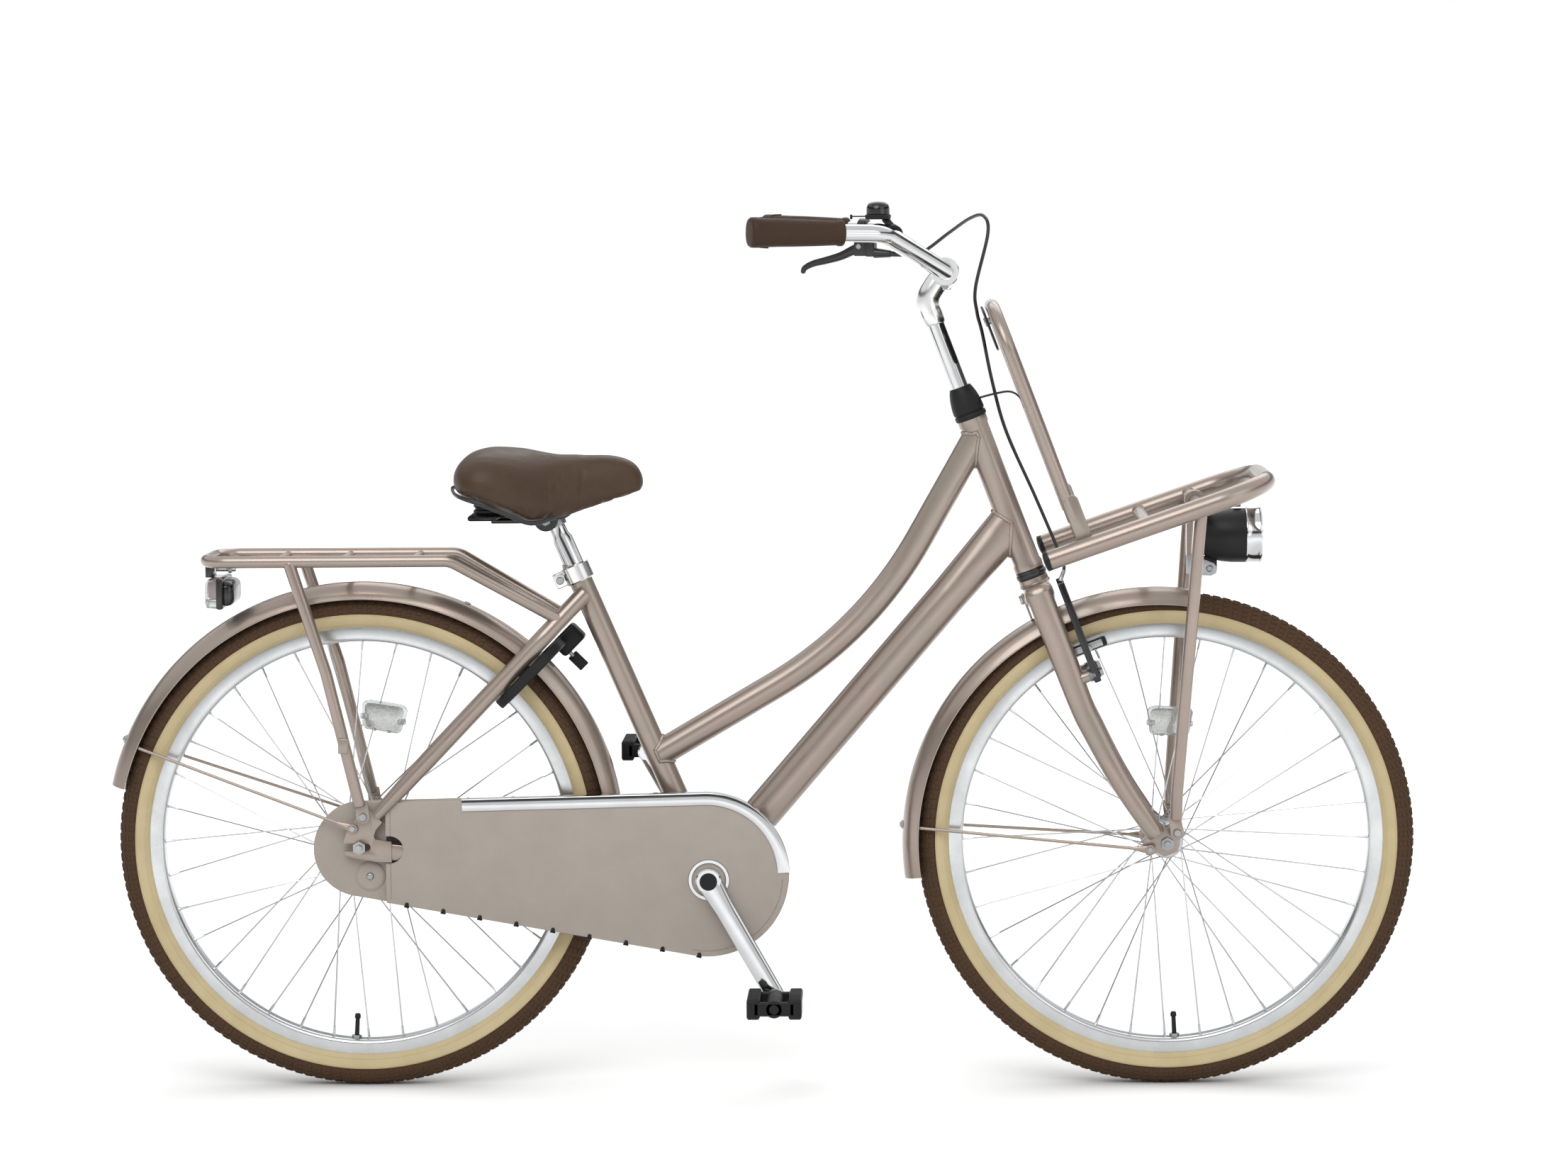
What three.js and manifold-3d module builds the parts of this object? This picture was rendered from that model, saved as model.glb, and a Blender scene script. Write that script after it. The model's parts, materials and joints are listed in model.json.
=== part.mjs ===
// A step-through Dutch city bicycle with 26 inch wheels: a welded alloy frame and fork, a cloth chaincase over a
// single-speed coaster-brake drive, a front rim brake, and a carrier at each end.
// Millimetres. +X points forward, +Y to the rider's left and +Z up; the drive side faces -Y.
// Pieces are drawn from the point on the ground under the rear axle, then the whole bicycle is centred.
import * as THREE from 'three';
import { mergeVertices } from 'three/addons/utils/BufferGeometryUtils.js';
import Module from 'manifold-3d';

const wasm = await Module();
wasm.setup();

// Driving dimensions

// Wheels: 47-559 tyres
const wheelRadius = 326.5;
const tyreWidth = 47;
const tyreWall = 3.4;
const beadSeatRadius = wheelRadius - tyreWidth;
const rimFlangeHeight = 6.5;
const rimWidth = 27;
const rimWall = 1.6;
const rimDepth = 20;
const rimNeckWidth = 14;
const spokeCount = 36;
const spokeDiameter = 2;
const spokeCrossings = 3;
const spokeStagger = 5;

// Frame layout in the wheels' plane
const wheelbase = 1058;
const bracketForward = 458;
const bracketDrop = 45.2;
const seatTubeLean = THREE.MathUtils.degToRad(23.3);
const seatTubeLength = 447;
const steeringLean = THREE.MathUtils.degToRad(20.7);
const forkOffset = 40;

// Frame tubes
const headTubeDiameter = 36;
const headTubeLength = 213;
const headTubeFoot = 396;
const headTubeWall = 2.6;
const topTubeDiameter = 36.5;
// The top tube's ends turn from the straight line between them, and its bend is a share of that line's length
const topTubeRiseBelow = THREE.MathUtils.degToRad(14.4);
const topTubeSweepAbove = THREE.MathUtils.degToRad(15.6);
const topTubeBendShare = 0.879;
const topTubeOnSeatTube = 172.5;
const topTubeBelowHeadTop = 23;
const topTubeOnHeadTube = headTubeFoot + headTubeLength - topTubeBelowHeadTop;
const downTubeDiameter = 50;
const downTubeFootDiameter = 42;
const downTubeHeadWidth = 36;
const downTubeHeadHeight = 56;
const downTubeAboveHeadFoot = 67;
const downTubeOnHeadTube = headTubeFoot + downTubeAboveHeadFoot;
const seatTubeDiameter = 31.8;
const seatTubeWall = 1.9;
const seatStayDiameter = 22.5;
const seatStayOnSeatTube = 408;
const chainstayDiameter = 18;
const weldGap = 0.3;
const runningGap = 0.3;

// Rear end
const rearSpacing = 116;
const dropoutPlate = 6;
const rearAxleDiameter = 9.5;

// Drive
const chainLine = 42;
const chainPitch = 12.7;
const chainringTeeth = 38;
const sprocketTeeth = 18;
const toothThickness = 2.8;
const chainWidth = 9;
const chainPlateHeight = 8.6;
const crankLength = 175;
const crankAngle = THREE.MathUtils.degToRad(-60);
const bracketShellWidth = 68;
const bracketShellDiameter = 44;
const bracketShellBore = 34.8;
const spindleDiameter = 17;

// Front end
const frontSpacing = 100;
const forkEndPlate = 5;
const frontAxleDiameter = 9;
const steererDiameter = 25.4;
const quillDiameter = 22.2;
const handlebarDiameter = 22.2;
const handlebarHalfWidth = 284;

// Drawing tools

const right = -1;
const left = 1;
const roundSides = 12;
const wheelSteps = 24;
const cutOverrun = 40;
const stepAngle = THREE.MathUtils.degToRad(15);
const quarterTurn = Math.PI / 2;
const fullTurn = Math.PI * 2;

const at = (x, y, z) => new THREE.Vector3(x, y, z);

// A closed geometry as a solid, its faces turned outward
function solid(geometry) {
  const bare = geometry.clone();
  bare.deleteAttribute('normal');
  bare.deleteAttribute('uv');
  const merged = mergeVertices(bare);
  const vertices = Float32Array.from(merged.attributes.position.array);
  const corners = Uint32Array.from(merged.index.array);
  const [a, b, c] = [at(0, 0, 0), at(0, 0, 0), at(0, 0, 0)];
  let volume = 0;
  for (let i = 0; i < corners.length; i += 3) {
    a.fromArray(vertices, 3 * corners[i]);
    b.fromArray(vertices, 3 * corners[i + 1]);
    c.fromArray(vertices, 3 * corners[i + 2]);
    volume += a.dot(b.cross(c));
  }
  if (volume < 0) {
    for (let i = 0; i < corners.length; i += 3) {
      [corners[i], corners[i + 1]] = [corners[i + 1], corners[i]];
    }
  }
  return new wasm.Manifold(new wasm.Mesh({ numProp: 3, vertProperties: vertices, triVerts: corners }));
}

function geometryOf(manifold) {
  const cut = manifold.getMesh();
  const geometry = new THREE.BufferGeometry();
  geometry.setAttribute('position', new THREE.BufferAttribute(Float32Array.from(cut.vertProperties), 3));
  geometry.setIndex(new THREE.BufferAttribute(Uint32Array.from(cut.triVerts), 1));
  geometry.computeVertexNormals();
  return geometry;
}

const joined = (...solids) => solids.flat().reduce((whole, piece) => whole.add(piece));
const cutBy = (whole, ...tools) => tools.flat().reduce((rest, tool) => rest.subtract(tool), whole);

// A solid through rings of points, closed at both ends; the end rings are convex
function loft(rings) {
  const sides = rings[0].length;
  const index = [];
  rings.slice(1).forEach((_, i) => {
    for (let j = 0; j < sides; j += 1) {
      const next = (j + 1) % sides;
      const [a, b, c, d] = [i * sides + j, i * sides + next, (i + 1) * sides + next, (i + 1) * sides + j];
      index.push(a, b, c, a, c, d);
    }
  });
  const top = (rings.length - 1) * sides;
  for (let j = 1; j < sides - 1; j += 1) index.push(0, j + 1, j, top, top + j, top + j + 1);
  const geometry = new THREE.BufferGeometry();
  geometry.setAttribute('position', new THREE.Float32BufferAttribute(rings.flat().flatMap((p) => [p.x, p.y, p.z]), 3));
  geometry.setIndex(index);
  return solid(geometry);
}

// A cone or cylinder between two points
function rod(from, to, startDiameter, endDiameter = startDiameter, sides = roundSides) {
  const turn = new THREE.Quaternion().setFromUnitVectors(at(0, 1, 0), to.clone().sub(from).normalize());
  const ring = (centre, diameter) => Array.from({ length: sides }, (_, i) => {
    const angle = fullTurn * i / sides;
    return at(diameter / 2 * Math.sin(angle), 0, diameter / 2 * Math.cos(angle)).applyQuaternion(turn).add(centre);
  });
  return loft([ring(from, startDiameter), ring(to, endDiameter)]);
}

// A cylinder across the bicycle, from y = from to y = to
const crossRod = (x, z, from, to, diameter, sides = roundSides) =>
  rod(at(x, from, z), at(x, to, z), diameter, diameter, sides);

// An oval member through stations of [centre, height across it in the wheels' plane, width]
function ovalTube(stations, sides = roundSides) {
  const last = stations.length - 1;
  return loft(stations.map(([centre, height, width], k) => {
    const way = stations[Math.min(k + 1, last)][0].clone().sub(stations[Math.max(k - 1, 0)][0]).normalize();
    const across = at(0, 1, 0).cross(way).normalize();
    const wide = way.clone().cross(across);
    return Array.from({ length: sides }, (_, i) => {
      const angle = fullTurn * i / sides;
      return centre.clone().addScaledVector(across, Math.sin(angle) * height / 2)
        .addScaledVector(wide, Math.cos(angle) * width / 2);
    });
  }));
}

// The same along a straight line: stations of [distance, height, width]
function ovalRod(from, to, stations, sides = roundSides) {
  const way = to.clone().sub(from).normalize();
  return ovalTube(stations.map(([distance, height, width]) =>
    [from.clone().addScaledVector(way, distance), height, width]), sides);
}

// A route through chosen points, with a ring of the tube at each
class Route extends THREE.Curve {
  constructor(points) {
    super();
    this.points = points;
  }
  getPoint(share) {
    const along = share * (this.points.length - 1);
    const i = Math.min(Math.floor(along), this.points.length - 2);
    return this.points[i].clone().lerp(this.points[i + 1], along - i);
  }
  getPointAt(share) {
    return this.getPoint(share);
  }
  getTangentAt(share) {
    const i = Math.round(share * (this.points.length - 1));
    const before = this.points[Math.max(i - 1, 0)];
    const after = this.points[Math.min(i + 1, this.points.length - 1)];
    const here = this.points[i];
    const arriving = here.clone().sub(before).normalize();
    return arriving.add(after.clone().sub(here).normalize()).normalize();
  }
}

// Corners rounded to a bend radius, as a list of points
function bent(corners, radius, step = stepAngle) {
  const points = [corners[0]];
  for (let i = 1; i < corners.length - 1; i += 1) {
    const arrive = corners[i].clone().sub(corners[i - 1]).normalize();
    const leave = corners[i + 1].clone().sub(corners[i]).normalize();
    const turn = arrive.angleTo(leave);
    const reach = radius * Math.tan(turn / 2);
    const inward = leave.clone().sub(arrive).normalize();
    const centre = corners[i].clone().addScaledVector(inward, radius / Math.cos(turn / 2));
    const start = corners[i].clone().addScaledVector(arrive, -reach);
    const spoke = start.clone().sub(centre);
    const axis = arrive.clone().cross(leave).normalize();
    const count = Math.max(1, Math.ceil(turn / step));
    for (let k = 0; k <= count; k += 1) {
      points.push(spoke.clone().applyAxisAngle(axis, turn * k / count).add(centre));
    }
  }
  points.push(corners.at(-1));
  return points;
}

// A section carried along points in the wheels' plane: [side, outward] for a path that turns upward from +X
function swept(section, points) {
  const shape = new THREE.Shape(section.map(([x, y]) => new THREE.Vector2(x, y)));
  return solid(new THREE.ExtrudeGeometry(shape, { steps: points.length - 1, extrudePath: new Route(points) }));
}

// A round tube along a list of points
function tube(points, diameter, sides = 8) {
  const section = Array.from({ length: sides }, (_, i) => {
    const turn = fullTurn * (i + 1 / 2) / sides;
    return [diameter / 2 * Math.cos(turn), diameter / 2 * Math.sin(turn)];
  });
  return swept(section, points);
}

// A ring or a turned piece about an axis across the bicycle, from [radius, side] points
const turned = (profile, steps = wheelSteps) =>
  solid(new THREE.LatheGeometry(profile.map(([radius, side]) => new THREE.Vector2(radius, side)), steps));

// A plate in the wheels' plane, its outline given in x and z, between two sides
function plate(outline, from, to, holes = []) {
  const shape = new THREE.Shape(outline.map(([x, z]) => new THREE.Vector2(x, z)));
  for (const hole of holes) {
    shape.holes.push(new THREE.Path(hole.map(([x, z]) => new THREE.Vector2(x, z))));
  }
  const geometry = new THREE.ExtrudeGeometry(shape, { depth: to - from, bevelEnabled: false });
  return solid(geometry.rotateX(quarterTurn).translate(0, to, 0));
}

// A plate seen from above, its outline given in x and y, between two heights
function slab(outline, from, to) {
  const shape = new THREE.Shape(outline.map(([x, y]) => new THREE.Vector2(x, y)));
  return solid(new THREE.ExtrudeGeometry(shape, { depth: to - from, bevelEnabled: false }).translate(0, 0, from));
}

// The points of an arc in x and z
function arc(x, z, radius, from, to, count) {
  return Array.from({ length: count + 1 }, (_, i) => {
    const turn = from + (to - from) * i / count;
    return [x + radius * Math.cos(turn), z + radius * Math.sin(turn)];
  });
}

const block = (centre, size) =>
  solid(new THREE.BoxGeometry(size.x, size.y, size.z).translate(centre.x, centre.y, centre.z));


// Materials

const finish = (color, roughness, metalness) => new THREE.MeshStandardMaterial({ color, roughness, metalness });
const paint = () => finish('#a89a8d', 0.35, 0.45);
const chrome = () => finish('#d9dadb', 0.12, 1);
const alloy = () => finish('#bfc1c2', 0.38, 0.9);
const steel = () => finish('#a5a7a6', 0.4, 0.9);
const blackPlastic = () => finish('#1b1b1c', 0.5, 0);
const blackMetal = () => finish('#161617', 0.4, 0.6);
const brownRubber = () => finish('#51412f', 0.8, 0);
const brownCover = () => finish('#4a3a30', 0.65, 0);
const cloth = () => finish('#a8a198', 0.75, 0);

const bicycle = new THREE.Group();
const steering = new THREE.Group();
bicycle.add(steering);

function piece(name, whole, material, group = bicycle) {
  const mesh = new THREE.Mesh(whole.isBufferGeometry ? whole : geometryOf(whole), material);
  mesh.name = name;
  group.add(mesh);
  return mesh;
}

// Wheels

const rimOuterRadius = beadSeatRadius + rimFlangeHeight;
const rimInnerRadius = rimOuterRadius - rimDepth;
const tyreCentreRadius = wheelRadius - tyreWidth / 2;
const tyreSeatGap = 0.4;
const beadWidth = 4;
const facetShare = Math.cos(Math.PI / wheelSteps);

function tyre() {
  const outer = (turn) => [
    tyreCentreRadius + tyreWidth / 2 * Math.cos(turn),
    tyreWidth / 2 * Math.sin(turn),
  ];
  const inner = (turn) => [
    tyreCentreRadius + (tyreWidth / 2 - tyreWall) * Math.cos(turn),
    (tyreWidth / 2 - tyreWall) * Math.sin(turn),
  ];
  const neckTurn = THREE.MathUtils.degToRad(133);
  const innerTurn = THREE.MathUtils.degToRad(150);
  const outerSteps = 4;
  const innerSteps = 2;
  const beadSide = rimWidth / 2 - rimWall - tyreSeatGap;
  const seat = beadSeatRadius + tyreSeatGap;
  const lip = rimOuterRadius + tyreSeatGap;
  const profile = [];
  for (let i = 0; i <= outerSteps; i += 1) profile.push(outer(neckTurn * (2 * i / outerSteps - 1)));
  profile.push([lip, beadSide], [seat, beadSide], [seat, beadSide - beadWidth]);
  for (let i = 0; i <= innerSteps; i += 1) profile.push(inner(innerTurn * (1 - 2 * i / innerSteps)));
  profile.push([seat, beadWidth - beadSide], [seat, -beadSide], [lip, -beadSide], profile[0]);
  return turned(profile);
}

const valveDiameter = 6.5;
const valveLength = 26;
const valveNutDiameter = 14;
const valveNutHeight = 4;
const rimBevelShare = 0.3;

function rim(valveTurn) {
  const side = rimWidth / 2;
  const channel = side - rimWall;
  const neck = rimNeckWidth / 2;
  const shoulder = rimInnerRadius + rimBevelShare * rimDepth;
  const half = [[shoulder, side], [rimOuterRadius, side], [rimOuterRadius, channel], [beadSeatRadius, channel]];
  const mirrored = half.map(([radius, y]) => [radius, -y]).reverse();
  const ring = turned([[rimInnerRadius, neck], ...half, ...mirrored, [rimInnerRadius, -neck], [rimInnerRadius, neck]]);
  const outward = at(Math.cos(valveTurn), 0, Math.sin(valveTurn));
  const along = (radius) => outward.clone().multiplyScalar(radius);
  const root = rimInnerRadius + rimWall;
  const stem = rod(along(root), along(rimInnerRadius - valveLength), valveDiameter, valveDiameter, 8);
  const nut = rod(along(root), along(rimInnerRadius * facetShare - valveNutHeight), valveNutDiameter, valveNutDiameter, 8);
  return joined(ring, stem, nut);
}

// A hub shell turned from [radius, side] points, laced to just short of the rim, with its reflector
const hubSides = 9;
const spokeRimSide = 3;
const spokeFlangeInset = 2.5;
const reflectorLength = 62;
const reflectorHeight = 33;
const reflectorDepth = 8;

function lacedHub(profile, flangeDiameter, flangeSide, reflectorRadius, reflectorTurn) {
  const shell = turned([...profile, profile[0]], hubSides);
  const perSide = spokeCount / 2;
  const holeStep = fullTurn / perSide;
  const reach = rimInnerRadius * facetShare - 2 * weldGap;
  const holeRadius = flangeDiameter / 2 - spokeFlangeInset;
  const spokes = [];
  for (const side of [right, left]) {
    for (let k = 0; k < perSide; k += 1) {
      const lean = k % 2 === 0 ? 1 : -1;
      const hole = holeStep * (k + (side === left ? 1 / 2 : 0));
      const end = hole + lean * spokeCrossings * holeStep;
      const start = at(holeRadius * Math.cos(hole), side * flangeSide + lean * spokeStagger / 2, holeRadius * Math.sin(hole));
      const tip = at(reach * Math.cos(end), side * spokeRimSide, reach * Math.sin(end));
      spokes.push(rod(start, tip, spokeDiameter, spokeDiameter, 3));
    }
  }
  const share = (rimInnerRadius - reflectorRadius) / (rimInnerRadius - holeRadius);
  const reflectorSide = -(spokeRimSide + share * (flangeSide - spokeRimSide));
  const clip = new THREE.CapsuleGeometry(reflectorHeight / 2, reflectorLength - reflectorHeight, 2, 6);
  clip.rotateZ(quarterTurn).scale(1, reflectorDepth / reflectorHeight, 1).translate(0, reflectorSide, reflectorRadius);
  clip.rotateY(quarterTurn - reflectorTurn);
  return joined(shell, ...spokes, solid(clip));
}

const axleGap = 0.6;
const frontFlangeDiameter = 44;
const frontFlangeSide = 33;
const frontFlangeWidth = 7;
const frontBarrelDiameter = 30;
const frontHubHalf = 45;
const frontHubEndDiameter = 26;

function frontHub() {
  const bore = frontAxleDiameter / 2 + axleGap;
  const inner = frontFlangeSide - frontFlangeWidth / 2;
  const outer = frontFlangeSide + frontFlangeWidth / 2;
  const half = [
    [frontBarrelDiameter / 2, inner - frontFlangeWidth], [frontFlangeDiameter / 2, inner],
    [frontFlangeDiameter / 2, outer], [frontHubEndDiameter / 2, outer], [frontHubEndDiameter / 2, frontHubHalf],
    [bore, frontHubHalf],
  ];
  return lacedHub([...half.map(([r, y]) => [r, -y]).reverse(), ...half],
    frontFlangeDiameter, frontFlangeSide, frontReflectorRadius, frontReflectorTurn);
}
const frontReflectorRadius = 157;
const frontReflectorTurn = THREE.MathUtils.degToRad(88);
const rearReflectorRadius = 169;
const rearReflectorTurn = THREE.MathUtils.degToRad(80.5);

const rearFlangeDiameter = 66;
const rearFlangeSide = 27;
const rearFlangeWidth = 7;
const rearBarrelDiameter = 46;
const rearHubLeftEnd = 42;
const rearHubEndDiameter = 40;
const driverDiameter = 32;
const driverShoulder = 33.5;
const driverEnd = 46;

function rearHub() {
  const bore = rearAxleDiameter / 2 + axleGap;
  const inner = rearFlangeSide - rearFlangeWidth / 2;
  const outer = rearFlangeSide + rearFlangeWidth / 2;
  return lacedHub([
    [bore, -driverEnd], [driverDiameter / 2, -driverEnd], [driverDiameter / 2, -driverShoulder],
    [rearHubEndDiameter / 2, -driverShoulder], [rearHubEndDiameter / 2, -outer],
    [rearFlangeDiameter / 2, -outer], [rearFlangeDiameter / 2, -inner], [rearBarrelDiameter / 2, rearFlangeWidth - inner],
    [rearBarrelDiameter / 2, inner - rearFlangeWidth], [rearFlangeDiameter / 2, inner], [rearFlangeDiameter / 2, outer],
    [rearHubEndDiameter / 2, outer], [rearHubEndDiameter / 2, rearHubLeftEnd], [bore, rearHubLeftEnd],
  ], rearFlangeDiameter, rearFlangeSide, rearReflectorRadius, rearReflectorTurn);
}

const rearValveTurn = THREE.MathUtils.degToRad(-93.5);
const frontValveTurn = THREE.MathUtils.degToRad(-87.3);

function placedAt(mesh, x, y, z) {
  mesh.position.set(x, y, z);
  return mesh;
}

placedAt(piece('rear_tyre', tyre(), brownRubber()), 0, 0, wheelRadius);
placedAt(piece('rear_rim', rim(rearValveTurn), alloy()), 0, 0, wheelRadius);
placedAt(piece('rear_hub_and_spokes', rearHub(), steel()), 0, 0, wheelRadius);
placedAt(piece('front_tyre', tyre(), brownRubber(), steering), wheelbase, 0, wheelRadius);
placedAt(piece('front_rim', rim(frontValveTurn), alloy(), steering), wheelbase, 0, wheelRadius);
placedAt(piece('front_hub_and_spokes', frontHub(), steel(), steering), wheelbase, 0, wheelRadius);

// Frame

const rearAxle = at(0, 0, wheelRadius);
const bracket = at(bracketForward, 0, wheelRadius - bracketDrop);
const seatUp = at(-Math.sin(seatTubeLean), 0, Math.cos(seatTubeLean));
const seatAhead = at(Math.cos(seatTubeLean), 0, Math.sin(seatTubeLean));
const onSeatTube = (along, ahead = 0, side = 0) =>
  bracket.clone().addScaledVector(seatUp, along).addScaledVector(seatAhead, ahead).add(at(0, side, 0));

const steerUp = at(-Math.sin(steeringLean), 0, Math.cos(steeringLean));
const steerAhead = at(Math.cos(steeringLean), 0, Math.sin(steeringLean));
const frontAxle = at(wheelbase, 0, wheelRadius);
const steerFoot = frontAxle.clone().addScaledVector(steerAhead, -forkOffset);
const onSteering = (along, ahead = 0, side = 0) =>
  steerFoot.clone().addScaledVector(steerUp, along).addScaledVector(steerAhead, ahead).add(at(0, side, 0));

// What is drawn in the steering's own frame, x ahead of its axis and z along it, brought into place
const steeringFrame = new THREE.Matrix4().makeBasis(steerAhead, at(0, 1, 0), steerUp).setPosition(steerFoot);
const inSteering = (whole) => whole.transform(steeringFrame.elements);

const sleeve = (from, to, outer, inner, sides = roundSides) => {
  const overrun = to.clone().sub(from).normalize().multiplyScalar(cutOverrun);
  return cutBy(rod(from, to, outer, outer, sides), rod(from.clone().sub(overrun), to.clone().add(overrun), inner, inner, sides));
};

const headTop = headTubeFoot + headTubeLength;
const headTubeBore = headTubeDiameter - 2 * headTubeWall;
const headTubeCore = (extra) => rod(onSteering(headTubeFoot - cutOverrun), onSteering(headTop + cutOverrun),
  headTubeDiameter + 2 * extra, headTubeDiameter + 2 * extra, roundSides);
const seatTubeCore = (extra) => rod(bracket, onSeatTube(seatTubeLength + cutOverrun),
  seatTubeDiameter + 2 * extra, seatTubeDiameter + 2 * extra, roundSides);
const bracketCore = (extra) => crossRod(bracket.x, bracket.z, -bracketShellWidth, bracketShellWidth,
  bracketShellDiameter + 2 * extra, roundSides);

piece('head_tube', sleeve(onSteering(headTubeFoot), onSteering(headTop), headTubeDiameter, headTubeBore), paint());

// Where two lines in the wheels' plane meet, each from a point at an angle
function meeting(p, pTurn, q, qTurn) {
  const across = at(-Math.sin(qTurn), 0, Math.cos(qTurn));
  const way = at(Math.cos(pTurn), 0, Math.sin(pTurn));
  return p.clone().addScaledVector(way, q.clone().sub(p).dot(across) / way.dot(across));
}

const topTubeFine = THREE.MathUtils.degToRad(6);
function topTube() {
  const low = onSeatTube(topTubeOnSeatTube);
  const high = onSteering(topTubeOnHeadTube);
  const straight = Math.atan2(high.z - low.z, high.x - low.x);
  const corner = meeting(low, straight - topTubeRiseBelow, high, straight + topTubeSweepAbove);
  const points = bent([low, corner, high], topTubeBendShare * low.distanceTo(high), topTubeFine);
  points[0] = low.clone().lerp(points[1], seatTubeDiameter / 4 / low.distanceTo(points[1]));
  points.push(points.pop().lerp(points.at(-1), headTubeDiameter / 4 / points.at(-1).distanceTo(high)));
  return cutBy(tube(points, topTubeDiameter, 12), seatTubeCore(weldGap), headTubeCore(weldGap));
}
piece('top_tube', topTube(), paint());

const downTubeFlareLength = 90;
const downTubeOvalLength = 130;
function downTube() {
  const high = onSteering(downTubeOnHeadTube);
  const length = high.distanceTo(bracket);
  const whole = ovalRod(bracket, high, [
    [0, downTubeFootDiameter, downTubeFootDiameter],
    [downTubeFlareLength, downTubeDiameter, downTubeDiameter],
    [length - downTubeOvalLength, downTubeDiameter, downTubeDiameter],
    [length, downTubeHeadHeight, downTubeHeadWidth],
  ], 12);
  return cutBy(whole, bracketCore(weldGap), headTubeCore(weldGap), seatTubeCore(weldGap));
}
piece('down_tube', downTube(), paint());

const seatTubeBore = seatTubeDiameter - 2 * seatTubeWall;
const seatTubeFloor = 60;
function seatTube() {
  const shell = crossRod(bracket.x, bracket.z, -bracketShellWidth / 2, bracketShellWidth / 2, bracketShellDiameter);
  const post = rod(bracket, onSeatTube(seatTubeLength), seatTubeDiameter);
  const bore = rod(onSeatTube(seatTubeFloor), onSeatTube(seatTubeLength + cutOverrun), seatTubeBore);
  return cutBy(joined(post, shell), bore,
    crossRod(bracket.x, bracket.z, -bracketShellWidth, bracketShellWidth, bracketShellBore));
}
piece('seat_tube', seatTube(), paint());

// Rear dropouts: plates with a slot that opens to the rear, as shares of their height from the axle
const dropoutHeight = 72;
const dropoutShares = [
  [-0.27, 0.2], [-0.2, 0.36], [-0.09, 0.49], [-0.03, 0.66], [0.18, 0.69], [0.42, 0.46], [0.26, 0.21], [0.28, 0.15],
  [0.58, 0.1], [0.58, -0.28], [-0.1, -0.2], [-0.27, -0.14],
];
const dropoutSlotEnd = 14;
const slotClearance = 0.8;
const dropoutOutline = dropoutShares.map(([x, z]) => [rearAxle.x + x * dropoutHeight, rearAxle.z + z * dropoutHeight]);

function dropout(side) {
  const [from, to] = [side * rearSpacing / 2, side * (rearSpacing / 2 + dropoutPlate)].sort((a, b) => a - b);
  const slotHalf = (rearAxleDiameter + slotClearance) / 2;
  const slot = [
    [-dropoutHeight, rearAxle.z - slotHalf],
    ...arc(dropoutSlotEnd, rearAxle.z, slotHalf, -quarterTurn, quarterTurn, 4),
    [-dropoutHeight, rearAxle.z + slotHalf],
  ];
  return cutBy(plate(dropoutOutline, from, to), plate(slot, from - cutOverrun, to + cutOverrun));
}

const chainstayWeldDrop = 7;
const chainstayWeld = at(dropoutHeight / 2, rearSpacing / 2 + dropoutPlate / 2, wheelRadius - chainstayWeldDrop);
const chainstayKneeForward = 120;
const chainstayKneeSide = 50;
const chainstayKnee = at(chainstayKneeForward, chainstayKneeSide, chainstayWeld.z - chainstayWeldDrop);
const chainstayWaistForward = 300;
const chainstayWaistSide = 36.5;
const chainstayWaist = at(chainstayWaistForward, chainstayWaistSide, chainstayKnee.z - 2 * chainstayWeldDrop);
const chainstayBracketSide = 24;
const chainstayBendRadius = 200;
const chainstayBridgeAhead = 52;
const chainstayBridgeForward = chainstayWaistForward + chainstayBridgeAhead;
const chainstayBridgeDiameter = 14;
const standPlateAhead = 28;
const standPlateForward = chainstayBridgeForward + standPlateAhead;
const standPlateSize = at(38, 48, 6);
const chainstayHeightAt = (x) => chainstayWaist.z
  + (bracket.z - chainstayWaist.z) * (x - chainstayWaist.x) / (bracket.x - chainstayWaist.x);

// The kickstand's pivot, below the plate between the chainstays
const standSide = 38;
const standDrop = 26;
const standPivotAhead = 4;
const standPivotDiameter = 11;
const standHeadLength = 20;
const standHeadDiameter = 20;
const standLegDiameter = 14;
const standLegLength = 257;
const standFootSide = 61;
const standPivot = at(standPlateForward + standPivotAhead, standSide, chainstayHeightAt(standPlateForward) - standDrop);
const standFoot = at(standPivot.x - standLegLength, standFootSide, standPivot.z + standPivotAhead);
const standBracketSize = at(22, 10, standDrop + standPlateSize.z);
function standBracket() {
  const inner = standSide - standHeadLength / 2 - runningGap;
  const tab = block(at(standPivot.x, inner - standBracketSize.y / 2, standPivot.z + standBracketSize.z / 2 - standPlateSize.z),
    standBracketSize);
  const end = standSide + standHeadLength / 2 + runningGap;
  return joined(tab, crossRod(standPivot.x, standPivot.z, inner - standBracketSize.y / 2, end + standPlateSize.z,
    standPivotDiameter, 12), crossRod(standPivot.x, standPivot.z, end, end + standPlateSize.z, standHeadDiameter, 12));
}

function chainstayRoute(side) {
  const sided = (p) => at(p.x, side * p.y, p.z);
  const end = at(bracket.x, side * chainstayBracketSide, bracket.z);
  return bent([sided(chainstayWeld), sided(chainstayKnee), sided(chainstayWaist), end], chainstayBendRadius,
    THREE.MathUtils.degToRad(12));
}
function chainstays() {
  const stay = (side) => cutBy(tube(chainstayRoute(side), chainstayDiameter, 8), bracketCore(weldGap));
  const bridge = crossRod(chainstayBridgeForward, chainstayHeightAt(chainstayBridgeForward),
    -chainstayBracketSide, chainstayBracketSide, chainstayBridgeDiameter, 10);
  const standPlate = block(at(standPlateForward, 0, chainstayHeightAt(standPlateForward)), standPlateSize);
  return joined(dropout(right), dropout(left), stay(right), stay(left), bridge, standPlate, standBracket());
}
piece('chainstays', chainstays(), paint());

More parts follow.
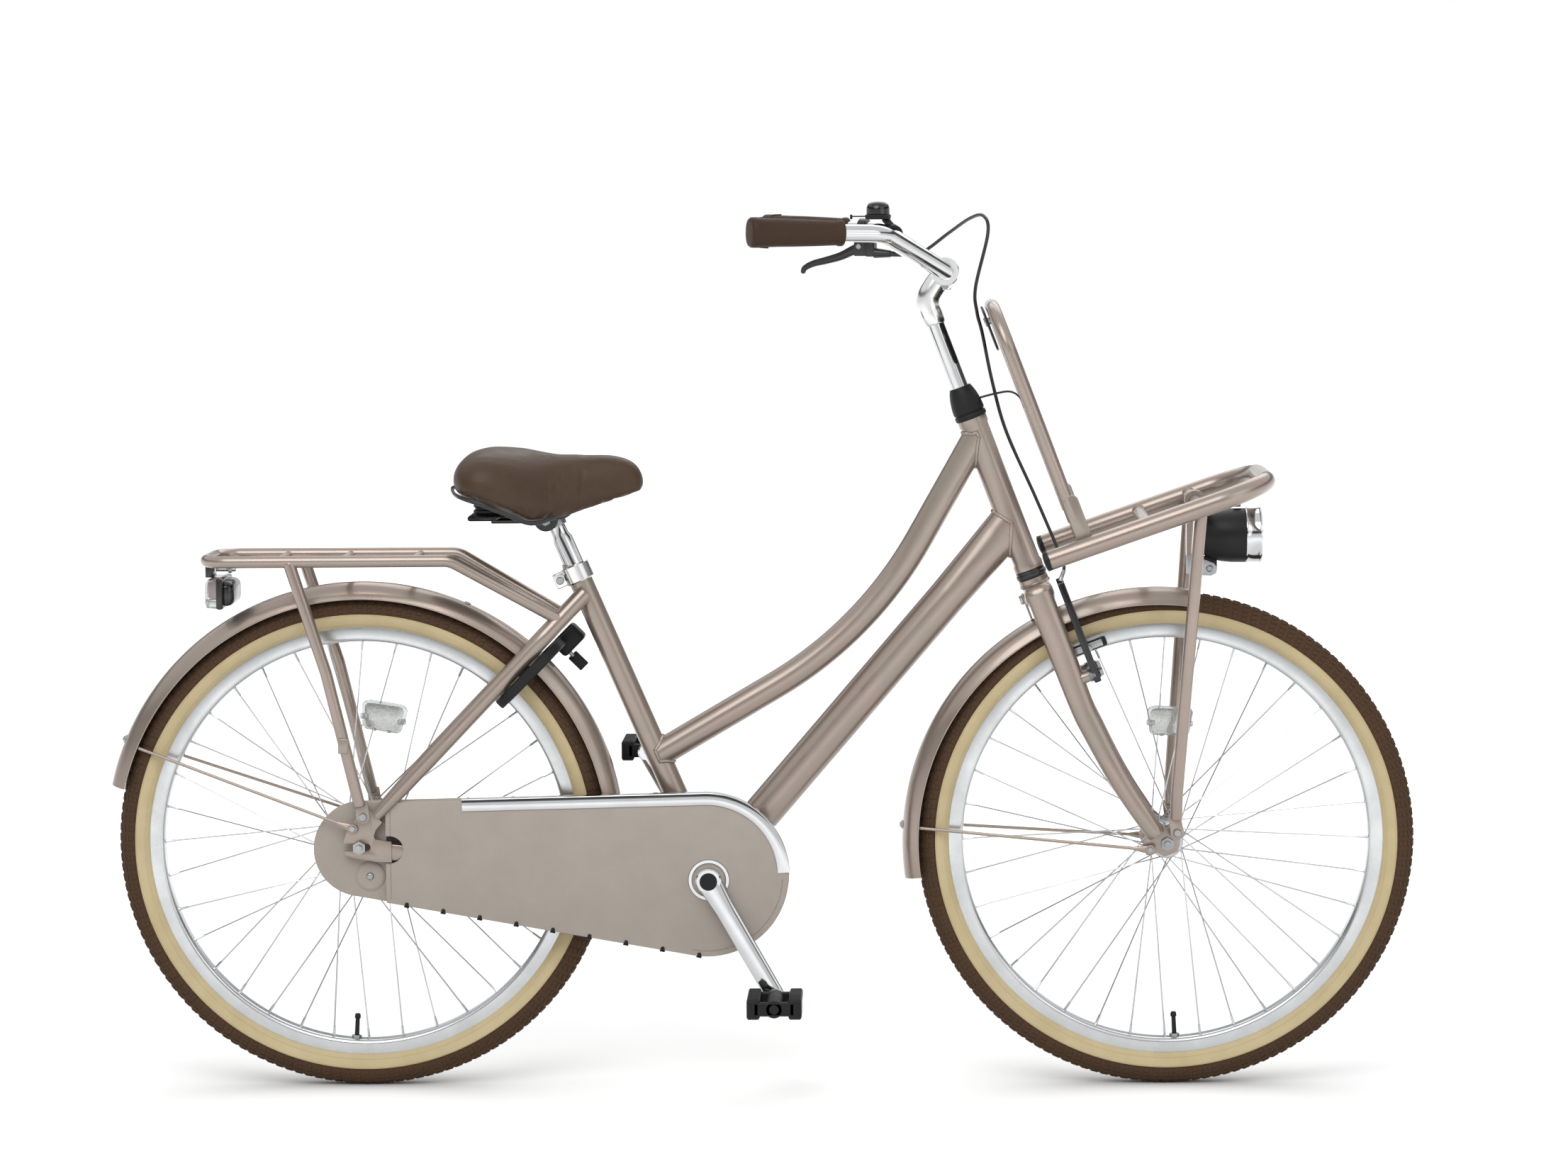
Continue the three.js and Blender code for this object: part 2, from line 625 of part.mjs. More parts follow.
const stayFootShares = [0.3, 0.575];
const stayFoot = at(stayFootShares[0] * dropoutHeight, chainstayWeld.y, rearAxle.z + stayFootShares[1] * dropoutHeight);
const seatStayTopSide = 22;
const seatStayKneeSide = 42;
const seatStayKneeShare = 0.8;
const seatStayBendRadius = 90;
const seatStayBridgeShare = 0.785;
const seatStayBridgeDiameter = 12;
const seatStayTop = onSeatTube(seatStayOnSeatTube);
const onSeatStay = (share, side) => at(
  stayFoot.x + (seatStayTop.x - stayFoot.x) * share, side, stayFoot.z + (seatStayTop.z - stayFoot.z) * share);
const seatStaySideAt = (share) => share < seatStayKneeShare
  ? stayFoot.y + (seatStayKneeSide - stayFoot.y) * share / seatStayKneeShare
  : seatStayKneeSide + (seatStayTopSide - seatStayKneeSide) * (share - seatStayKneeShare) / (1 - seatStayKneeShare);

function seatStays() {
  const stay = (side) => {
    const points = bent([onSeatStay(0, side * stayFoot.y), onSeatStay(seatStayKneeShare, side * seatStayKneeSide),
      onSeatStay(1, side * seatStayTopSide)], seatStayBendRadius, THREE.MathUtils.degToRad(10));
    points[0] = points[0].clone().lerp(points[1], 2 * weldGap / points[0].distanceTo(points[1]));
    return cutBy(tube(points, seatStayDiameter, 10), seatTubeCore(weldGap));
  };
  const low = onSeatStay(seatStayBridgeShare, 0);
  const reach = seatStaySideAt(seatStayBridgeShare);
  const bridge = crossRod(low.x, low.z, -reach, reach, seatStayBridgeDiameter, 10);
  return joined(stay(right), stay(left), bridge);
}
piece('seat_stays', seatStays(), paint());

// Rear axle, sprocket and brake arm

const nutWidth = 18;
const nutThickness = 8;
const coneDiameter = 17;
const axleEndLength = 5;
const nutSides = 6;

// An axle with its cones inside the two plates that hold it and its nuts outside them
function nuttedAxle(diameter, spacing, plateThickness, leftHub, rightHub) {
  const inside = spacing / 2 - runningGap;
  const outside = spacing / 2 + plateThickness + runningGap;
  const end = outside + nutThickness + axleEndLength;
  return joined(
    crossRod(0, 0, -end, end, diameter, 6),
    crossRod(0, 0, leftHub + axleGap, inside, coneDiameter, 6),
    crossRod(0, 0, -inside, -rightHub - axleGap, coneDiameter, 6),
    crossRod(0, 0, outside, outside + nutThickness, nutWidth, nutSides),
    crossRod(0, 0, -outside - nutThickness, -outside, nutWidth, nutSides),
  );
}
placedAt(piece('rear_axle', nuttedAxle(rearAxleDiameter, rearSpacing, dropoutPlate, rearHubLeftEnd, driverEnd), steel()),
  0, 0, wheelRadius);

const toothHalfHeight = 3.6;
function toothed(teeth, boreDiameter, side, openings = []) {
  const pitchRadius = chainPitch / 2 / Math.sin(Math.PI / teeth);
  const outline = [];
  for (let i = 0; i < teeth; i += 1) {
    for (const [share, height] of [[0, -1], [1 / 2, 1]]) {
      const turn = fullTurn * (i + share) / teeth;
      const radius = pitchRadius + height * toothHalfHeight;
      outline.push([radius * Math.cos(turn), radius * Math.sin(turn)]);
    }
  }
  const bore = arc(0, 0, boreDiameter / 2, 0, -fullTurn, roundSides).slice(0, -1);
  return plate(outline, side - toothThickness / 2, side + toothThickness / 2, [bore, ...openings]);
}
const sprocketBore = (driverDiameter + 2 * runningGap) / Math.cos(Math.PI / roundSides);
placedAt(piece('rear_sprocket', toothed(sprocketTeeth, sprocketBore, -chainLine), steel()),
  0, 0, wheelRadius);

const brakeArmWidth = 15;
const brakeArmThickness = 3;
const brakeArmClipShare = 0.75;
const brakeArmClipWall = 2.4;
const brakeArmClipLength = 13;
const brakeArmSide = rearHubLeftEnd + axleGap;

function coasterBrakeArm() {
  const weld = chainstayWeld;
  const knee = chainstayKnee;
  const clip = weld.clone().lerp(knee, brakeArmClipShare);
  const along = knee.clone().sub(weld).normalize().multiplyScalar(brakeArmClipLength / 2);
  const ring = rod(clip.clone().sub(along), clip.clone().add(along),
    chainstayDiameter + 2 * brakeArmClipWall, chainstayDiameter + 2 * brakeArmClipWall, 12);
  const reach = clip.x;
  const drop = (rearAxle.z - clip.z + chainstayDiameter / 2) / reach;
  const half = brakeArmWidth / 2;
  const outline = [
    ...arc(0, rearAxle.z, half * 4 / 3, quarterTurn, 3 * quarterTurn, 6),
    [reach, rearAxle.z - reach * drop - half], [reach + half, rearAxle.z - reach * drop],
    [reach, rearAxle.z - reach * drop + half],
  ];
  const arm = plate(outline, brakeArmSide, brakeArmSide + brakeArmThickness);
  const stay = tube(chainstayRoute(left), chainstayDiameter + 2 * weldGap, 8);
  return cutBy(joined(arm, ring), stay,
    crossRod(0, rearAxle.z, 0, rearSpacing, coneDiameter + 2 * runningGap, 12));
}
piece('coaster_brake_arm', coasterBrakeArm(), steel());

// Bottom bracket, cranks and pedals

const cartridgeInset = 1;
const cartridgeLength = bracketShellWidth - 2 * cartridgeInset;
const bracketSleeve = (half, outer, inner) => cutBy(crossRod(bracket.x, bracket.z, -half, half, outer),
  crossRod(bracket.x, bracket.z, -half - cutOverrun, half + cutOverrun, inner));
piece('bottom_bracket_cartridge',
  bracketSleeve(cartridgeLength / 2, bracketShellBore - 2 * runningGap, spindleDiameter + 2 * axleGap), steel());

const crankInner = 64;
const crankThickness = 13;
const crankFlare = 9;
const crankBossDiameter = 34;
const crankWaistWidth = 27;
const crankEyeWidth = 25;
const spindleProud = 2;
const spindleEnd = crankInner + crankThickness + spindleProud;
const pedalAxleDiameter = 11;
const pedalGap = 3;
const pedalWidth = 84;
const pedalLength = 71;
const pedalHeight = 27;
const pedalTreadLength = 17;
const pedalEndPlate = 9;
const pedalBarrelDiameter = 23;
const pedalInner = crankInner + crankFlare + crankThickness + pedalGap;
piece('bottom_bracket_spindle', crossRod(bracket.x, bracket.z, -spindleEnd, spindleEnd, spindleDiameter), steel());

const chainringHoleCount = 5;
const chainringHoleRadius = 13;
const chainringHolePitch = 47;

// Drawn from the bottom bracket's axis, the crank pointing along `turn`
function crank(side, turn) {
  const way = at(Math.cos(turn), 0, Math.sin(turn));
  const middle = crankInner + crankThickness / 2;
  const start = at(0, side * middle, 0);
  const end = way.clone().multiplyScalar(crankLength).add(at(0, side * (middle + crankFlare), 0));
  const length = start.distanceTo(end);
  const arm = ovalRod(start, end, [
    [0, crankBossDiameter, crankThickness], [length / 4, crankWaistWidth, crankThickness],
    [length, crankEyeWidth, crankThickness],
  ], 8);
  const eye = crossRod(end.x, end.z, ...[end.y - crankThickness / 2, end.y + crankThickness / 2], crankEyeWidth, 8);
  const axle = crossRod(end.x, end.z, ...[end.y, side * (pedalInner + pedalWidth)].sort((a, b) => a - b), pedalAxleDiameter, 8);
  const bossInner = side === right ? chainLine - toothThickness : crankInner - toothThickness;
  const boss = crossRod(0, 0, ...[side * bossInner, side * (crankInner + crankThickness)].sort((a, b) => a - b),
    crankBossDiameter, 10);
  return cutBy(joined(arm, eye, axle, boss),
    crossRod(0, 0, -pedalWidth * 2, pedalWidth * 2, spindleDiameter + 2 * runningGap));
}

function rightCrank() {
  const openings = Array.from({ length: chainringHoleCount }, (_, i) => {
    const turn = crankAngle + fullTurn * (i + 1 / 2) / chainringHoleCount;
    return arc(chainringHolePitch * Math.cos(turn), chainringHolePitch * Math.sin(turn), chainringHoleRadius,
      0, -fullTurn, 6).slice(0, -1);
  });
  const chainring = toothed(chainringTeeth, crankBossDiameter - toothThickness, -chainLine, openings);
  return joined(crank(right, crankAngle), chainring);
}
placedAt(piece('right_crank', rightCrank(), chrome()), bracket.x, 0, bracket.z);
placedAt(piece('left_crank', crank(left, crankAngle + Math.PI), chrome()), bracket.x, 0, bracket.z);

function pedal(side) {
  const half = pedalWidth / 2;
  const treadAt = (pedalLength - pedalTreadLength) / 2;
  const treads = [-1, 1].map((way) => block(at(way * treadAt, 0, 0), at(pedalTreadLength, pedalWidth, pedalHeight)));
  const plates = [-1, 1].map((way) => block(at(0, way * (half - pedalEndPlate / 2), 0),
    at(pedalLength - pedalTreadLength, pedalEndPlate, pedalHeight * 2 / 3)));
  const barrel = crossRod(0, 0, -half, half, pedalBarrelDiameter, 8);
  const bore = crossRod(0, 0, -pedalWidth, pedalWidth, pedalAxleDiameter + 2 * axleGap, 8);
  const whole = cutBy(joined(...treads, ...plates, barrel), bore);
  return whole;
}
for (const [side, name] of [[right, 'right_pedal'], [left, 'left_pedal']]) {
  const turn = crankAngle + (side === left ? Math.PI : 0);
  placedAt(piece(name, pedal(side), blackPlastic()), bracket.x + crankLength * Math.cos(turn),
    side * (pedalInner + pedalWidth / 2), bracket.z + crankLength * Math.sin(turn));
}

// Chain and chaincase

// The outline round two circles, as a belt lies on them
function belt(rear, rearRadius, front, frontRadius, steps) {
  const base = Math.atan2(front.z - rear.z, front.x - rear.x);
  const spread = Math.acos((rearRadius - frontRadius) / Math.hypot(front.x - rear.x, front.z - rear.z));
  return [
    ...arc(front.x, front.z, frontRadius, base - spread, base + spread, steps),
    ...arc(rear.x, rear.z, rearRadius, base + spread, base + fullTurn - spread, steps * 2 / 3),
  ];
}

const toothPitchRadius = (teeth) => chainPitch / 2 / Math.sin(Math.PI / teeth);
const chainGap = 0.6;
const chainPinDiameter = 7.7;
const chainPinCount = 4;
const chainSteps = 6;
const chainPinShares = [0.14, 0.8];

function chain() {
  const half = chainPlateHeight / 2;
  const loop = (grow) => belt(rearAxle, toothPitchRadius(sprocketTeeth) + grow,
    bracket, toothPitchRadius(chainringTeeth) + grow, chainSteps);
  const inner = toothThickness / 2 + chainGap;
  const plates = [-1, 1].map((way) => {
    const [from, to] = [way * inner, way * chainWidth / 2].sort((a, b) => a - b);
    return plate(loop(half), from - chainLine, to - chainLine, [loop(-half).reverse()]);
  });
  const edge = loop(0);
  const [frontLow, frontHigh, rearHigh, rearLow] = [edge[0], edge[chainSteps], edge[chainSteps + 1], edge.at(-1)];
  const pins = [];
  for (const [a, b] of [[frontHigh, rearHigh], [frontLow, rearLow]]) {
    for (let i = 0; i < chainPinCount; i += 1) {
      const share = chainPinShares[0] + (chainPinShares[1] - chainPinShares[0]) * i / (chainPinCount - 1);
      pins.push(crossRod(a[0] + (b[0] - a[0]) * share, a[1] + (b[1] - a[1]) * share,
        -chainLine - chainWidth / 2, -chainLine + chainWidth / 2, chainPinDiameter, 4));
    }
  }
  return joined(...plates, ...pins);
}
piece('chain', chain(), steel());

const caseRearDrop = 4.5;
const caseFrontBack = 3;
const caseFrontRise = 6;
const caseRear = at(0, 0, wheelRadius - caseRearDrop);
const caseFront = at(bracketForward - caseFrontBack, 0, bracket.z + caseFrontRise);
const caseRearRadius = 63;
const caseFrontRadius = 108;
const caseWall = 1.6;
const caseInner = 34.3;
const caseOuter = 61.2;
const capOuter = 50.6;
const caseSeam = 34;
const caseSteps = 12;
const crankHoleRadius = 21.4;
const spindleHoleRadius = 15;
const stayClearance = 1.4;
const dropoutNotchHeight = 36;
const dropoutNotchEnd = 57;
const dropoutNotchDrop = 3.7;
const axleHoleRadius = 14;
const driverHoleRadius = 22;

const caseOutline = (grow) => belt(caseRear, caseRearRadius + grow, caseFront, caseFrontRadius + grow, caseSteps);
const halfSpace = (from, to) => block(at((from + to) / 2, -caseOuter, wheelRadius), at(to - from, caseOuter * 2, wheelbase));

function caseShell(outer) {
  return cutBy(plate(caseOutline(0), -outer, -caseInner), plate(caseOutline(-caseWall), caseWall - outer, -caseInner - caseWall));
}
const caseStays = () => [
  tube(chainstayRoute(right), chainstayDiameter + 2 * stayClearance, 10),
  rod(onSeatStay(0, -stayFoot.y), onSeatStay(seatStayKneeShare, -seatStayKneeSide), seatStayDiameter + 2 * stayClearance),
];

function chaincase() {
  const seam = caseSeam + caseWall;
  const web = plate(caseOutline(0), -caseOuter, -capOuter);
  const shell = joined(caseShell(caseOuter).intersect(halfSpace(caseSeam, wheelbase)),
    web.intersect(halfSpace(caseSeam, seam)));
  const notchRadius = dropoutNotchHeight / 2;
  const notchMiddle = wheelRadius - dropoutNotchDrop;
  const notch = plate([
    [0, notchMiddle - notchRadius],
    ...arc(dropoutNotchEnd - notchRadius, notchMiddle, notchRadius, -quarterTurn, quarterTurn, 10),
    [0, notchMiddle + notchRadius],
  ], -caseOuter - cutOverrun, -capOuter + caseWall);
  const crankHole = crossRod(bracket.x, bracket.z, -caseOuter - cutOverrun, -chainLine, 2 * crankHoleRadius, 20);
  const spindleHole = crossRod(bracket.x, bracket.z, -chainLine, 0, 2 * spindleHoleRadius);
  return cutBy(shell, notch, crankHole, spindleHole, ...caseStays());
}
piece('chaincase', chaincase(), cloth());

function rearCap() {
  const shell = caseShell(capOuter).intersect(halfSpace(-wheelbase, caseSeam - runningGap));
  const axleHole = crossRod(0, rearAxle.z, -capOuter - cutOverrun, -chainLine, 2 * axleHoleRadius);
  const driverHole = crossRod(0, rearAxle.z, -chainLine, 0, 2 * driverHoleRadius);
  return cutBy(shell, axleHole, driverHole, ...caseStays());
}
piece('chaincase_rear_cap', rearCap(), cloth());

const trimWall = 1.2;
const trimFace = 15;
const trimStart = 130;
const trimDepth = 15;
function caseTrim() {
  const rimBand = plate(caseOutline(runningGap + trimWall), -caseOuter - runningGap - trimWall, trimDepth - caseOuter,
    [caseOutline(runningGap).reverse()]);
  const face = plate(caseOutline(runningGap + trimWall), -caseOuter - runningGap - trimWall, -caseOuter - runningGap,
    [caseOutline(-trimFace).reverse()]);
  const kept = block(at(trimStart + wheelbase / 2, -caseOuter, caseFront.z + caseFrontRadius),
    at(wheelbase, caseOuter, 2 * caseFrontRadius));
  return joined(rimBand, face).intersect(kept);
}
piece('chaincase_trim', caseTrim(), chrome());

// Kickstand, folded back along the left chainstay
const standFootDiameter = 20;
function kickstand() {
  const leg = rod(standPivot, standFoot, standLegDiameter, standLegDiameter, 8);
  const foot = rod(standFoot, standFoot.clone().lerp(standPivot, standFootDiameter / standPivot.distanceTo(standFoot)),
    standFootDiameter, standLegDiameter, 8);
  const half = standHeadLength / 2;
  const head = crossRod(standPivot.x, standPivot.z, standSide - half, standSide + half, standHeadDiameter, 12);
  const bore = crossRod(standPivot.x, standPivot.z, 0, standSide * 2, standPivotDiameter + 2 * runningGap, 12);
  const clear = [-1, 1].map((way) => crossRod(standPivot.x, standPivot.z,
    ...[standSide + way * half, standSide + way * standHeadLength * 2].sort((a, b) => a - b), standHeadDiameter * 2, 12));
  return cutBy(joined(leg, foot, head), bore, ...clear);
}
piece('kickstand', kickstand(), alloy());

// Mudguards and their stays

const guardHalfWidth = 29;
const guardRise = 21;
const guardSheet = 1.4;
const guardSectionShares = [[-1, 1], [-0.62, 0.27], [0, 0], [0.62, 0.27], [1, 1]];
const guardStep = THREE.MathUtils.degToRad(12);
const guardNutDiameter = 9;
const guardNutHeight = 4;
const stayWireDiameter = 4.4;
const stayCrossing = 7;
const staySkirtSide = 26.5;
const stayShoulderSide = 16;
const stayShoulderDrop = 11;
const staySkirtDrop = 24;
const stayEyeDiameter = 12;
const stayEyeThickness = 5;

const round = (centre, radius, turn, side = 0) =>
  at(centre.x + radius * Math.cos(turn), side, centre.z + radius * Math.sin(turn));

function mudguard(guard) {
  const outer = guardSectionShares.map(([side, drop]) => [side * guardHalfWidth, -drop * guardRise]);
  const inner = guardSectionShares.map(([side, drop]) =>
    [side * (guardHalfWidth - guardSheet), -drop * guardRise - (1 - drop) * guardSheet]).reverse();
  const count = Math.round((guard.to - guard.from) / guardStep);
  const path = Array.from({ length: count + 1 }, (_, i) =>
    round(guard.centre, guard.radius, guard.from + (guard.to - guard.from) * i / count));
  const bolts = guard.bolts.map(([turn, inward, outward]) => rod(round(guard.centre, guard.radius - inward, turn),
    round(guard.centre, guard.radius + outward, turn), guardNutDiameter, guardNutDiameter, 8));
  return joined(swept([...outer, ...inner], path), ...bolts);
}

function guardStay(guard, eye, eyeSide) {
  const leg = (side) => [
    at(eye.x, side * eyeSide, eye.z),
    round(guard.centre, guard.radius - staySkirtDrop, guard.stayTurn, side * staySkirtSide),
    round(guard.centre, guard.radius - stayShoulderDrop, guard.stayTurn, side * stayShoulderSide),
  ];
  const wire = tube([...leg(right), round(guard.centre, guard.radius - stayCrossing, guard.stayTurn),
    ...leg(left).reverse()], stayWireDiameter, 6);
  const eyes = [right, left].map((side) => crossRod(eye.x, eye.z, side * eyeSide - stayEyeThickness / 2,
    side * eyeSide + stayEyeThickness / 2, stayEyeDiameter, 8));
  return joined(wire, ...eyes);
}

const bridgeTurn = Math.atan2(chainstayHeightAt(chainstayBridgeForward) - rearAxle.z, chainstayBridgeForward);
const seatBridge = onSeatStay(seatStayBridgeShare, 0);
const seatBridgeTurn = Math.atan2(seatBridge.z - rearAxle.z, seatBridge.x);
const rearGuardAboveTyre = 18.5;
const rearGuardRadius = wheelRadius + rearGuardAboveTyre;
const reachOf = (p, diameter) => Math.hypot(p.x, p.z - rearAxle.z) - rearGuardRadius - diameter / 2 - runningGap;
const stayNut = [stayCrossing - stayWireDiameter / 2 - runningGap, guardNutHeight];
const rearGuard = {
  centre: rearAxle, radius: rearGuardRadius, stayTurn: THREE.MathUtils.degToRad(156.6),
  from: THREE.MathUtils.degToRad(-9), to: THREE.MathUtils.degToRad(167),
};
rearGuard.bolts = [
  [rearGuard.stayTurn, ...stayNut],
  [bridgeTurn, guardSheet * 2, reachOf(at(chainstayBridgeForward, 0, chainstayHeightAt(chainstayBridgeForward)),
    chainstayBridgeDiameter)],
  [seatBridgeTurn, guardSheet * 2, reachOf(seatBridge, seatStayBridgeDiameter)],
];
const guardClearance = 1.5;
piece('rear_mudguard', cutBy(mudguard(rearGuard), ...[right, left].map((side) =>
  tube(chainstayRoute(side), chainstayDiameter + 2 * guardClearance, 6))), paint());
const rearEyeBack = 8.6;
const rearEyeRise = 25;
const rearEye = at(rearAxle.x - rearEyeBack, 0, rearAxle.z + rearEyeRise);
const eyeSideOf = (plateOutside) => plateOutside + runningGap + stayEyeThickness / 2;
piece('rear_mudguard_stay', guardStay(rearGuard, rearEye, eyeSideOf(rearSpacing / 2 + dropoutPlate)), chrome());

const frontGuardBack = 10.8;
const frontGuardDrop = 3.4;
const frontGuardAboveTyre = 9.5;
const frontGuardRadius = wheelRadius + frontGuardAboveTyre;
const frontGuard = {
  centre: at(wheelbase - frontGuardBack, 0, wheelRadius - frontGuardDrop), radius: frontGuardRadius, stayTurn: THREE.MathUtils.degToRad(176.2),
  from: THREE.MathUtils.degToRad(82), to: THREE.MathUtils.degToRad(188.3),
};
frontGuard.bolts = [[frontGuard.stayTurn, ...stayNut]];
const frontEyeRise = 1.7;
const frontEyeAhead = 16.5;
const frontEye = onSteering(frontEyeRise, frontEyeAhead);
const frontEyeSide = 66;
piece('front_mudguard_stay', guardStay(frontGuard, frontEye, frontEyeSide), chrome(), steering);

// Fork and headset

const crownFoot = 345;
const crownTop = 378;
const crownLength = 38;
const crownBoreGap = 0.3;
const bladeTopSide = 41;
const bladeTopWidth = 20;
const raceHeight = 7;
const raceDiameter = 40;
const steererTop = 645;
const steererBoreFloor = 470;
const quillGap = 0.3;
const crownBoltDiameter = 9;
const crownBoltHead = 15;
const guardTabSheet = 3;

// Blade stations: [along the steering axis, ahead of it, from the middle, length, width]
const bladeStations = [
  [362, 0, 41, 34, 20], [270, 0, 41, 34, 20], [204, 0, 43, 32, 21], [166, 3.5, 45, 31, 22], [116, 9.5, 48.5, 29, 22],
  [76, 16.5, 51, 27, 20], [44, 24, 53, 26, 18], [20, 30, 54, 24, 16],
];
const forkEndOutline = [
  [9, -5], [24, -7], [30, -15], [50, -15], [54, 0], [62, 2], [66, 11], [58, 19], [46, 20], [38, 34], [24, 34], [17, 16],
  [9, 10],
];
const studAlong = 241;
const studFrom = 12;
const studTo = 41;
const studDiameter = 8;
const studBaseDiameter = 16;
const studBaseTo = 26;

function fork() {
  const blades = [right, left].map((side) => ovalTube(bladeStations.map(([s, n, y, height, width]) =>
    [at(n, side * y, s), height, width]), 8));
  const crown = block(at(0, 0, (crownFoot + crownTop) / 2),
    at(crownLength, 2 * bladeTopSide + bladeTopWidth, crownTop - crownFoot));
  const race = rod(at(0, 0, crownTop), at(0, 0, crownTop + raceHeight), raceDiameter);
  const steerer = rod(at(0, 0, crownFoot), at(0, 0, steererTop), steererDiameter);
  const bore = rod(at(0, 0, steererBoreFloor), at(0, 0, steererTop + cutOverrun), quillDiameter + 2 * quillGap);
  const slotHalf = (frontAxleDiameter + slotClearance) / 2;
  const slot = [
    [forkOffset + slotHalf, -cutOverrun],
    ...arc(forkOffset, 0, slotHalf, 0, Math.PI, 4),
    [forkOffset - slotHalf, -cutOverrun],
  ];
  const ends = [right, left].map((side) => {
    const [from, to] = [side * frontSpacing / 2, side * (frontSpacing / 2 + forkEndPlate)].sort((a, b) => a - b);
    return cutBy(plate(forkEndOutline, from, to), plate(slot, from - cutOverrun, to + cutOverrun));
  });
  const studs = [right, left].flatMap((side) => [
    rod(at(studFrom, side * bladeTopSide, studAlong), at(studBaseTo, side * bladeTopSide, studAlong), studBaseDiameter,
      studBaseDiameter, 10),
    rod(at(studFrom, side * bladeTopSide, studAlong), at(studTo, side * bladeTopSide, studAlong), studDiameter,
      studDiameter, 10),
  ]);
  return inSteering(cutBy(joined(...blades, crown, race, steerer, ...ends, ...studs), bore));
}
piece('fork', fork(), paint(), steering);

placedAt(piece('front_axle', nuttedAxle(frontAxleDiameter, frontSpacing, forkEndPlate, frontHubHalf, frontHubHalf), steel(),
  steering), wheelbase, 0, wheelRadius);

// The front mudguard hangs on a tab from the back of the fork crown
const crownBoltAlong = (crownFoot + crownTop) / 2;
const tabWidth = 16;
const tabReach = 13.5;
function frontMudguard() {
  const tabBack = -crownLength / 2 - runningGap;
  const [tabLow, tabHigh] = [crownFoot - tabReach, crownBoltAlong + tabWidth / 2];
  const tab = inSteering(block(at(tabBack - guardTabSheet / 2, 0, (tabLow + tabHigh) / 2),
    at(guardTabSheet, tabWidth, tabHigh - tabLow)));
  const bolt = inSteering(rod(at(tabBack - guardTabSheet / 2, 0, crownBoltAlong), at(tabBack - crownBoltHead / 2, 0, crownBoltAlong),
    crownBoltHead, crownBoltHead, 6));
  return joined(mudguard(frontGuard), tab, bolt);
}
piece('front_mudguard', frontMudguard(), paint(), steering);

const cupHeight = 10;
const cupDiameter = 41.4;
const cupInsert = 12;
piece('headset_lower_cup', cutBy(joined(
  rod(onSteering(crownTop + raceHeight + runningGap), onSteering(headTubeFoot - runningGap), cupDiameter),
  rod(onSteering(headTubeFoot - cupHeight / 2), onSteering(headTubeFoot + cupInsert), headTubeBore - 2 * runningGap),
), rod(onSteering(crownTop), onSteering(headTop), steererDiameter + 2 * axleGap)), blackMetal());

const bootFoot = headTop + runningGap;
const bootTop = 652;
const bootFootDiameter = 42;
const bootTopDiameter = 32;
const bootLedge = 8;
const upTo = (along) => at(0, 0, along);
piece('headset_boot', inSteering(cutBy(joined(
  rod(upTo(bootFoot), upTo(bootFoot + bootLedge), bootFootDiameter),
  rod(upTo(bootFoot + bootLedge), upTo(bootTop), bootFootDiameter - 2, bootTopDiameter)),
rod(upTo(headTubeFoot), upTo(steererTop + runningGap), steererDiameter + 2 * runningGap),
rod(upTo(steererTop), upTo(bootTop + cutOverrun), quillDiameter + 2 * runningGap))), blackPlastic(), steering);

// Stem and handlebar

const quillFoot = 540;
const quillTop = 771;
const clampAlong = 800;
const clampAhead = 36;
const clampRadius = 18.5;
const clampWidth = 38;
const stemThroatWidth = 28;
const stemHeadDiameter = 29;
const pinchSize = at(16, 20, 14);
const pinchDrop = 17;

// A bore that clears the bar's own facets
const barBore = (handlebarDiameter + 2 * runningGap) / Math.cos(Math.PI / roundSides);

function stem() {
  const quill = rod(at(0, 0, quillFoot), at(0, 0, quillTop), quillDiameter);
  const head = rod(at(0, 0, quillTop - stemHeadDiameter), at(0, 0, quillTop + stemHeadDiameter / 2), quillDiameter + 2,
    stemHeadDiameter);
  const throat = ovalRod(at(0, 0, quillTop), at(clampAhead, 0, clampAlong),
    [[0, stemHeadDiameter, stemThroatWidth], [clampAhead, stemHeadDiameter, stemThroatWidth]], 12);
  const ring = crossRod(clampAhead, clampAlong, -clampWidth / 2, clampWidth / 2, 2 * clampRadius);
  const lug = block(at(clampAhead - pinchDrop * Math.sin(steeringLean), 0, clampAlong - pinchDrop * Math.cos(steeringLean)),
    pinchSize);
  const bore = crossRod(clampAhead, clampAlong, -clampWidth, clampWidth, barBore);
  return inSteering(cutBy(joined(quill, head, throat, ring, lug), bore));
}
piece('stem', stem(), alloy(), steering);

const barMiddle = onSteering(clampAlong, clampAhead);
const barStraight = 45;
const barKneeBack = 81.5;
const barKneeSide = 225;
const barKneeRise = 52.6;
const barTailBack = 160;
const barTailSpread = 54;
const barTailRise = 3;
const barKnee = barMiddle.clone().add(at(-barKneeBack, barKneeSide, barKneeRise));
const barEnd = barKnee.clone().add(at(-barTailBack, barTailSpread, barTailRise));
const barBendRadius = 40;
const gripLength = 118;
const gripFrontDiameter = 33;
const gripRearDiameter = 40;
const gripWall = 4;
const onBar = (share, side = left) => {
  const p = barKnee.clone().lerp(barEnd, share);
  return at(p.x, side * p.y, p.z);
};

function handlebar() {
  const half = (side) => [onBar(1, side), onBar(0, side), at(barMiddle.x, side * barStraight, barMiddle.z)];
  return tube(bent([...half(right), ...half(left).reverse()], barBendRadius, THREE.MathUtils.degToRad(25)),
    handlebarDiameter, roundSides);
}
piece('handlebar', handlebar(), chrome(), steering);

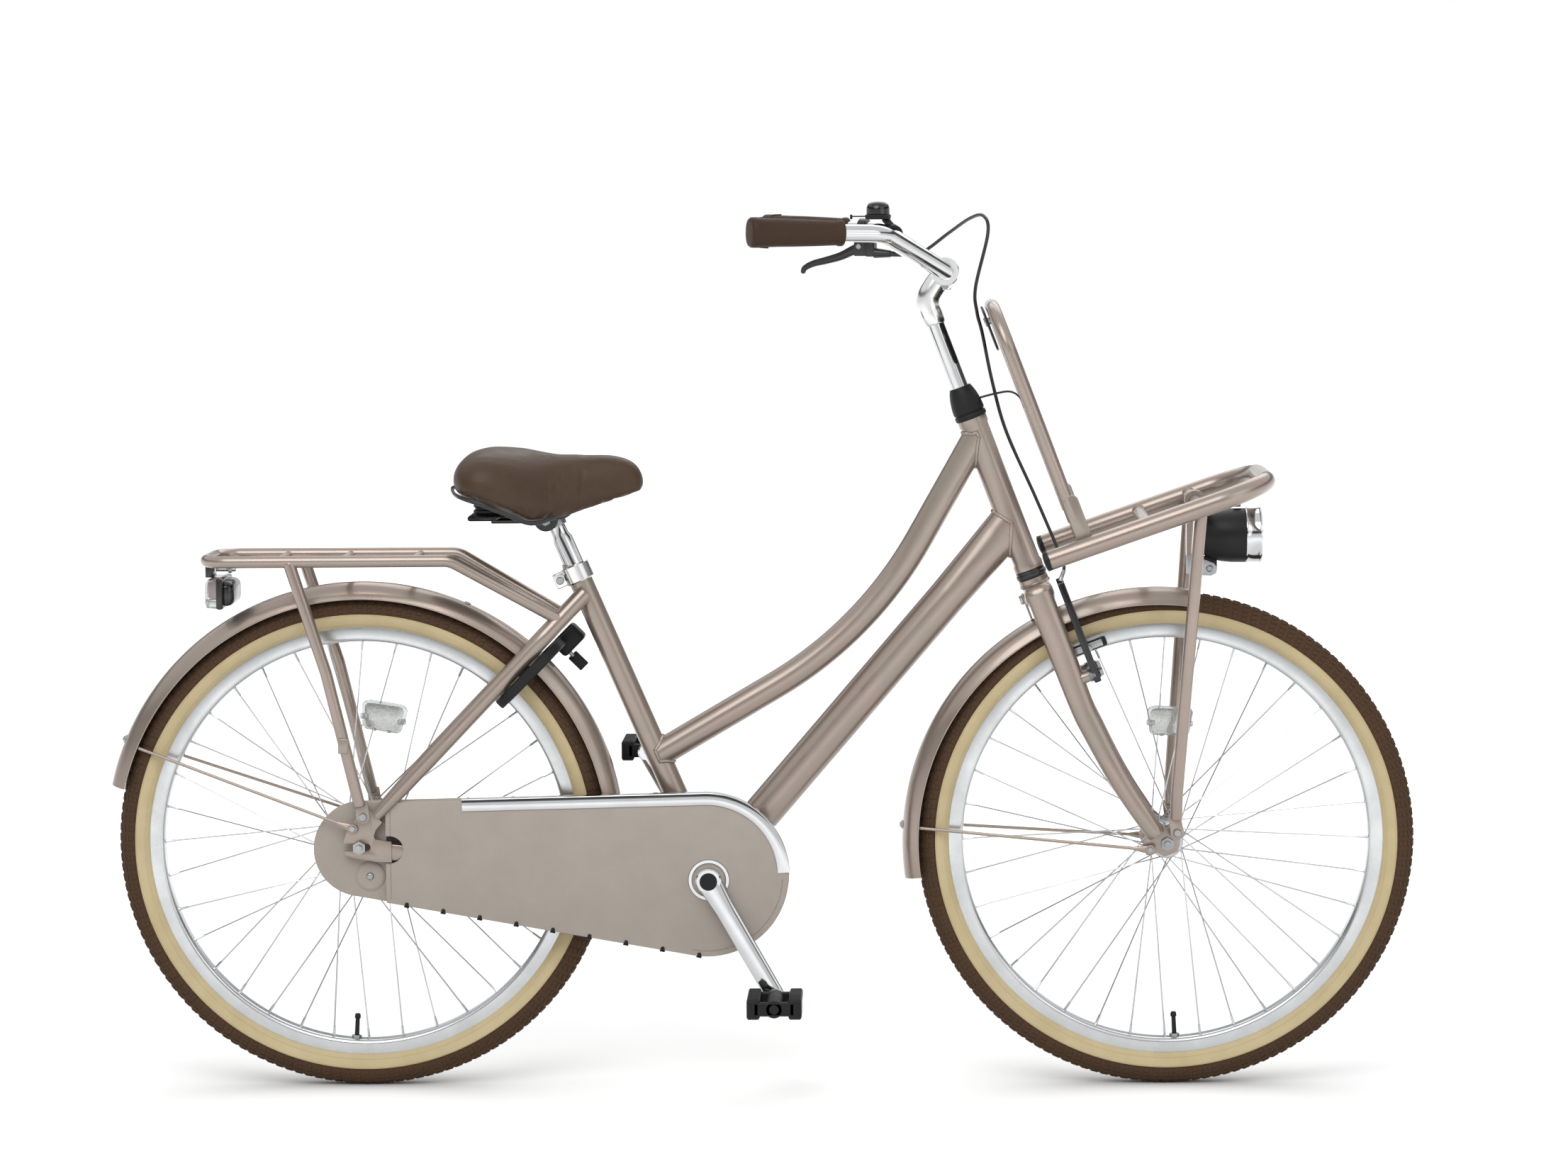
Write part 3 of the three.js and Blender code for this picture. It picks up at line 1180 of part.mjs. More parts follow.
const barTail = barKnee.distanceTo(barEnd);
const gripStart = 1 - gripLength / barTail;
function grip(side) {
  const outer = rod(onBar(gripStart, side), onBar(1 + gripWall / barTail, side), gripFrontDiameter, gripRearDiameter, 14);
  const bore = rod(onBar(0, side), onBar(1 + runningGap / barTail, side), barBore, barBore);
  return cutBy(outer, bore);
}
piece('right_grip', grip(right), brownRubber(), steering);
piece('left_grip', grip(left), brownRubber(), steering);

// Seat clamp, seat post and saddle

const clampFrom = 424;
const clampTo = 447;
const clampSleeveDiameter = 39;
const clampEarSize = at(16, 16, 20);
const clampEarBack = 24;
const clampSlit = 2;
const postDiameter = 27.2;
const postFoot = 190;
const postTop = 488;

function seatClamp() {
  const sleeveRing = sleeve(onSeatTube(clampFrom), onSeatTube(clampTo), clampSleeveDiameter,
    seatTubeDiameter + 2 * runningGap);
  const middle = onSeatTube((clampFrom + clampTo) / 2, -clampEarBack);
  const ears = block(middle, clampEarSize);
  const slit = block(middle, at(clampEarSize.x * 2, clampSlit, clampEarSize.z * 2));
  const bolt = crossRod(middle.x, middle.z, -clampEarSize.y, clampEarSize.y, postDiameter / 4, 6);
  return joined(cutBy(joined(sleeveRing, ears), slit, seatTubeCore(runningGap)), bolt);
}
piece('seat_clamp', seatClamp(), alloy());

// The post narrows to the pin that the saddle's clamp grips
const pinDiameter = 22;
const pinShoulder = 14;
const pinTop = 520;
const clampBelowTop = 4.2;
const clampBehind = 7.6;
const clampCentre = onSeatTube(pinTop - clampBelowTop, -clampBehind);
const postRingDiameter = 29;
const tiltPinDiameter = 8;
const tiltPinSides = 6;
const tiltPinHalf = 34;
const tiltNutDiameter = 15;
const tiltNutThickness = 5;
function seatPost() {
  const post = rod(onSeatTube(postFoot), onSeatTube(postTop), postDiameter);
  const shoulder = rod(onSeatTube(postTop), onSeatTube(postTop + pinShoulder), postDiameter, pinDiameter);
  const pin = rod(onSeatTube(postTop + pinShoulder), onSeatTube(pinTop), pinDiameter);
  const ring = rod(onSeatTube(postTop + pinShoulder), onSeatTube(pinTop), postRingDiameter, postRingDiameter, 8);
  const axle = crossRod(clampCentre.x, clampCentre.z, -tiltPinHalf, tiltPinHalf, tiltPinDiameter, tiltPinSides);
  const nuts = [right, left].map((side) => crossRod(clampCentre.x, clampCentre.z,
    ...[side * tiltPinHalf, side * (tiltPinHalf - tiltNutThickness)].sort((p, q) => p - q), tiltNutDiameter, 6));
  return joined(post, shoulder, pin, ring, axle, ...nuts);
}
piece('seatpost', seatPost(), chrome());

// Saddle stations from tail to nose, from the clamp: [forward, half width, top, bottom of the skirt]
const saddleShape = [
  [-122, 55, 61, 45], [-116, 79, 74, 40], [-101, 99, 87, 35], [-77, 107, 94, 27], [-47, 102, 92, 14], [-15, 82, 86, 0],
  [15, 59, 81, 6], [49, 42, 81, 18], [83, 32, 84, 28], [107, 27, 80, 33], [122, 20, 70, 36], [130, 10, 56, 40],
];
const saddleStations = saddleShape.map(([x, half, top, bottom]) =>
  [clampCentre.x + x, half, clampCentre.z + top, clampCentre.z + bottom]);
const skirtWall = 9;
const shellInset = 8;
const shellThickness = 5;
// The shell's plan: the stations drawn in by the skirt's wall
const shellPlan = (gap) => {
  const inner = saddleStations.slice(1, -1).map(([x, half]) => [x, half - skirtWall - gap]);
  inner[0][0] += shellInset + gap;
  inner.at(-1)[0] -= shellInset / 2 + gap;
  return [...inner, ...inner.map(([x, half]) => [x, -half]).reverse()];
};
const shellRise = 38;
const shellHeight = clampCentre.z + shellRise;
const railSide = 22;
const railDiameter = 7.5;
const railLength = 176;
const railTailBack = 71;
const railTail = clampCentre.x - railTailBack;
// The rail's route, as shares of its length from the tail and of the shell's height over the clamp
const railRouteShares = [[1, 0.974], [0.903, 0.71], [0.773, 0.263], [0.273, 0], [0, 0]];
const railRoute = railRouteShares.map(([x, z]) => [railTail + x * railLength, clampCentre.z + z * shellRise]);
const railFrontSide = 8;
const springBehindClamp = 75;
const springSide = 45;
const springFootRise = 5.5;
const springSize = at(46, 36, shellRise - springFootRise + shellThickness / 2);
const springAt = at(clampCentre.x - springBehindClamp, springSide, clampCentre.z + springFootRise + springSize.z / 2);
const springBarWidth = 22;
const earSize = at(26, tiltPinHalf - tiltNutThickness - runningGap - railSide + railDiameter, 20);

// A bore that clears the pin's own facets
const pinBoreDiameter = (tiltPinDiameter + 2 * runningGap) / Math.cos(Math.PI / tiltPinSides);

function saddleBase() {
  const shell = slab(shellPlan(runningGap), shellHeight, shellHeight + shellThickness);
  const rails = [right, left].map((side) => tube(bent(railRoute.map(([x, z], i) =>
    at(x, side * (i < 2 ? railFrontSide : railSide), z)), railDiameter * 2, quarterTurn / 2), railDiameter, 5));
  const springs = [right, left].map((side) => block(at(springAt.x, side * springAt.y, springAt.z), springSize));
  const bar = block(at(springAt.x, 0, springAt.z - springSize.z / 2),
    at(springBarWidth, 2 * springAt.y, shellThickness));
  const earMiddle = tiltPinHalf - tiltNutThickness - runningGap - earSize.y / 2;
  const ears = [right, left].map((side) => block(at(clampCentre.x, side * earMiddle, clampCentre.z), earSize));
  const pinBore = crossRod(clampCentre.x, clampCentre.z, -tiltPinHalf, tiltPinHalf, pinBoreDiameter, tiltPinSides);
  return cutBy(joined(shell, ...rails, ...springs, bar, ...ears), pinBore);
}
piece('saddle_base', saddleBase(), blackMetal());

// The padded cover: a crowned top that draws in to a skirt round the shell
const crownShares = [[1, 0], [1.02, 0.3], [0.93, 0.66], [0.7, 0.88], [0.36, 0.98], [0, 1]];
function saddleCushion() {
  const whole = loft(saddleStations.map(([x, half, top, bottom]) => {
    const side = crownShares.map(([across, up]) => [across * half, bottom + up * (top - bottom)]);
    const ring = [...side, ...side.slice(0, -1).map(([y, z]) => [-y, z]).reverse()];
    return ring.map(([y, z]) => at(x, y, z));
  }));
  return cutBy(whole, slab(shellPlan(0), 0, shellHeight + shellThickness + runningGap));
}
piece('saddle_cushion', saddleCushion(), brownCover());

// Rear carrier

const railAboveTyre = 50;
const railHeight = 2 * wheelRadius + railAboveTyre;
const railRear = -199;
const railFront = 124;
const railRearSide = 65;
const railFrontBendSide = 62;
const carrierTube = 16;
const carrierBend = 32;
const carrierRodForward = [-104, -20, 73];
const carrierRodDiameter = 9;
const carrierFootDrop = 79;
const carrierFoot = at(262, 37.5, railHeight - carrierFootDrop);
const carrierBoltDiameter = 10;
const legBoltRise = 40.5;
const legFootRise = 57.5;
const legTopDrop = 3;
const legBendDrop = 146;
const carrierLeg = [at(-86, 65, railHeight - legTopDrop), at(-40, 67, railHeight - legBendDrop),
  at(1, 69, wheelRadius + legFootRise)];
const legBolt = at(5.4, 0, wheelRadius + legBoltRise);
const legEyeDiameter = 18;
const legEyeThickness = 4;
const legBoltHead = 5;
const hookSize = at(14, 5, 20);
const hookRise = 135.5;
const hookHeight = wheelRadius + hookRise;
const carrierStep = THREE.MathUtils.degToRad(45);

function rearCarrier() {
  const side = (way) => [at(carrierFoot.x, way * carrierFoot.y, carrierFoot.z), at(railFront, way * railFrontBendSide, railHeight),
    at(railRear, way * railRearSide, railHeight)];
  const rails = tube(bent([...side(right), ...side(left).reverse()], carrierBend, carrierStep), carrierTube, 6);
  const rods = carrierRodForward.map((x) => crossRod(x, railHeight, -railFrontBendSide, railFrontBendSide,
    carrierRodDiameter, 5));
  const eyeInner = rearSpacing / 2 + dropoutPlate + runningGap;
  const legs = [right, left].flatMap((way) => {
    const points = carrierLeg.map((p) => at(p.x, way * p.y, p.z));
    const [from, to] = [way * eyeInner, way * (eyeInner + legEyeThickness)].sort((a, b) => a - b);
    const half = legEyeDiameter / 2;
    const foot = points.at(-1);
    const eye = plate([[foot.x - half, foot.z + half], ...arc(legBolt.x, legBolt.z, half, Math.PI, fullTurn, 6),
      [foot.x + half, foot.z + half]], from, to);
    const [head, headEnd] = [way * eyeInner, way * (eyeInner + legEyeThickness + legBoltHead)].sort((a, b) => a - b);
    const hookX = points[1].x + (foot.x - points[1].x) * (points[1].z - hookHeight) / (points[1].z - foot.z);
    return [tube(points, carrierTube, 6), eye, crossRod(legBolt.x, legBolt.z, head, headEnd, legEyeDiameter * 2 / 3, 6),
      block(at(hookX, way * (foot.y + carrierTube / 2), hookHeight), hookSize)];
  });
  const stays = [right, left].map((way) => tube([onSeatStay(seatStayKneeShare / 2, way * seatStaySideAt(seatStayKneeShare / 2)),
    onSeatStay(seatStayKneeShare, way * seatStayKneeSide), onSeatStay(1, way * seatStayTopSide)],
    seatStayDiameter + 2 * weldGap, 10));
  return cutBy(joined(rails, ...rods, ...legs), ...stays);
}
piece('rear_rack', rearCarrier(), paint());

const lightDrop = 23;
const lightSize = at(40, 92, 42);
const lightBehindRail = 3;
const lightFrom = at(railRear - lightBehindRail, -lightSize.y / 2, railHeight - lightDrop - lightSize.z);
const lightTo = lightFrom.clone().add(lightSize);
const lightBevelShare = 0.25;
const lightTabWidth = 30;
const lightTabLength = 12;
function rearLight() {
  const bevel = lightBevelShare * (lightTo.z - lightFrom.z);
  const body = plate([[lightFrom.x, lightFrom.z + bevel], [lightFrom.x + bevel / 2, lightFrom.z], [lightTo.x - bevel, lightFrom.z],
    [lightTo.x, lightFrom.z + bevel], [lightTo.x, lightTo.z - bevel], [lightTo.x - bevel, lightTo.z],
    [lightFrom.x + bevel / 2, lightTo.z], [lightFrom.x, lightTo.z - bevel]], lightFrom.y, lightTo.y);
  const top = railHeight - carrierTube / 2 - runningGap;
  const tab = block(at(railRear, 0, (top + lightTo.z - bevel) / 2), at(lightTabLength, lightTabWidth, top - lightTo.z + bevel));
  return joined(body, tab);
}
piece('rear_light', rearLight(), blackPlastic());

// Ring lock, in its own frame: x out along the wheel's radius, y to the left, z up square to the ring

const lockTurn = THREE.MathUtils.degToRad(45.1);
const lockRadius = 312;
const lockInner = 45;
const lockOuter = 63;
const lockHalf = 7.2;
const lockOpening = THREE.MathUtils.degToRad(30);
const lockBlock = at(40, 32, 27);
const lockBlockRadius = 377;
const lockBlockSide = 40;
const bowRadius = 54;
const bowDiameter = 8;
const bowGap = 0.6;
const bowFrom = THREE.MathUtils.degToRad(52);
const bowTo = THREE.MathUtils.degToRad(148);
const bowTravel = THREE.MathUtils.degToRad(80);
const bowSocket = THREE.MathUtils.degToRad(22);
const slotSlack = THREE.MathUtils.degToRad(5);
const knobTurn = THREE.MathUtils.degToRad(64);
const knobSlack = THREE.MathUtils.degToRad(6);
const knobDiameter = 9;
const knobLength = 14;
const keyRadius = 366;
const keySide = 34;
const keyShank = 6;
const keyDepth = 10;
const keyHead = at(15, 3.5, 24);

const lockAlong = at(Math.cos(lockTurn), 0, Math.sin(lockTurn));
const lockUp = at(-Math.sin(lockTurn), 0, Math.cos(lockTurn));
const lockFrame = new THREE.Matrix4().makeBasis(lockAlong, at(0, 1, 0), lockUp).setPosition(rearAxle);
const inLock = (whole) => whole.transform(lockFrame.elements);
// Turns are measured from the wheel's middle toward the bicycle's left, so the ring opens at half a turn
const ringPoint = (radius, turn) => [lockRadius + radius * Math.cos(turn), radius * Math.sin(turn)];
const ringArc = (radius, from, to, count) =>
  Array.from({ length: count + 1 }, (_, i) => ringPoint(radius, from + (to - from) * i / count));
const ringTube = (from, to, diameter, count) => tube(ringArc(bowRadius, from, to, count).map(([x, y]) => at(x, y, 0)), diameter, 6);
const blockFace = lockHalf - lockBlock.z;

function lockHousing() {
  const end = Math.PI - lockOpening;
  const ring = slab([...ringArc(lockOuter, -end, end, 12), ...ringArc(lockInner, end, -end, 12)], -lockHalf, lockHalf);
  const body = block(at(lockBlockRadius, lockBlockSide, lockHalf - lockBlock.z / 2), lockBlock);
  const tunnel = ringTube(bowFrom - slotSlack, end + slotSlack, bowDiameter + 2 * bowGap, 7);
  const socket = ringTube(-end - slotSlack, bowSocket - end, bowDiameter + 2 * bowGap, 2);
  const slotReach = lockOuter * 2;
  const [slotFrom, slotTo] = [knobTurn - knobSlack, end + slotSlack];
  const knobWay = slab([...ringArc(bowRadius, slotTo, slotFrom, 6), ...ringArc(slotReach, slotFrom, slotTo, 6)],
    -knobDiameter / 2 - bowGap, knobDiameter / 2 + bowGap);
  const keyBore = rod(at(keyRadius, keySide, blockFace - cutOverrun), at(keyRadius, keySide, blockFace + keyDepth + bowGap),
    keyShank + 2 * bowGap, keyShank + 2 * bowGap, 8);
  return inLock(cutBy(joined(ring, body), tunnel, socket, knobWay, keyBore));
}
piece('ring_lock_housing', lockHousing(), blackPlastic());

const knobPoint = (radius) => {
  const [x, y] = ringPoint(radius, knobTurn);
  return at(x, y, 0);
};
piece('lock_bow', inLock(joined(ringTube(bowFrom, bowTo, bowDiameter, 7),
  rod(knobPoint(bowRadius), knobPoint(lockOuter + knobLength), knobDiameter, knobDiameter, 8))), steel());
piece('lock_key', inLock(joined(
  rod(at(keyRadius, keySide, blockFace - keyShank), at(keyRadius, keySide, blockFace + keyDepth), keyShank, keyShank, 8),
  block(at(keyRadius, keySide, blockFace - keyShank / 2 - keyHead.z / 2), keyHead))), steel());

// Front carrier and backrest, drawn in the steering's frame

const frontRailDiameter = 25.4;
const frontRailSide = 132;
const frontRailRear = at(24, frontRailSide, 409);
const frontRailFront = at(326, frontRailSide, 400);
const frontRailBend = 70;
const crossBarAhead = [163.5, 234];
const crossBarDiameter = 16;
const frontLegTop = at(234, 122, 400);
const frontLegKnee = at(74, 74, 58);
const frontLegFoot = at(63, 69, 30);
const frontLegBolt = at(57, 69, 11);
const backrestPlate = [[71, 398], [91, 398], [91, 470], [85, 477], [77, 477], [71, 470]];
const backrestPlateThickness = 5;
const frontRailInner = frontRailSide - frontRailDiameter / 2;

function frontCarrier() {
  const side = (way) => [frontRailRear, frontRailFront].map((p) => at(p.x, way * p.y, p.z));
  const rails = tube(bent([...side(right), ...side(left).reverse()], frontRailBend, carrierStep), frontRailDiameter, 8);
  const bars = crossBarAhead.map((ahead) => {
    const share = (ahead - frontRailRear.x) / (frontRailFront.x - frontRailRear.x);
    const height = frontRailRear.z + share * (frontRailFront.z - frontRailRear.z);
    return crossRod(ahead, height, -frontRailSide, frontRailSide, crossBarDiameter, 6);
  });
  const legs = [right, left].flatMap((way) => {
    const points = [frontLegTop, frontLegKnee, frontLegFoot].map((p) => at(p.x, way * p.y, p.z));
    const half = legEyeDiameter / 2;
    const inner = frontLegBolt.y - legEyeThickness / 2;
    const [from, to] = [way * inner, way * (inner + legEyeThickness)].sort((a, b) => a - b);
    const eye = plate([[frontLegFoot.x - half, frontLegFoot.z + half],
      ...arc(frontLegBolt.x, frontLegBolt.z, half, Math.PI, fullTurn, 6), [frontLegFoot.x + half, frontLegFoot.z + half]], from, to);
    const [boltFrom, boltTo] = [way * (frontSpacing / 2 + forkEndPlate + runningGap), way * (inner + legEyeThickness + legBoltHead)]
      .sort((a, b) => a - b);
    return [tube(points, carrierTube, 6), eye, crossRod(frontLegBolt.x, frontLegBolt.z, boltFrom, boltTo, carrierBoltDiameter, 6)];
  });
  return inSteering(joined(rails, ...bars, ...legs));
}
piece('front_rack', frontCarrier(), paint(), steering);

const hoopDiameter = 18;
const hoopSide = 110;
const hoopFoot = 445;
const hoopTop = 735;
const hoopBend = 60;
const hoopBarAlong = 605;
const hoopAhead = 77;
const shieldFrom = 680;
const shieldTo = 740;
const shieldAhead = 64;
const shieldSheet = 3;
const shieldWidth = 150;
const shieldBolt = 6;
function backrest() {
  const post = (way) => [at(hoopAhead, way * hoopSide, hoopFoot), at(hoopAhead, way * hoopSide, hoopTop)];
  const hoop = tube(bent([...post(right), ...post(left).reverse()], hoopBend, carrierStep), hoopDiameter, 8);
  const bar = crossRod(hoopAhead, hoopBarAlong, -hoopSide, hoopSide, hoopDiameter * 2 / 3, 8);
  const plates = [right, left].flatMap((way) => {
    const outer = frontRailInner - runningGap;
    const [from, to] = [way * (outer - backrestPlateThickness), way * outer].sort((a, b) => a - b);
    return [plate(backrestPlate, from, to)];
  });
  const shield = block(at(shieldAhead, 0, (shieldFrom + shieldTo) / 2), at(shieldSheet, shieldWidth, shieldTo - shieldFrom));
  const studs = [right, left].map((way) => rod(at(shieldAhead, way * shieldWidth / 3, hoopTop),
    at(hoopAhead, way * shieldWidth / 3, hoopTop), shieldBolt, shieldBolt, 6));
  return inSteering(joined(hoop, bar, ...plates, shield, ...studs));
}
piece('front_rack_backrest', backrest(), paint(), steering);

// Strap from the headset to the backrest, a band of [ahead, along] points
const strapRoute = [[19.4, 630], [56, 624.5], [65, 618], [69.2, 608], [69.2, 597]];
const strapWidth = 16;
const strapSheet = 2.4;
const band = (width, sheet) => [[-width / 2, -sheet / 2], [width / 2, -sheet / 2], [width / 2, sheet / 2], [-width / 2, sheet / 2]];
piece('front_rack_strap', inSteering(swept(band(strapWidth, strapSheet), strapRoute.map(([n, s]) => at(n, 0, s)))),
  blackPlastic(), steering);

// Front brake: two arms on the fork's studs
const armOutline = [[34, 232], [49, 232], [50.5, 262], [51, 300], [47, 340], [43, 368], [35, 368], [38, 340], [41.5, 300],
  [36.5, 262]];
const armGap = 0.4;
const armFrom = studBaseTo + armGap;
const armTo = 36.5;
const padAt = at(35, 0, 275);
const padSize = at(52, 11, 13);
const padGap = 2.6;
const padPostDiameter = 7;
const facingAhead = new THREE.Matrix4().makeBasis(at(0, 1, 0), at(0, 0, 1), at(1, 0, 0));
function brakeArm(side) {
  const arm = slab(armOutline.map(([y, s]) => [side * y, s]), armFrom, armTo).transform(facingAhead.elements);
  const padMiddle = rimWidth / 2 + padGap + padSize.y / 2;
  const pad = block(at(padAt.x, side * padMiddle, padAt.z), padSize);
  const middle = (armFrom + armTo) / 2;
  const post = rod(at(middle, side * padMiddle, padAt.z), at(middle, side * bladeTopSide, padAt.z), padPostDiameter,
    padPostDiameter, 6);
  const bore = rod(at(studFrom, side * bladeTopSide, studAlong), at(studTo + cutOverrun, side * bladeTopSide, studAlong),
    studDiameter + 2 * runningGap, studDiameter + 2 * runningGap, 10);
  return inSteering(cutBy(joined(arm, pad, post), bore));
}
piece('brake_arm_left', brakeArm(left), blackMetal(), steering);
piece('brake_arm_right', brakeArm(right), blackMetal(), steering);

// Brake lever and its perch on the left bar, in the lever's own frame: x forward along the bar, y along the pivot
const leverFromKnee = at(-31.5, 11, -22);
const leverPivot = barKnee.clone().add(leverFromKnee);
const barWay = at(barKnee.x - barEnd.x, barKnee.y - barEnd.y, 0).normalize();
const leverAxis = at(0, 0, 1).cross(barWay).normalize();
const leverFrame = new THREE.Matrix4().makeBasis(barWay, leverAxis, at(0, 0, 1)).setPosition(leverPivot);
const perchShares = [0.13, 0.2];
const perchRing = 31;
const perchBody = [at(-6, -7.5, -14), at(22, 7.5, 10.5)];
const perchSlot = [at(-20, -4.4, -20), at(8, 4.4, 8)];
const leverPin = 6;
const barrelDiameter = 10;
const barrelStart = at(12, 0, -9);
const cableFromKnee = at(26, -9, -33);
const cableStart = barKnee.clone().add(cableFromKnee);
const leverHead = 12;
const leverWidth = 8;
const leverStations = [[at(0, 0, 0), 12, 8], [at(-42, 0, -17), 10, 11], [at(-70, 0, -30), 11, 12], [at(-84, 0, -34), 8, 9]];
const boxBetween = ([from, to]) => block(from.clone().add(to).multiplyScalar(1 / 2), to.clone().sub(from));
const inLever = (whole) => whole.transform(leverFrame.elements);

function leverPerch() {
  const ring = rod(onBar(perchShares[0]), onBar(perchShares[1]), perchRing);
  const bore = rod(onBar(perchShares[0] - perchShares[1]), onBar(2 * perchShares[1]), barBore, barBore);
  const body = inLever(cutBy(boxBetween(perchBody), boxBetween(perchSlot)));
  const pin = inLever(crossRod(0, 0, perchBody[0].y, perchBody[1].y, leverPin, 8));
  const start = barrelStart.clone().applyMatrix4(leverFrame);
  const end = cableStart.clone().lerp(start, 3 * runningGap / cableStart.distanceTo(start));
  return joined(cutBy(joined(ring, body), bore), pin, rod(start, end, barrelDiameter, barrelDiameter, 8));
}
piece('brake_lever_perch', leverPerch(), blackMetal(), steering);

function brakeLever() {
  const blade = ovalTube(leverStations, 8);
  const head = crossRod(0, 0, -leverWidth / 2, leverWidth / 2, leverHead, 10);
  const bore = crossRod(0, 0, -leverHead, leverHead, leverPin + 2 * runningGap, 8);
  return inLever(cutBy(joined(blade, head), bore));
}
piece('brake_lever', brakeLever(), blackMetal(), steering);

const cableDiameter = 4.6;
const cableSteps = 22;
const noodleEnd = onSteering(armOutline[5][1] + 6 * runningGap, (armFrom + armTo) / 2, -39);
const cableRoute = [cableStart, at(744, 206, 1097), at(778, 160, 1122), at(806, 95, 1142), at(823, 50, 1145),
  at(828, 26, 1122), at(811.5, 18, 1052.2), at(813.2, 16, 1019.7), at(820, 15, 992.1), at(833, 14, 928), at(851, 13, 863),
  at(888, 4, 779), at(916, -8, 713), at(925, -24, 689), noodleEnd];
piece('brake_cable', tube(new THREE.CatmullRomCurve3(cableRoute).getSpacedPoints(cableSteps), cableDiameter, 8),
  blackPlastic(), steering);

// Bell on the left bar
const bellFromKnee = at(-7, -17, 21);
const bellMiddle = barKnee.clone().add(bellFromKnee);
const bellRadius = 17.5;
const bellHeight = 18;
const bellWall = 1.6;
const bellPost = 7;
const bellBase = 3;
const bellBaseDrop = 3.4;
const bellClampAt = [21, 33];
const bellNeck = 10;
const bellLeverSheet = 2;
const bellLeverLength = 37;
const bellLeverWidth = 9;
const spun = (profile, steps) => solid(new THREE.LatheGeometry([...profile, profile[0]].map(([r, z]) =>
  new THREE.Vector2(r, z)), steps).rotateX(quarterTurn));
function bell() {
  const dome = (radius, height) => Array.from({ length: 3 }, (_, i) =>
    [radius * Math.cos(quarterTurn * i / 2), height * Math.sin(quarterTurn * i / 2)]);
  const shell = spun([...dome(bellRadius, bellHeight), ...dome(bellRadius - bellWall, bellHeight - bellWall).reverse()], 8)
    .translate([bellMiddle.x, bellMiddle.y, bellMiddle.z]);
  const clampTop = bellMiddle.z - bellBaseDrop;
  const post = rod(at(bellMiddle.x, bellMiddle.y, clampTop - bellBase), at(bellMiddle.x, bellMiddle.y,
    bellMiddle.z + bellHeight - bellWall / 2), bellPost, bellPost, 6);
  const base = rod(at(bellMiddle.x, bellMiddle.y, clampTop - bellBase), at(bellMiddle.x, bellMiddle.y, clampTop),
    2 * (bellRadius - bellWall), 2 * (bellRadius - bellWall), 8);
  const beforeKnee = at(barMiddle.x, barStraight, barMiddle.z).sub(barKnee).normalize();
  const onCross = (distance) => barKnee.clone().addScaledVector(beforeKnee, distance);
  const ring = rod(onCross(bellClampAt[0]), onCross(bellClampAt[1]), perchRing);
  const bore = rod(onCross(bellClampAt[0] - bellNeck / 2), onCross(bellClampAt[1] + bellNeck), barBore, barBore);
  const neckFoot = onCross((bellClampAt[0] + bellClampAt[1]) / 2).add(at(0, 0, handlebarDiameter / 2 + 2 * runningGap));
  const neck = rod(neckFoot, at(bellMiddle.x + bellNeck, bellMiddle.y, clampTop - bellBase / 2), bellNeck, bellNeck, 6);
  return joined(shell, post, base, cutBy(joined(ring, neck), bore));
}
piece('bell', bell(), blackPlastic(), steering);

const bellLeverTurn = THREE.MathUtils.degToRad(185);
function bellLever() {
  const way = at(Math.cos(bellLeverTurn), Math.sin(bellLeverTurn), 0);
  const side = at(-way.y, way.x, 0).multiplyScalar(bellLeverWidth / 2);
  const tip = way.clone().multiplyScalar(bellLeverLength);
  const outline = [side.clone(), tip.clone().add(side), tip.clone().sub(side), side.clone().negate()].map((p) =>
    [bellMiddle.x + p.x, bellMiddle.y + p.y]);
  const floor = bellMiddle.z - bellBaseDrop + runningGap;
  const ring = rod(at(bellMiddle.x, bellMiddle.y, floor), at(bellMiddle.x, bellMiddle.y, floor + bellLeverSheet),
    bellPost * 2, bellPost * 2, 10);
  const bore = rod(at(bellMiddle.x, bellMiddle.y, floor - bellPost), at(bellMiddle.x, bellMiddle.y, floor + bellPost),
    bellPost + 2 * runningGap, bellPost + 2 * runningGap, 8);
  const tab = block(at(bellMiddle.x, bellMiddle.y, floor).add(tip), at(bellWall * 2, bellLeverWidth, bellPost));
  return cutBy(joined(slab(outline, floor, floor + bellLeverSheet), ring, tab), bore);
}
piece('bell_lever', bellLever(), blackPlastic(), steering);

// Headlamp under the front carrier's second bar
const lampPivotFromAxle = at(58, 0, 356.5);
const lampFromPivot = at(34, 0, 43);
const lampPivot = frontAxle.clone().add(lampPivotFromAxle);
const lampMiddle = lampPivot.clone().add(lampFromPivot);
const lampLength = 86.4;
const lampRadius = 36.5;
// The barrel's profile, as shares of its radius and of its length from the middle
const lampProfileShares = [[0, -0.6065], [0.3836, -0.6065], [0.8219, -0.3935], [0.9589, -0.162], [0.9863, 0.1736],
  [1, 0.1852], [1, 0.3935], [0.9041, 0.3935], [0.9041, 0.3704], [0, 0.3704]];
const lampProfile = lampProfileShares.map(([r, x]) => [r * lampRadius, lampMiddle.x + x * lampLength]);
const lampLugWidth = 12;
const lampEarThickness = 3;
const lampEarHeight = 14;
const lampPin = 5;
const bracketBehindPivot = 30;
const bracketBack = lampPivot.x - bracketBehindPivot;
const bracketSheet = 3;
const bracketHalf = lampLugWidth / 2 + runningGap + lampEarThickness;
const buttonFromLamp = at(2, 0, 40.5);
const buttonAt = lampMiddle.clone().add(buttonFromLamp);
const buttonDiameter = 11;
const buttonLength = 7;
const buttonTravel = 2;
const crossBarPoint = () => {
  const share = (crossBarAhead[1] - frontRailRear.x) / (frontRailFront.x - frontRailRear.x);
  return onSteering(frontRailRear.z + share * (frontRailFront.z - frontRailRear.z), crossBarAhead[1]);
};

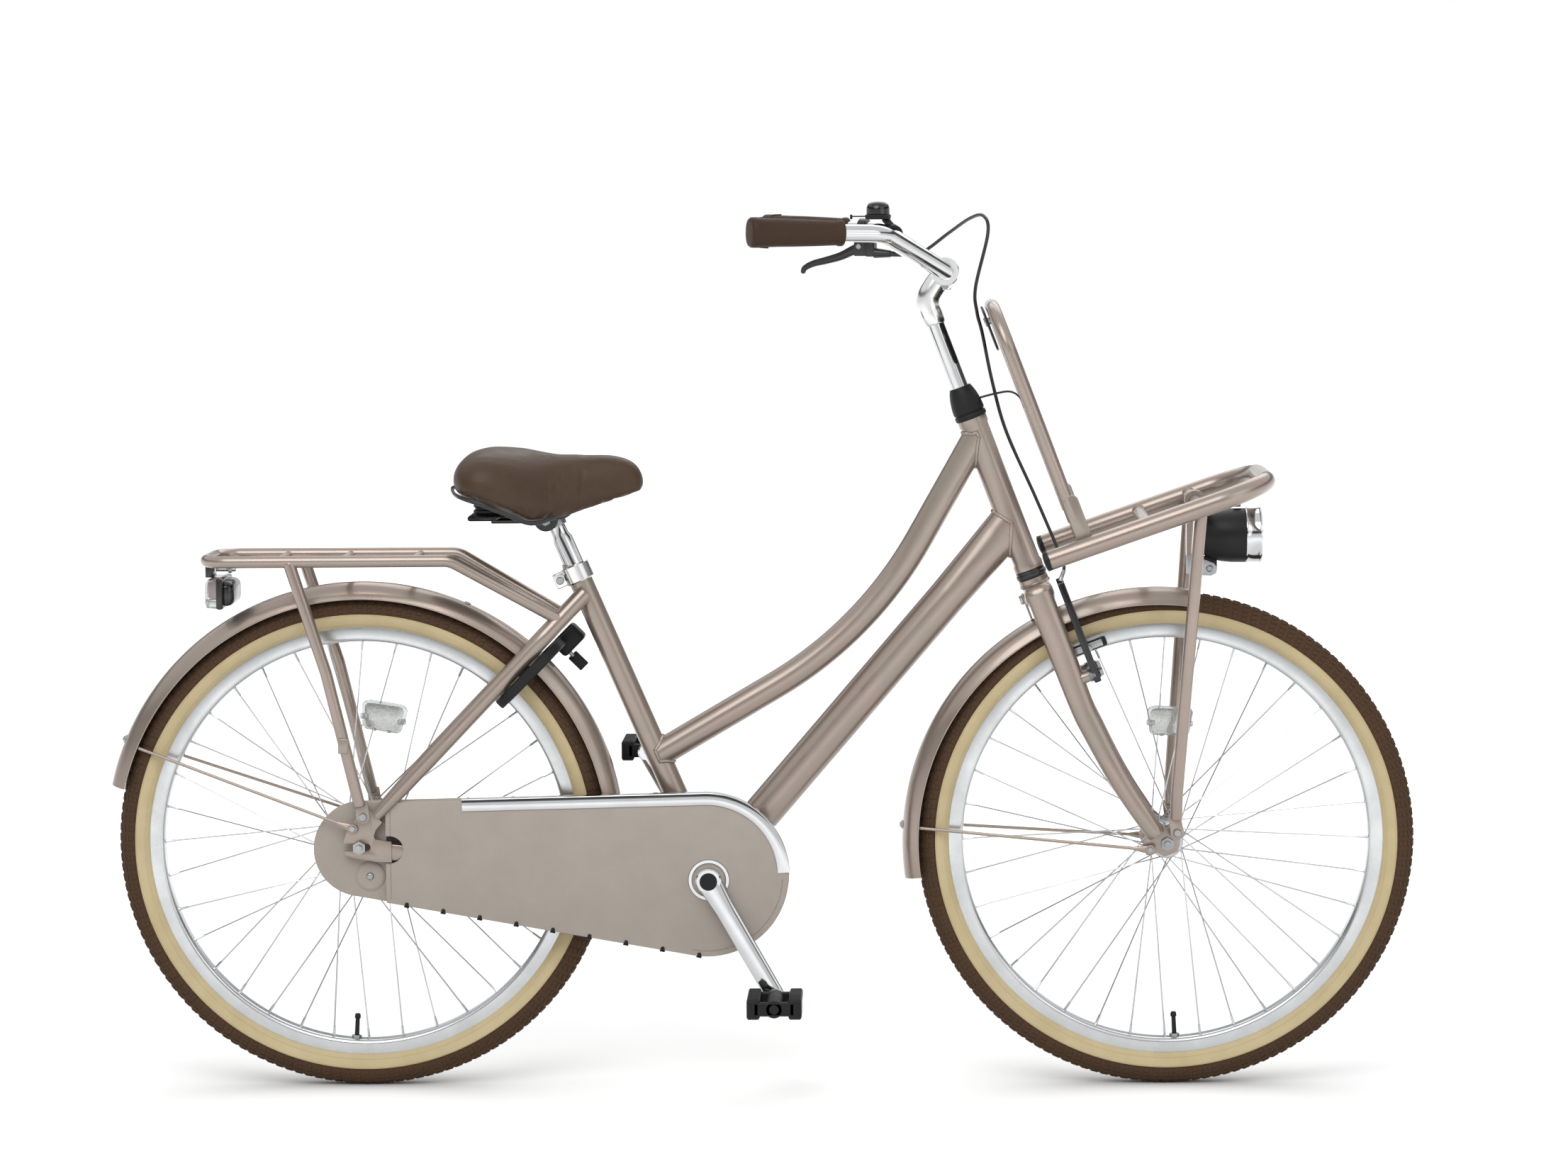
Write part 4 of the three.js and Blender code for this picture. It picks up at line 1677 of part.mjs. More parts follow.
function lampBracket() {
  const bar = crossBarPoint();
  const clampOuter = crossBarDiameter + 4 * bracketSheet;
  const ring = crossRod(bar.x, bar.z, -bracketHalf, bracketHalf, clampOuter, 12);
  const plateHeight = bar.z - lampPivot.z + lampEarHeight / 2;
  const strip = block(at(bracketBack + bracketSheet / 2, 0, bar.z - plateHeight / 2), at(bracketSheet, 2 * bracketHalf, plateHeight));
  const ears = [right, left].map((way) => {
    const [from, to] = [way * bracketHalf, way * (bracketHalf - lampEarThickness)].sort((a, b) => a - b);
    return plate([[bracketBack, lampPivot.z - lampEarHeight / 2], ...arc(lampPivot.x, lampPivot.z, lampEarHeight / 2,
      -quarterTurn, quarterTurn, 4), [bracketBack, lampPivot.z + lampEarHeight / 2]], from, to);
  });
  const pin = crossRod(lampPivot.x, lampPivot.z, -bracketHalf, bracketHalf, lampPin, 8);
  const bore = crossRod(bar.x, bar.z, -bracketHalf * 2, bracketHalf * 2, crossBarDiameter + 2 * runningGap, 12);
  return joined(cutBy(joined(ring, strip), bore), ...ears, pin);
}
piece('headlamp_bracket', lampBracket(), blackMetal(), steering);

function headlamp() {
  const body = solid(new THREE.LatheGeometry([...lampProfile].reverse().map(([r, x]) => new THREE.Vector2(r, x)), roundSides)
    .rotateZ(-quarterTurn).translate(0, 0, lampMiddle.z));
  const lug = plate([[lampPivot.x - lampEarHeight / 2, lampMiddle.z], [lampPivot.x - lampEarHeight / 2, lampPivot.z],
    ...arc(lampPivot.x, lampPivot.z, lampEarHeight / 2, Math.PI, fullTurn, 6), [lampPivot.x + lampEarHeight / 2, lampMiddle.z]],
  -lampLugWidth / 2, lampLugWidth / 2);
  const bore = crossRod(lampPivot.x, lampPivot.z, -lampLugWidth, lampLugWidth, lampPin + 2 * runningGap, 8);
  const pocket = rod(at(buttonAt.x, 0, buttonAt.z - buttonLength - buttonTravel - runningGap), at(buttonAt.x, 0, buttonAt.z + cutOverrun),
    buttonDiameter + 2 * runningGap, buttonDiameter + 2 * runningGap, 10);
  return cutBy(joined(body, lug), bore, pocket);
}
piece('headlamp', headlamp(), blackPlastic(), steering);
piece('headlamp_button', rod(at(buttonAt.x, 0, buttonAt.z - buttonLength), buttonAt, buttonDiameter, buttonDiameter, 10),
  blackPlastic(), steering);

// The origin lies on the ground under the middle of the whole length
bicycle.position.x = -(wheelbase + wheelRadius + rearGuard.radius * Math.cos(rearGuard.to)) / 2;

export default bicycle;
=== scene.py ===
"""A step-through city bicycle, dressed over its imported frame.

Every place is written as in the drawing of the part: millimetres from the ground under the rear axle,
+X forward, +Y to the rider's left, +Z up. Stock.object and to_frame turn them into the frame's metres.
"""

from __future__ import annotations

import json
import logging
from dataclasses import dataclass, field
from enum import IntEnum
from math import acos, atan2, ceil, copysign, cos, degrees, hypot, pi, radians, sin, sqrt, tan
from typing import Iterable, Sequence

import bmesh
import bpy
from bmesh.types import BMesh, BMVert
from bpy.types import ID, Material, Mesh, Node, NodeSocket, NodeTree, Object
from mathutils import Matrix, Quaternion, Vector

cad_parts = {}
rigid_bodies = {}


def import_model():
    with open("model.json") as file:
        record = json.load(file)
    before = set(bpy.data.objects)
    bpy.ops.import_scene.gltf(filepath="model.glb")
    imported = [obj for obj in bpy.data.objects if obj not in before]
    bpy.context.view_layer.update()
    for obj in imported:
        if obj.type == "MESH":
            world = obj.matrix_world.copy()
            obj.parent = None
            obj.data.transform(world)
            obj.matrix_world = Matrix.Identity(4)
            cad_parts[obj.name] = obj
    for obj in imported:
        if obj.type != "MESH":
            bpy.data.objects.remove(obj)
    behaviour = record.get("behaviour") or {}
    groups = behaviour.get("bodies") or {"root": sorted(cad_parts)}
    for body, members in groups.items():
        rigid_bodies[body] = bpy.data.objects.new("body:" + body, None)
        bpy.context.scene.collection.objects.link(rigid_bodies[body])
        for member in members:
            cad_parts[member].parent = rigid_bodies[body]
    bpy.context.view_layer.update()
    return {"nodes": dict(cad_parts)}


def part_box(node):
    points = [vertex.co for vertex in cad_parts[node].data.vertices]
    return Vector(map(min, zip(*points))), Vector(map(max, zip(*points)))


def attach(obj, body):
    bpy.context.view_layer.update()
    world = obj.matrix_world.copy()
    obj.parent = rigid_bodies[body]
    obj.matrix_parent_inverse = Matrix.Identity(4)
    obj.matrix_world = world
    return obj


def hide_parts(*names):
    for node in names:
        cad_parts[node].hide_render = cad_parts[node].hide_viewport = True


LOG = logging.getLogger("bicycle")
MM = 0.001
FULL_TURN = 2 * pi
NO_TURN = 1e-4
ON_AXIS = 1e-6
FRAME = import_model()
REAR_AXLE_X = sum(corner.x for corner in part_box("rear_axle")) / 2

Point = tuple[float, float, float]


class Side(IntEnum):
    """The bicycle's two sides, as the sign of Y."""

    RIGHT = -1
    LEFT = 1

    @property
    def word(self) -> str:
        """The side as it stands in names."""
        return self.name.lower()


@dataclass(frozen=True)
class Layout:
    """The driving dimensions of the bicycle, in millimetres and degrees, as in the drawing."""

    wheel_radius: float = 326.5
    tyre_width: float = 47
    bead_radius: float = 279.5
    rim_flange: float = 6.5
    rim_width: float = 27
    rim_depth: float = 20
    rim_neck: float = 14
    wheelbase: float = 1058
    bracket_x: float = 458
    bracket_drop: float = 45.2
    seat_lean: float = 23.3
    steering_lean: float = 20.7
    fork_offset: float = 40
    crank_length: float = 175
    crank_angle: float = -60
    chain_line: float = 42

    @property
    def bracket(self) -> Vector:
        """The bottom bracket's middle."""
        return Vector((self.bracket_x, 0, self.wheel_radius - self.bracket_drop))

    @property
    def front_axle(self) -> Vector:
        """The front axle's middle."""
        return Vector((self.wheelbase, 0, self.wheel_radius))

    @property
    def rear_axle(self) -> Vector:
        """The rear axle's middle."""
        return Vector((0, 0, self.wheel_radius))


SIZES = Layout()


def v(x: float, y: float, z: float) -> Vector:
    """A point of the drawing."""
    return Vector((x, y, z))


def toward(turn: float) -> Vector:
    """The direction in the wheels' plane at a turn from +X toward +Z."""
    return v(cos(turn), 0, sin(turn))


def leaned(degrees_back: float) -> Matrix:
    """The turn of what leans back by an angle."""
    return Matrix.Rotation(-radians(degrees_back), 3, "Y")


def on_seat_tube(along: float, ahead: float = 0, side: float = 0) -> Vector:
    """A point measured up the seat tube from the bottom bracket.

    Args:
        along: the distance along it.
        ahead: how far before it.
        side: how far to the left.

    Returns:
        The point.
    """
    turn = radians(SIZES.seat_lean)
    up = v(-sin(turn), 0, cos(turn))
    forward = toward(turn)
    return SIZES.bracket + up * along + forward * ahead + v(0, side, 0)


def on_steering(along: float, ahead: float = 0, side: float = 0) -> Vector:
    """A point measured up the steering axis from its foot, level with the front axle's offset.

    Args:
        along: the distance along it.
        ahead: how far before it.
        side: how far to the left.

    Returns:
        The point.
    """
    turn = radians(SIZES.steering_lean)
    up = v(-sin(turn), 0, cos(turn))
    forward = toward(turn)
    return SIZES.front_axle - forward * SIZES.fork_offset + up * along + forward * ahead + v(0, side, 0)


def steered(points: Iterable[Vector]) -> list[Vector]:
    """Points given as (ahead, side, along) of the steering, in the drawing's frame."""
    return [on_steering(p.z, p.x, p.y) for p in points]


def bent(corners: Sequence[Vector], radius: float, step: float = 4) -> list[Vector]:
    """A polyline with its corners rounded.

    Args:
        corners: the corner points.
        radius: the bend radius.
        step: the turn between two points of a bend, in degrees.

    Returns:
        The points of the rounded line.
    """
    points = [corners[0].copy()]
    for before, here, after in zip(corners, corners[1:], corners[2:]):
        arrive = (here - before).normalized()
        leave = (after - here).normalized()
        turn = arrive.angle(leave)
        if turn < NO_TURN:
            points.append(here.copy())
            continue
        inward = (leave - arrive).normalized()
        centre = here + inward * (radius / cos(turn / 2))
        spoke = here - arrive * (radius * tan(turn / 2)) - centre
        axis = arrive.cross(leave).normalized()
        count = max(1, ceil(degrees(turn) / step))
        points += [centre + Quaternion(axis, turn * k / count) @ spoke for k in range(count + 1)]
    return points + [corners[-1].copy()]


def blend(a: Vector, b: Vector, c: Vector, d: Vector, t: float) -> Vector:
    """A smooth curve's point between the middle two of four, at the share t of the way."""
    return (b * 2 + (c - a) * t + (a * 2 - b * 5 + c * 4 - d) * t * t + (b * 3 - a - c * 3 + d) * t ** 3) / 2


def smooth_route(points: Sequence[Vector], each: int = 8) -> list[Vector]:
    """A smooth line through chosen points.

    Args:
        points: the points that the line passes.
        each: the steps between two of them.

    Returns:
        The points of the smooth line.
    """
    ends = [points[0] * 2 - points[1], *points, points[-1] * 2 - points[-2]]
    line = []
    for a, b, c, d in zip(ends, ends[1:], ends[2:], ends[3:]):
        line += [blend(a, b, c, d, k / each) for k in range(each)]
    return line + [points[-1].copy()]


def tangent(line: Sequence[Vector], i: int) -> Vector:
    """The direction of a line at its point i."""
    return (line[min(i + 1, len(line) - 1)] - line[max(i - 1, 0)]).normalized()


def circle_arc(centre: Vector, radius: float, start: float, end: float, count: int) -> list[Vector]:
    """The points of an arc in the wheels' plane, its angles in degrees from +X toward +Z."""
    turns = [radians(start + (end - start) * i / count) for i in range(count + 1)]
    return [centre + v(radius * cos(t), 0, radius * sin(t)) for t in turns]


def linked(name: str, data: ID) -> Object:
    """A new object in the scene.

    Args:
        name: its name.
        data: its mesh, lamp or camera.

    Returns:
        The object.
    """
    made = bpy.data.objects.new(name, data)
    bpy.context.scene.collection.objects.link(made)
    return made


def shaded(data: Mesh, sharp: float) -> None:
    """Smooth shading, broken at the edges past an angle in degrees."""
    data.shade_smooth()
    data.set_sharp_from_angle(angle=radians(sharp))


def evaluated(piece: Object) -> Mesh:
    """A piece's mesh with its modifiers applied.

    Args:
        piece: the piece.

    Returns:
        A plain mesh.
    """
    graph = bpy.context.evaluated_depsgraph_get()
    graph.update()
    return bpy.data.meshes.new_from_object(piece.evaluated_get(graph))


class Stock:
    """Mesh under construction: shapes are added in millimetres, then finished as one object."""

    def __init__(self) -> None:
        """Starts an empty mesh."""
        self.mesh = bmesh.new()
        self.slot = 0

    def _faces(self, rings: list[list[BMVert]], closed: bool) -> None:
        """Joins rings of points by quads, and the last ring to the first where closed.

        Args:
            rings: the rings, all of one length.
            closed: True to close the row.
        """
        pairs = list(zip(rings, rings[1:]))
        if closed:
            pairs.append((rings[-1], rings[0]))
        for one, two in pairs:
            for j in range(len(one)):
                k = (j + 1) % len(one)
                corners = [one[j], one[k], two[k], two[j]]
                unique = [c for i, c in enumerate(corners) if c not in corners[:i]]
                if len(unique) > 2:
                    self.mesh.faces.new(unique).material_index = self.slot

    def _ring(self, points: Iterable[Vector]) -> list[BMVert]:
        """New points of the mesh."""
        return [self.mesh.verts.new(p) for p in points]

    def loft(self, rings: Sequence[Sequence[Vector]], closed: bool = False, capped: bool = True) -> Stock:
        """A skin over rings of points.

        Args:
            rings: the rings, each with the same number of points.
            closed: True where the last ring joins the first.
            capped: True where flat faces close the ends.

        Returns:
            This stock.
        """
        made = [self._ring(r) for r in rings]
        self._faces(made, closed)
        if capped and not closed:
            for ring in (list(reversed(made[0])), made[-1]):
                self.mesh.faces.new(ring).material_index = self.slot
        return self

    def tube(self, points: Sequence[Vector], diameter: float | Sequence[float], sides: int = 28,
            flat: Sequence[float] | float = 1.0, rounded: float = 0) -> Stock:
        """A tube along points, its section oval where flat isn't 1.

        Args:
            points: the middle line.
            diameter: one diameter, or one for each point.
            sides: the facets round the tube.
            flat: the section's width across the wheels' plane as a share of its height.
            rounded: the length over which the ends round off.

        Returns:
            This stock.
        """
        line = [p.copy() for p in points]
        wide = list(diameter) if isinstance(diameter, (list, tuple)) else [diameter] * len(line)
        share = list(flat) if isinstance(flat, (list, tuple)) else [flat] * len(line)
        ways = []
        for i, here in enumerate(line):
            before, after = line[max(i - 1, 0)], line[min(i + 1, len(line) - 1)]
            way = ((here - before).normalized() + (after - here).normalized()).normalized()
            ways.append(way)
        across = ways[0].cross(v(0, 1, 0))
        if across.length < 0.2:
            across = ways[0].cross(v(1, 0, 0))
        across.normalize()
        rings = []
        for i, (here, way) in enumerate(zip(line, ways)):
            if i:
                across = ways[i - 1].rotation_difference(way) @ across
            across = (across - way * across.dot(way)).normalized()
            other = way.cross(across)
            rings.append((here, across.copy(), other, way, wide[i] / 2, share[i]))
        ends = []
        if rounded:
            for index, sign in ((0, -1), (-1, 1)):
                here, a, b, way, radius, s = rings[index]
                extra = []
                for k in range(1, 4):
                    t = k / 4 * pi / 2
                    extra.append((here + way * (sign * rounded * sin(t)), a, b, way,
                        radius * (1 - rounded / radius * (1 - cos(t))) if rounded < radius else radius * cos(t), s))
                ends.append(extra)
            rings = list(reversed(ends[0])) + rings + ends[1]
        loops = []
        for here, a, b, way, radius, s in rings:
            loops.append([here + a * (radius * cos(FULL_TURN * j / sides)) + b
                * (radius * s * sin(FULL_TURN * j / sides)) for j in range(sides)])
        return self.loft(loops)

    def rod(self, start: Vector, end: Vector, diameter: float, other: float | None = None, sides: int = 28,
            bevel: float = 0.4) -> Stock:
        """A cylinder or cone with broken edges between two points.

        Args:
            start, end: the middles of its ends.
            diameter: at the start.
            other: at the end, where it differs.
            sides: the facets round it.
            bevel: how far its edges are broken.

        Returns:
            This stock.
        """
        other = diameter if other is None else other
        way = (end - start).normalized()
        cut = min(bevel, diameter / 4, other / 4, (end - start).length / 4)
        line = [start, start + way * cut, end - way * cut, end]
        return self.tube(line, [diameter - 2 * cut, diameter, other, other - 2 * cut], sides)

    def cross(self, x: float, z: float, start: float, end: float, diameter: float, sides: int = 28,
            bevel: float = 0.4) -> Stock:
        """A cylinder across the bicycle."""
        return self.rod(v(x, start, z), v(x, end, z), diameter, None, sides, bevel)

    def lathe(self, profile: Sequence[tuple[float, float]], centre: Vector, axis: Vector, steps: int = 96,
            closed: bool = False) -> Stock:
        """A turned shape.

        Args:
            profile: points of (radius, distance along the axis); a radius of 0 closes an end.
            centre: where the distance is 0.
            axis: the axis of the turn.
            steps: the facets round it.
            closed: True where the profile's last point joins its first.

        Returns:
            This stock.
        """
        axis = axis.normalized()
        one = axis.orthogonal().normalized()
        two = axis.cross(one)
        rows = []
        for radius, along in profile:
            if radius < ON_AXIS:
                rows.append([self.mesh.verts.new(centre + axis * along)] * steps)
                continue
            rows.append(self._ring(centre + axis * along + one * (radius * cos(FULL_TURN * j / steps)) + two
                * (radius * sin(FULL_TURN * j / steps)) for j in range(steps)))
        self._faces(rows, closed)
        return self

    def plate(self, outline: Sequence[Vector], depth: Vector, holes: Sequence[Sequence[Vector]] = (),
            bevel: float = 0.5) -> Stock:
        """A flat plate: an outline carried along depth, with its outer edges broken.

        Args:
            outline: the corner points, in one plane.
            depth: the plate's thickness and direction.
            holes: outlines of openings in it.
            bevel: how far the edges are broken.

        Returns:
            This stock.
        """
        work = bmesh.new()
        loops = [list(outline), *map(list, holes)]
        for loop in loops:
            made = [work.verts.new(p) for p in loop]
            for a, b in zip(made, made[1:] + made[:1]):
                work.edges.new((a, b))
        bmesh.ops.triangle_fill(work, use_beauty=True, edges=work.edges[:], normal=depth.normalized())
        bmesh.ops.dissolve_limit(work, angle_limit=0.001, verts=work.verts[:], edges=work.edges[:])
        made = bmesh.ops.extrude_face_region(work, geom=work.faces[:])["geom"]
        bmesh.ops.translate(work, vec=depth, verts=[g for g in made if isinstance(g, BMVert)])
        bmesh.ops.recalc_face_normals(work, faces=work.faces[:])
        if bevel:
            way = depth.normalized()
            edges = [e for e in work.edges if len(e.link_faces) == 2 and e.calc_face_angle(0) > 0.6
                and abs((e.verts[0].co - e.verts[1].co).normalized().dot(way)) < 0.5]
            bmesh.ops.bevel(work, geom=edges, offset=bevel, segments=2, profile=0.5, affect="EDGES", clamp_overlap=True)
        return self.take(work)

    def block(self, centre: Vector, size: Vector, bevel: float = 1.0, turn: Matrix | None = None,
            steps: int = 3) -> Stock:
        """A box with rounded edges, turned about its own middle where turn is given.

        Args:
            centre, size: its middle and its measures.
            bevel: how far its edges are rounded.
            turn: its rotation.
            steps: the facets of a rounded edge.

        Returns:
            This stock.
        """
        work = bmesh.new()
        bmesh.ops.create_cube(work, size=1)
        bmesh.ops.scale(work, vec=size, verts=work.verts[:])
        bmesh.ops.bevel(work, geom=work.edges[:], offset=min(bevel, min(size) / 2.2), segments=steps, profile=0.5,
            affect="EDGES", clamp_overlap=True)
        if turn is not None:
            bmesh.ops.transform(work, matrix=turn.to_4x4(), verts=work.verts[:])
        bmesh.ops.translate(work, vec=centre, verts=work.verts[:])
        return self.take(work)

    def take(self, work: BMesh) -> Stock:
        """Adds another mesh to this one and frees it.

        Args:
            work: the other mesh.

        Returns:
            This stock.
        """
        for face in work.faces:
            face.material_index = self.slot
        data = bpy.data.meshes.new("stock")
        work.to_mesh(data)
        work.free()
        self.mesh.from_mesh(data)
        bpy.data.meshes.remove(data)
        return self

    def use(self, index: int) -> Stock:
        """The shapes that follow take this finish of the object's list."""
        self.slot = index
        return self

    def object(self, name: str, finishes: Sequence[Finish], sharp: float = 38) -> Object:
        """The finished piece, in the frame's metres.

        Args:
            name: the piece's name.
            finishes: its materials, in the order of their indices.
            sharp: the angle past which an edge stays sharp, in degrees.

        Returns:
            The object, linked to the scene.
        """
        metres = Matrix.Translation((REAR_AXLE_X, 0, 0)) @ Matrix.Scale(MM, 4)
        bmesh.ops.transform(self.mesh, matrix=metres, verts=self.mesh.verts[:])
        bmesh.ops.recalc_face_normals(self.mesh, faces=self.mesh.faces[:])
        data = bpy.data.meshes.new(name)
        self.mesh.to_mesh(data)
        self.mesh.free()
        shaded(data, sharp)
        for finish in finishes:
            data.materials.append(finish.made())
        return linked(name, data)

    def fit(self, name: str, finishes: Sequence[Finish], sharp: float, body: str, slot: str, *nodes: str) -> None:
        """Finishes the piece and fixes it to its body; the arguments are those of object and place."""
        place(self.object(name, finishes, sharp), body, slot, *nodes)


def place(piece: Object, body: str, slot: str, *nodes: str) -> None:
    """Fixes a piece to the body that carries it.

    Args:
        piece: the finished piece.
        body: the CAD body that it moves with.
        slot: the record's material slot for the piece; not used.
        nodes: the CAD nodes that it stands for.
    """
    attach(piece, body)
    if nodes:
        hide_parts(*nodes)
    LOG.info("%s rides on %s", piece.name, body)


def linear(code: str) -> tuple[float, float, float, float]:
    """An sRGB hex value as linear colour.

    Args:
        code: the value, with its #.

    Returns:
        Red, green, blue and alpha.
    """
    parts = [int(code[i:i + 2], 16) / 255 for i in (1, 3, 5)]
    red, green, blue = (c / 12.92 if c <= 0.04045 else ((c + 0.055) / 1.055) ** 2.4 for c in parts)
    return (red, green, blue, 1.0)


def node(tree: NodeTree, kind: str, settings: dict | None = None, **inputs: object) -> Node:
    """Adds a node.

    Args:
        tree: the node tree.
        kind: the node's type name.
        settings: its properties.
        inputs: its sockets by name, each a value or a socket to link; underscores stand for spaces.

    Returns:
        The node.
    """
    made = tree.nodes.new(kind)
    for name, value in (settings or {}).items():
        setattr(made, name, value)
    for name, value in inputs.items():
        key = int(name[1:]) if name[0] == "i" and name[1:].isdigit() else name.replace("_", " ")
        socket = made.inputs[key]
        if isinstance(value, NodeSocket):
            tree.links.new(value, socket)
        else:
            socket.default_value = value
    return made


@dataclass(frozen=True)
class Finish:
    """A surface: what it is made of, and the grain that its making leaves.

    Sizes are in millimetres. A grain too fine for the render is drawn as coarse as it needs to show.
    """

    name: str
    colour: str
    second: str
    metallic: float = 0.0
    roughness: float = 0.5
    grain: float = 3.0
    bump: float = 0.1
    bump_depth: float = 0.15
    stretch: tuple[float, float, float] = (1, 1, 1)
    worn: float = 0.15
    coat: float = 0.0
    sheen: float = 0.0
    cells: bool = False
    weave: float = 0.0
    clear: float = 0.0
    ior: float = 1.5
    glint: float = 0.5

    def made(self) -> Material:
        """Builds the material, or gives the one already built.

        Returns:
            The material.
        """
        known = bpy.data.materials.get(self.name)
        if known is not None:
            return known
        material = bpy.data.materials.new(self.name)
        material.use_nodes = True
        tree = material.node_tree
        shader = tree.nodes["Principled BSDF"]
        place_at = node(tree, "ShaderNodeTexCoord").outputs["Object"]
        stretched = node(tree, "ShaderNodeMapping", Vector=place_at, Scale=self.stretch).outputs[0]
        cloud = node(tree, "ShaderNodeTexNoise", Vector=place_at, Scale=22.0, Detail=4.0, Roughness=0.6)
        fine = self._grain(tree, stretched)
        mixed = node(tree, "ShaderNodeMapRange", Value=cloud.outputs["Fac"], From_Min=0.35, From_Max=0.7, To_Min=0.0,
            To_Max=1.0)
        blend = node(tree, "ShaderNodeMix", {"data_type": "RGBA"}, i0=mixed.outputs[0], i6=linear(self.colour),
            i7=linear(self.second))
        speck = node(tree, "ShaderNodeMapRange", Value=fine, From_Min=0.0, From_Max=1.0, To_Min=1 - self.worn,
            To_Max=1 + self.worn)
        tone = node(tree, "ShaderNodeVectorMath", {"operation": "SCALE"}, i0=blend.outputs[2], i3=speck.outputs[0])
        tree.links.new(tone.outputs[0], shader.inputs["Base Color"])
        rough = node(tree, "ShaderNodeMapRange", Value=cloud.outputs["Fac"], From_Min=0.3, From_Max=0.75,
            To_Min=max(0.02, self.roughness * 0.85), To_Max=min(1, self.roughness * 1.2))
        tree.links.new(rough.outputs[0], shader.inputs["Roughness"])
        relief = node(tree, "ShaderNodeBump", Strength=self.bump, Distance=self.bump_depth * MM, Height=fine)
        tree.links.new(relief.outputs[0], shader.inputs["Normal"])
        levels = {"Metallic": self.metallic, "Coat Weight": self.coat, "Coat Roughness": 0.08,
            "Sheen Weight": self.sheen, "Transmission Weight": self.clear}
        if not self.metallic:
            levels |= {"IOR": self.ior, "Specular IOR Level": self.glint}
        for label, value in levels.items():
            shader.inputs[label].default_value = value
        return material

    def _grain(self, tree: NodeTree, where: NodeSocket) -> NodeSocket:
        """The fine pattern that shades the colour and lifts the surface.

        Args:
            tree: the material's tree.
            where: the socket of its coordinates.

        Returns:
            The pattern's socket, from 0 to 1.
        """
        scale = 1 / (self.grain * MM)
        if self.weave:
            # Two crossed sets of threads; the panel lies in the wheels' plane, so X and Z carry them
            waves = [node(tree, "ShaderNodeTexWave", {"bands_direction": axis, "wave_profile": "SIN"}, Vector=where,
                Scale=scale * FULL_TURN / 20, Distortion=1.2, Detail=2.0, Detail_Scale=3.0) for axis in ("X", "Z")]
            both = node(tree, "ShaderNodeMath", {"operation": "MAXIMUM"}, i0=waves[0].outputs["Fac"],
                i1=waves[1].outputs["Fac"])
            return both.outputs[0]
        if self.cells:
            cell = node(tree, "ShaderNodeTexVoronoi", {"feature": "F1"}, Vector=where, Scale=scale)
            return cell.outputs["Distance"]
        return node(tree, "ShaderNodeTexNoise", Vector=where, Scale=scale, Detail=3.0, Roughness=0.6).outputs["Fac"]


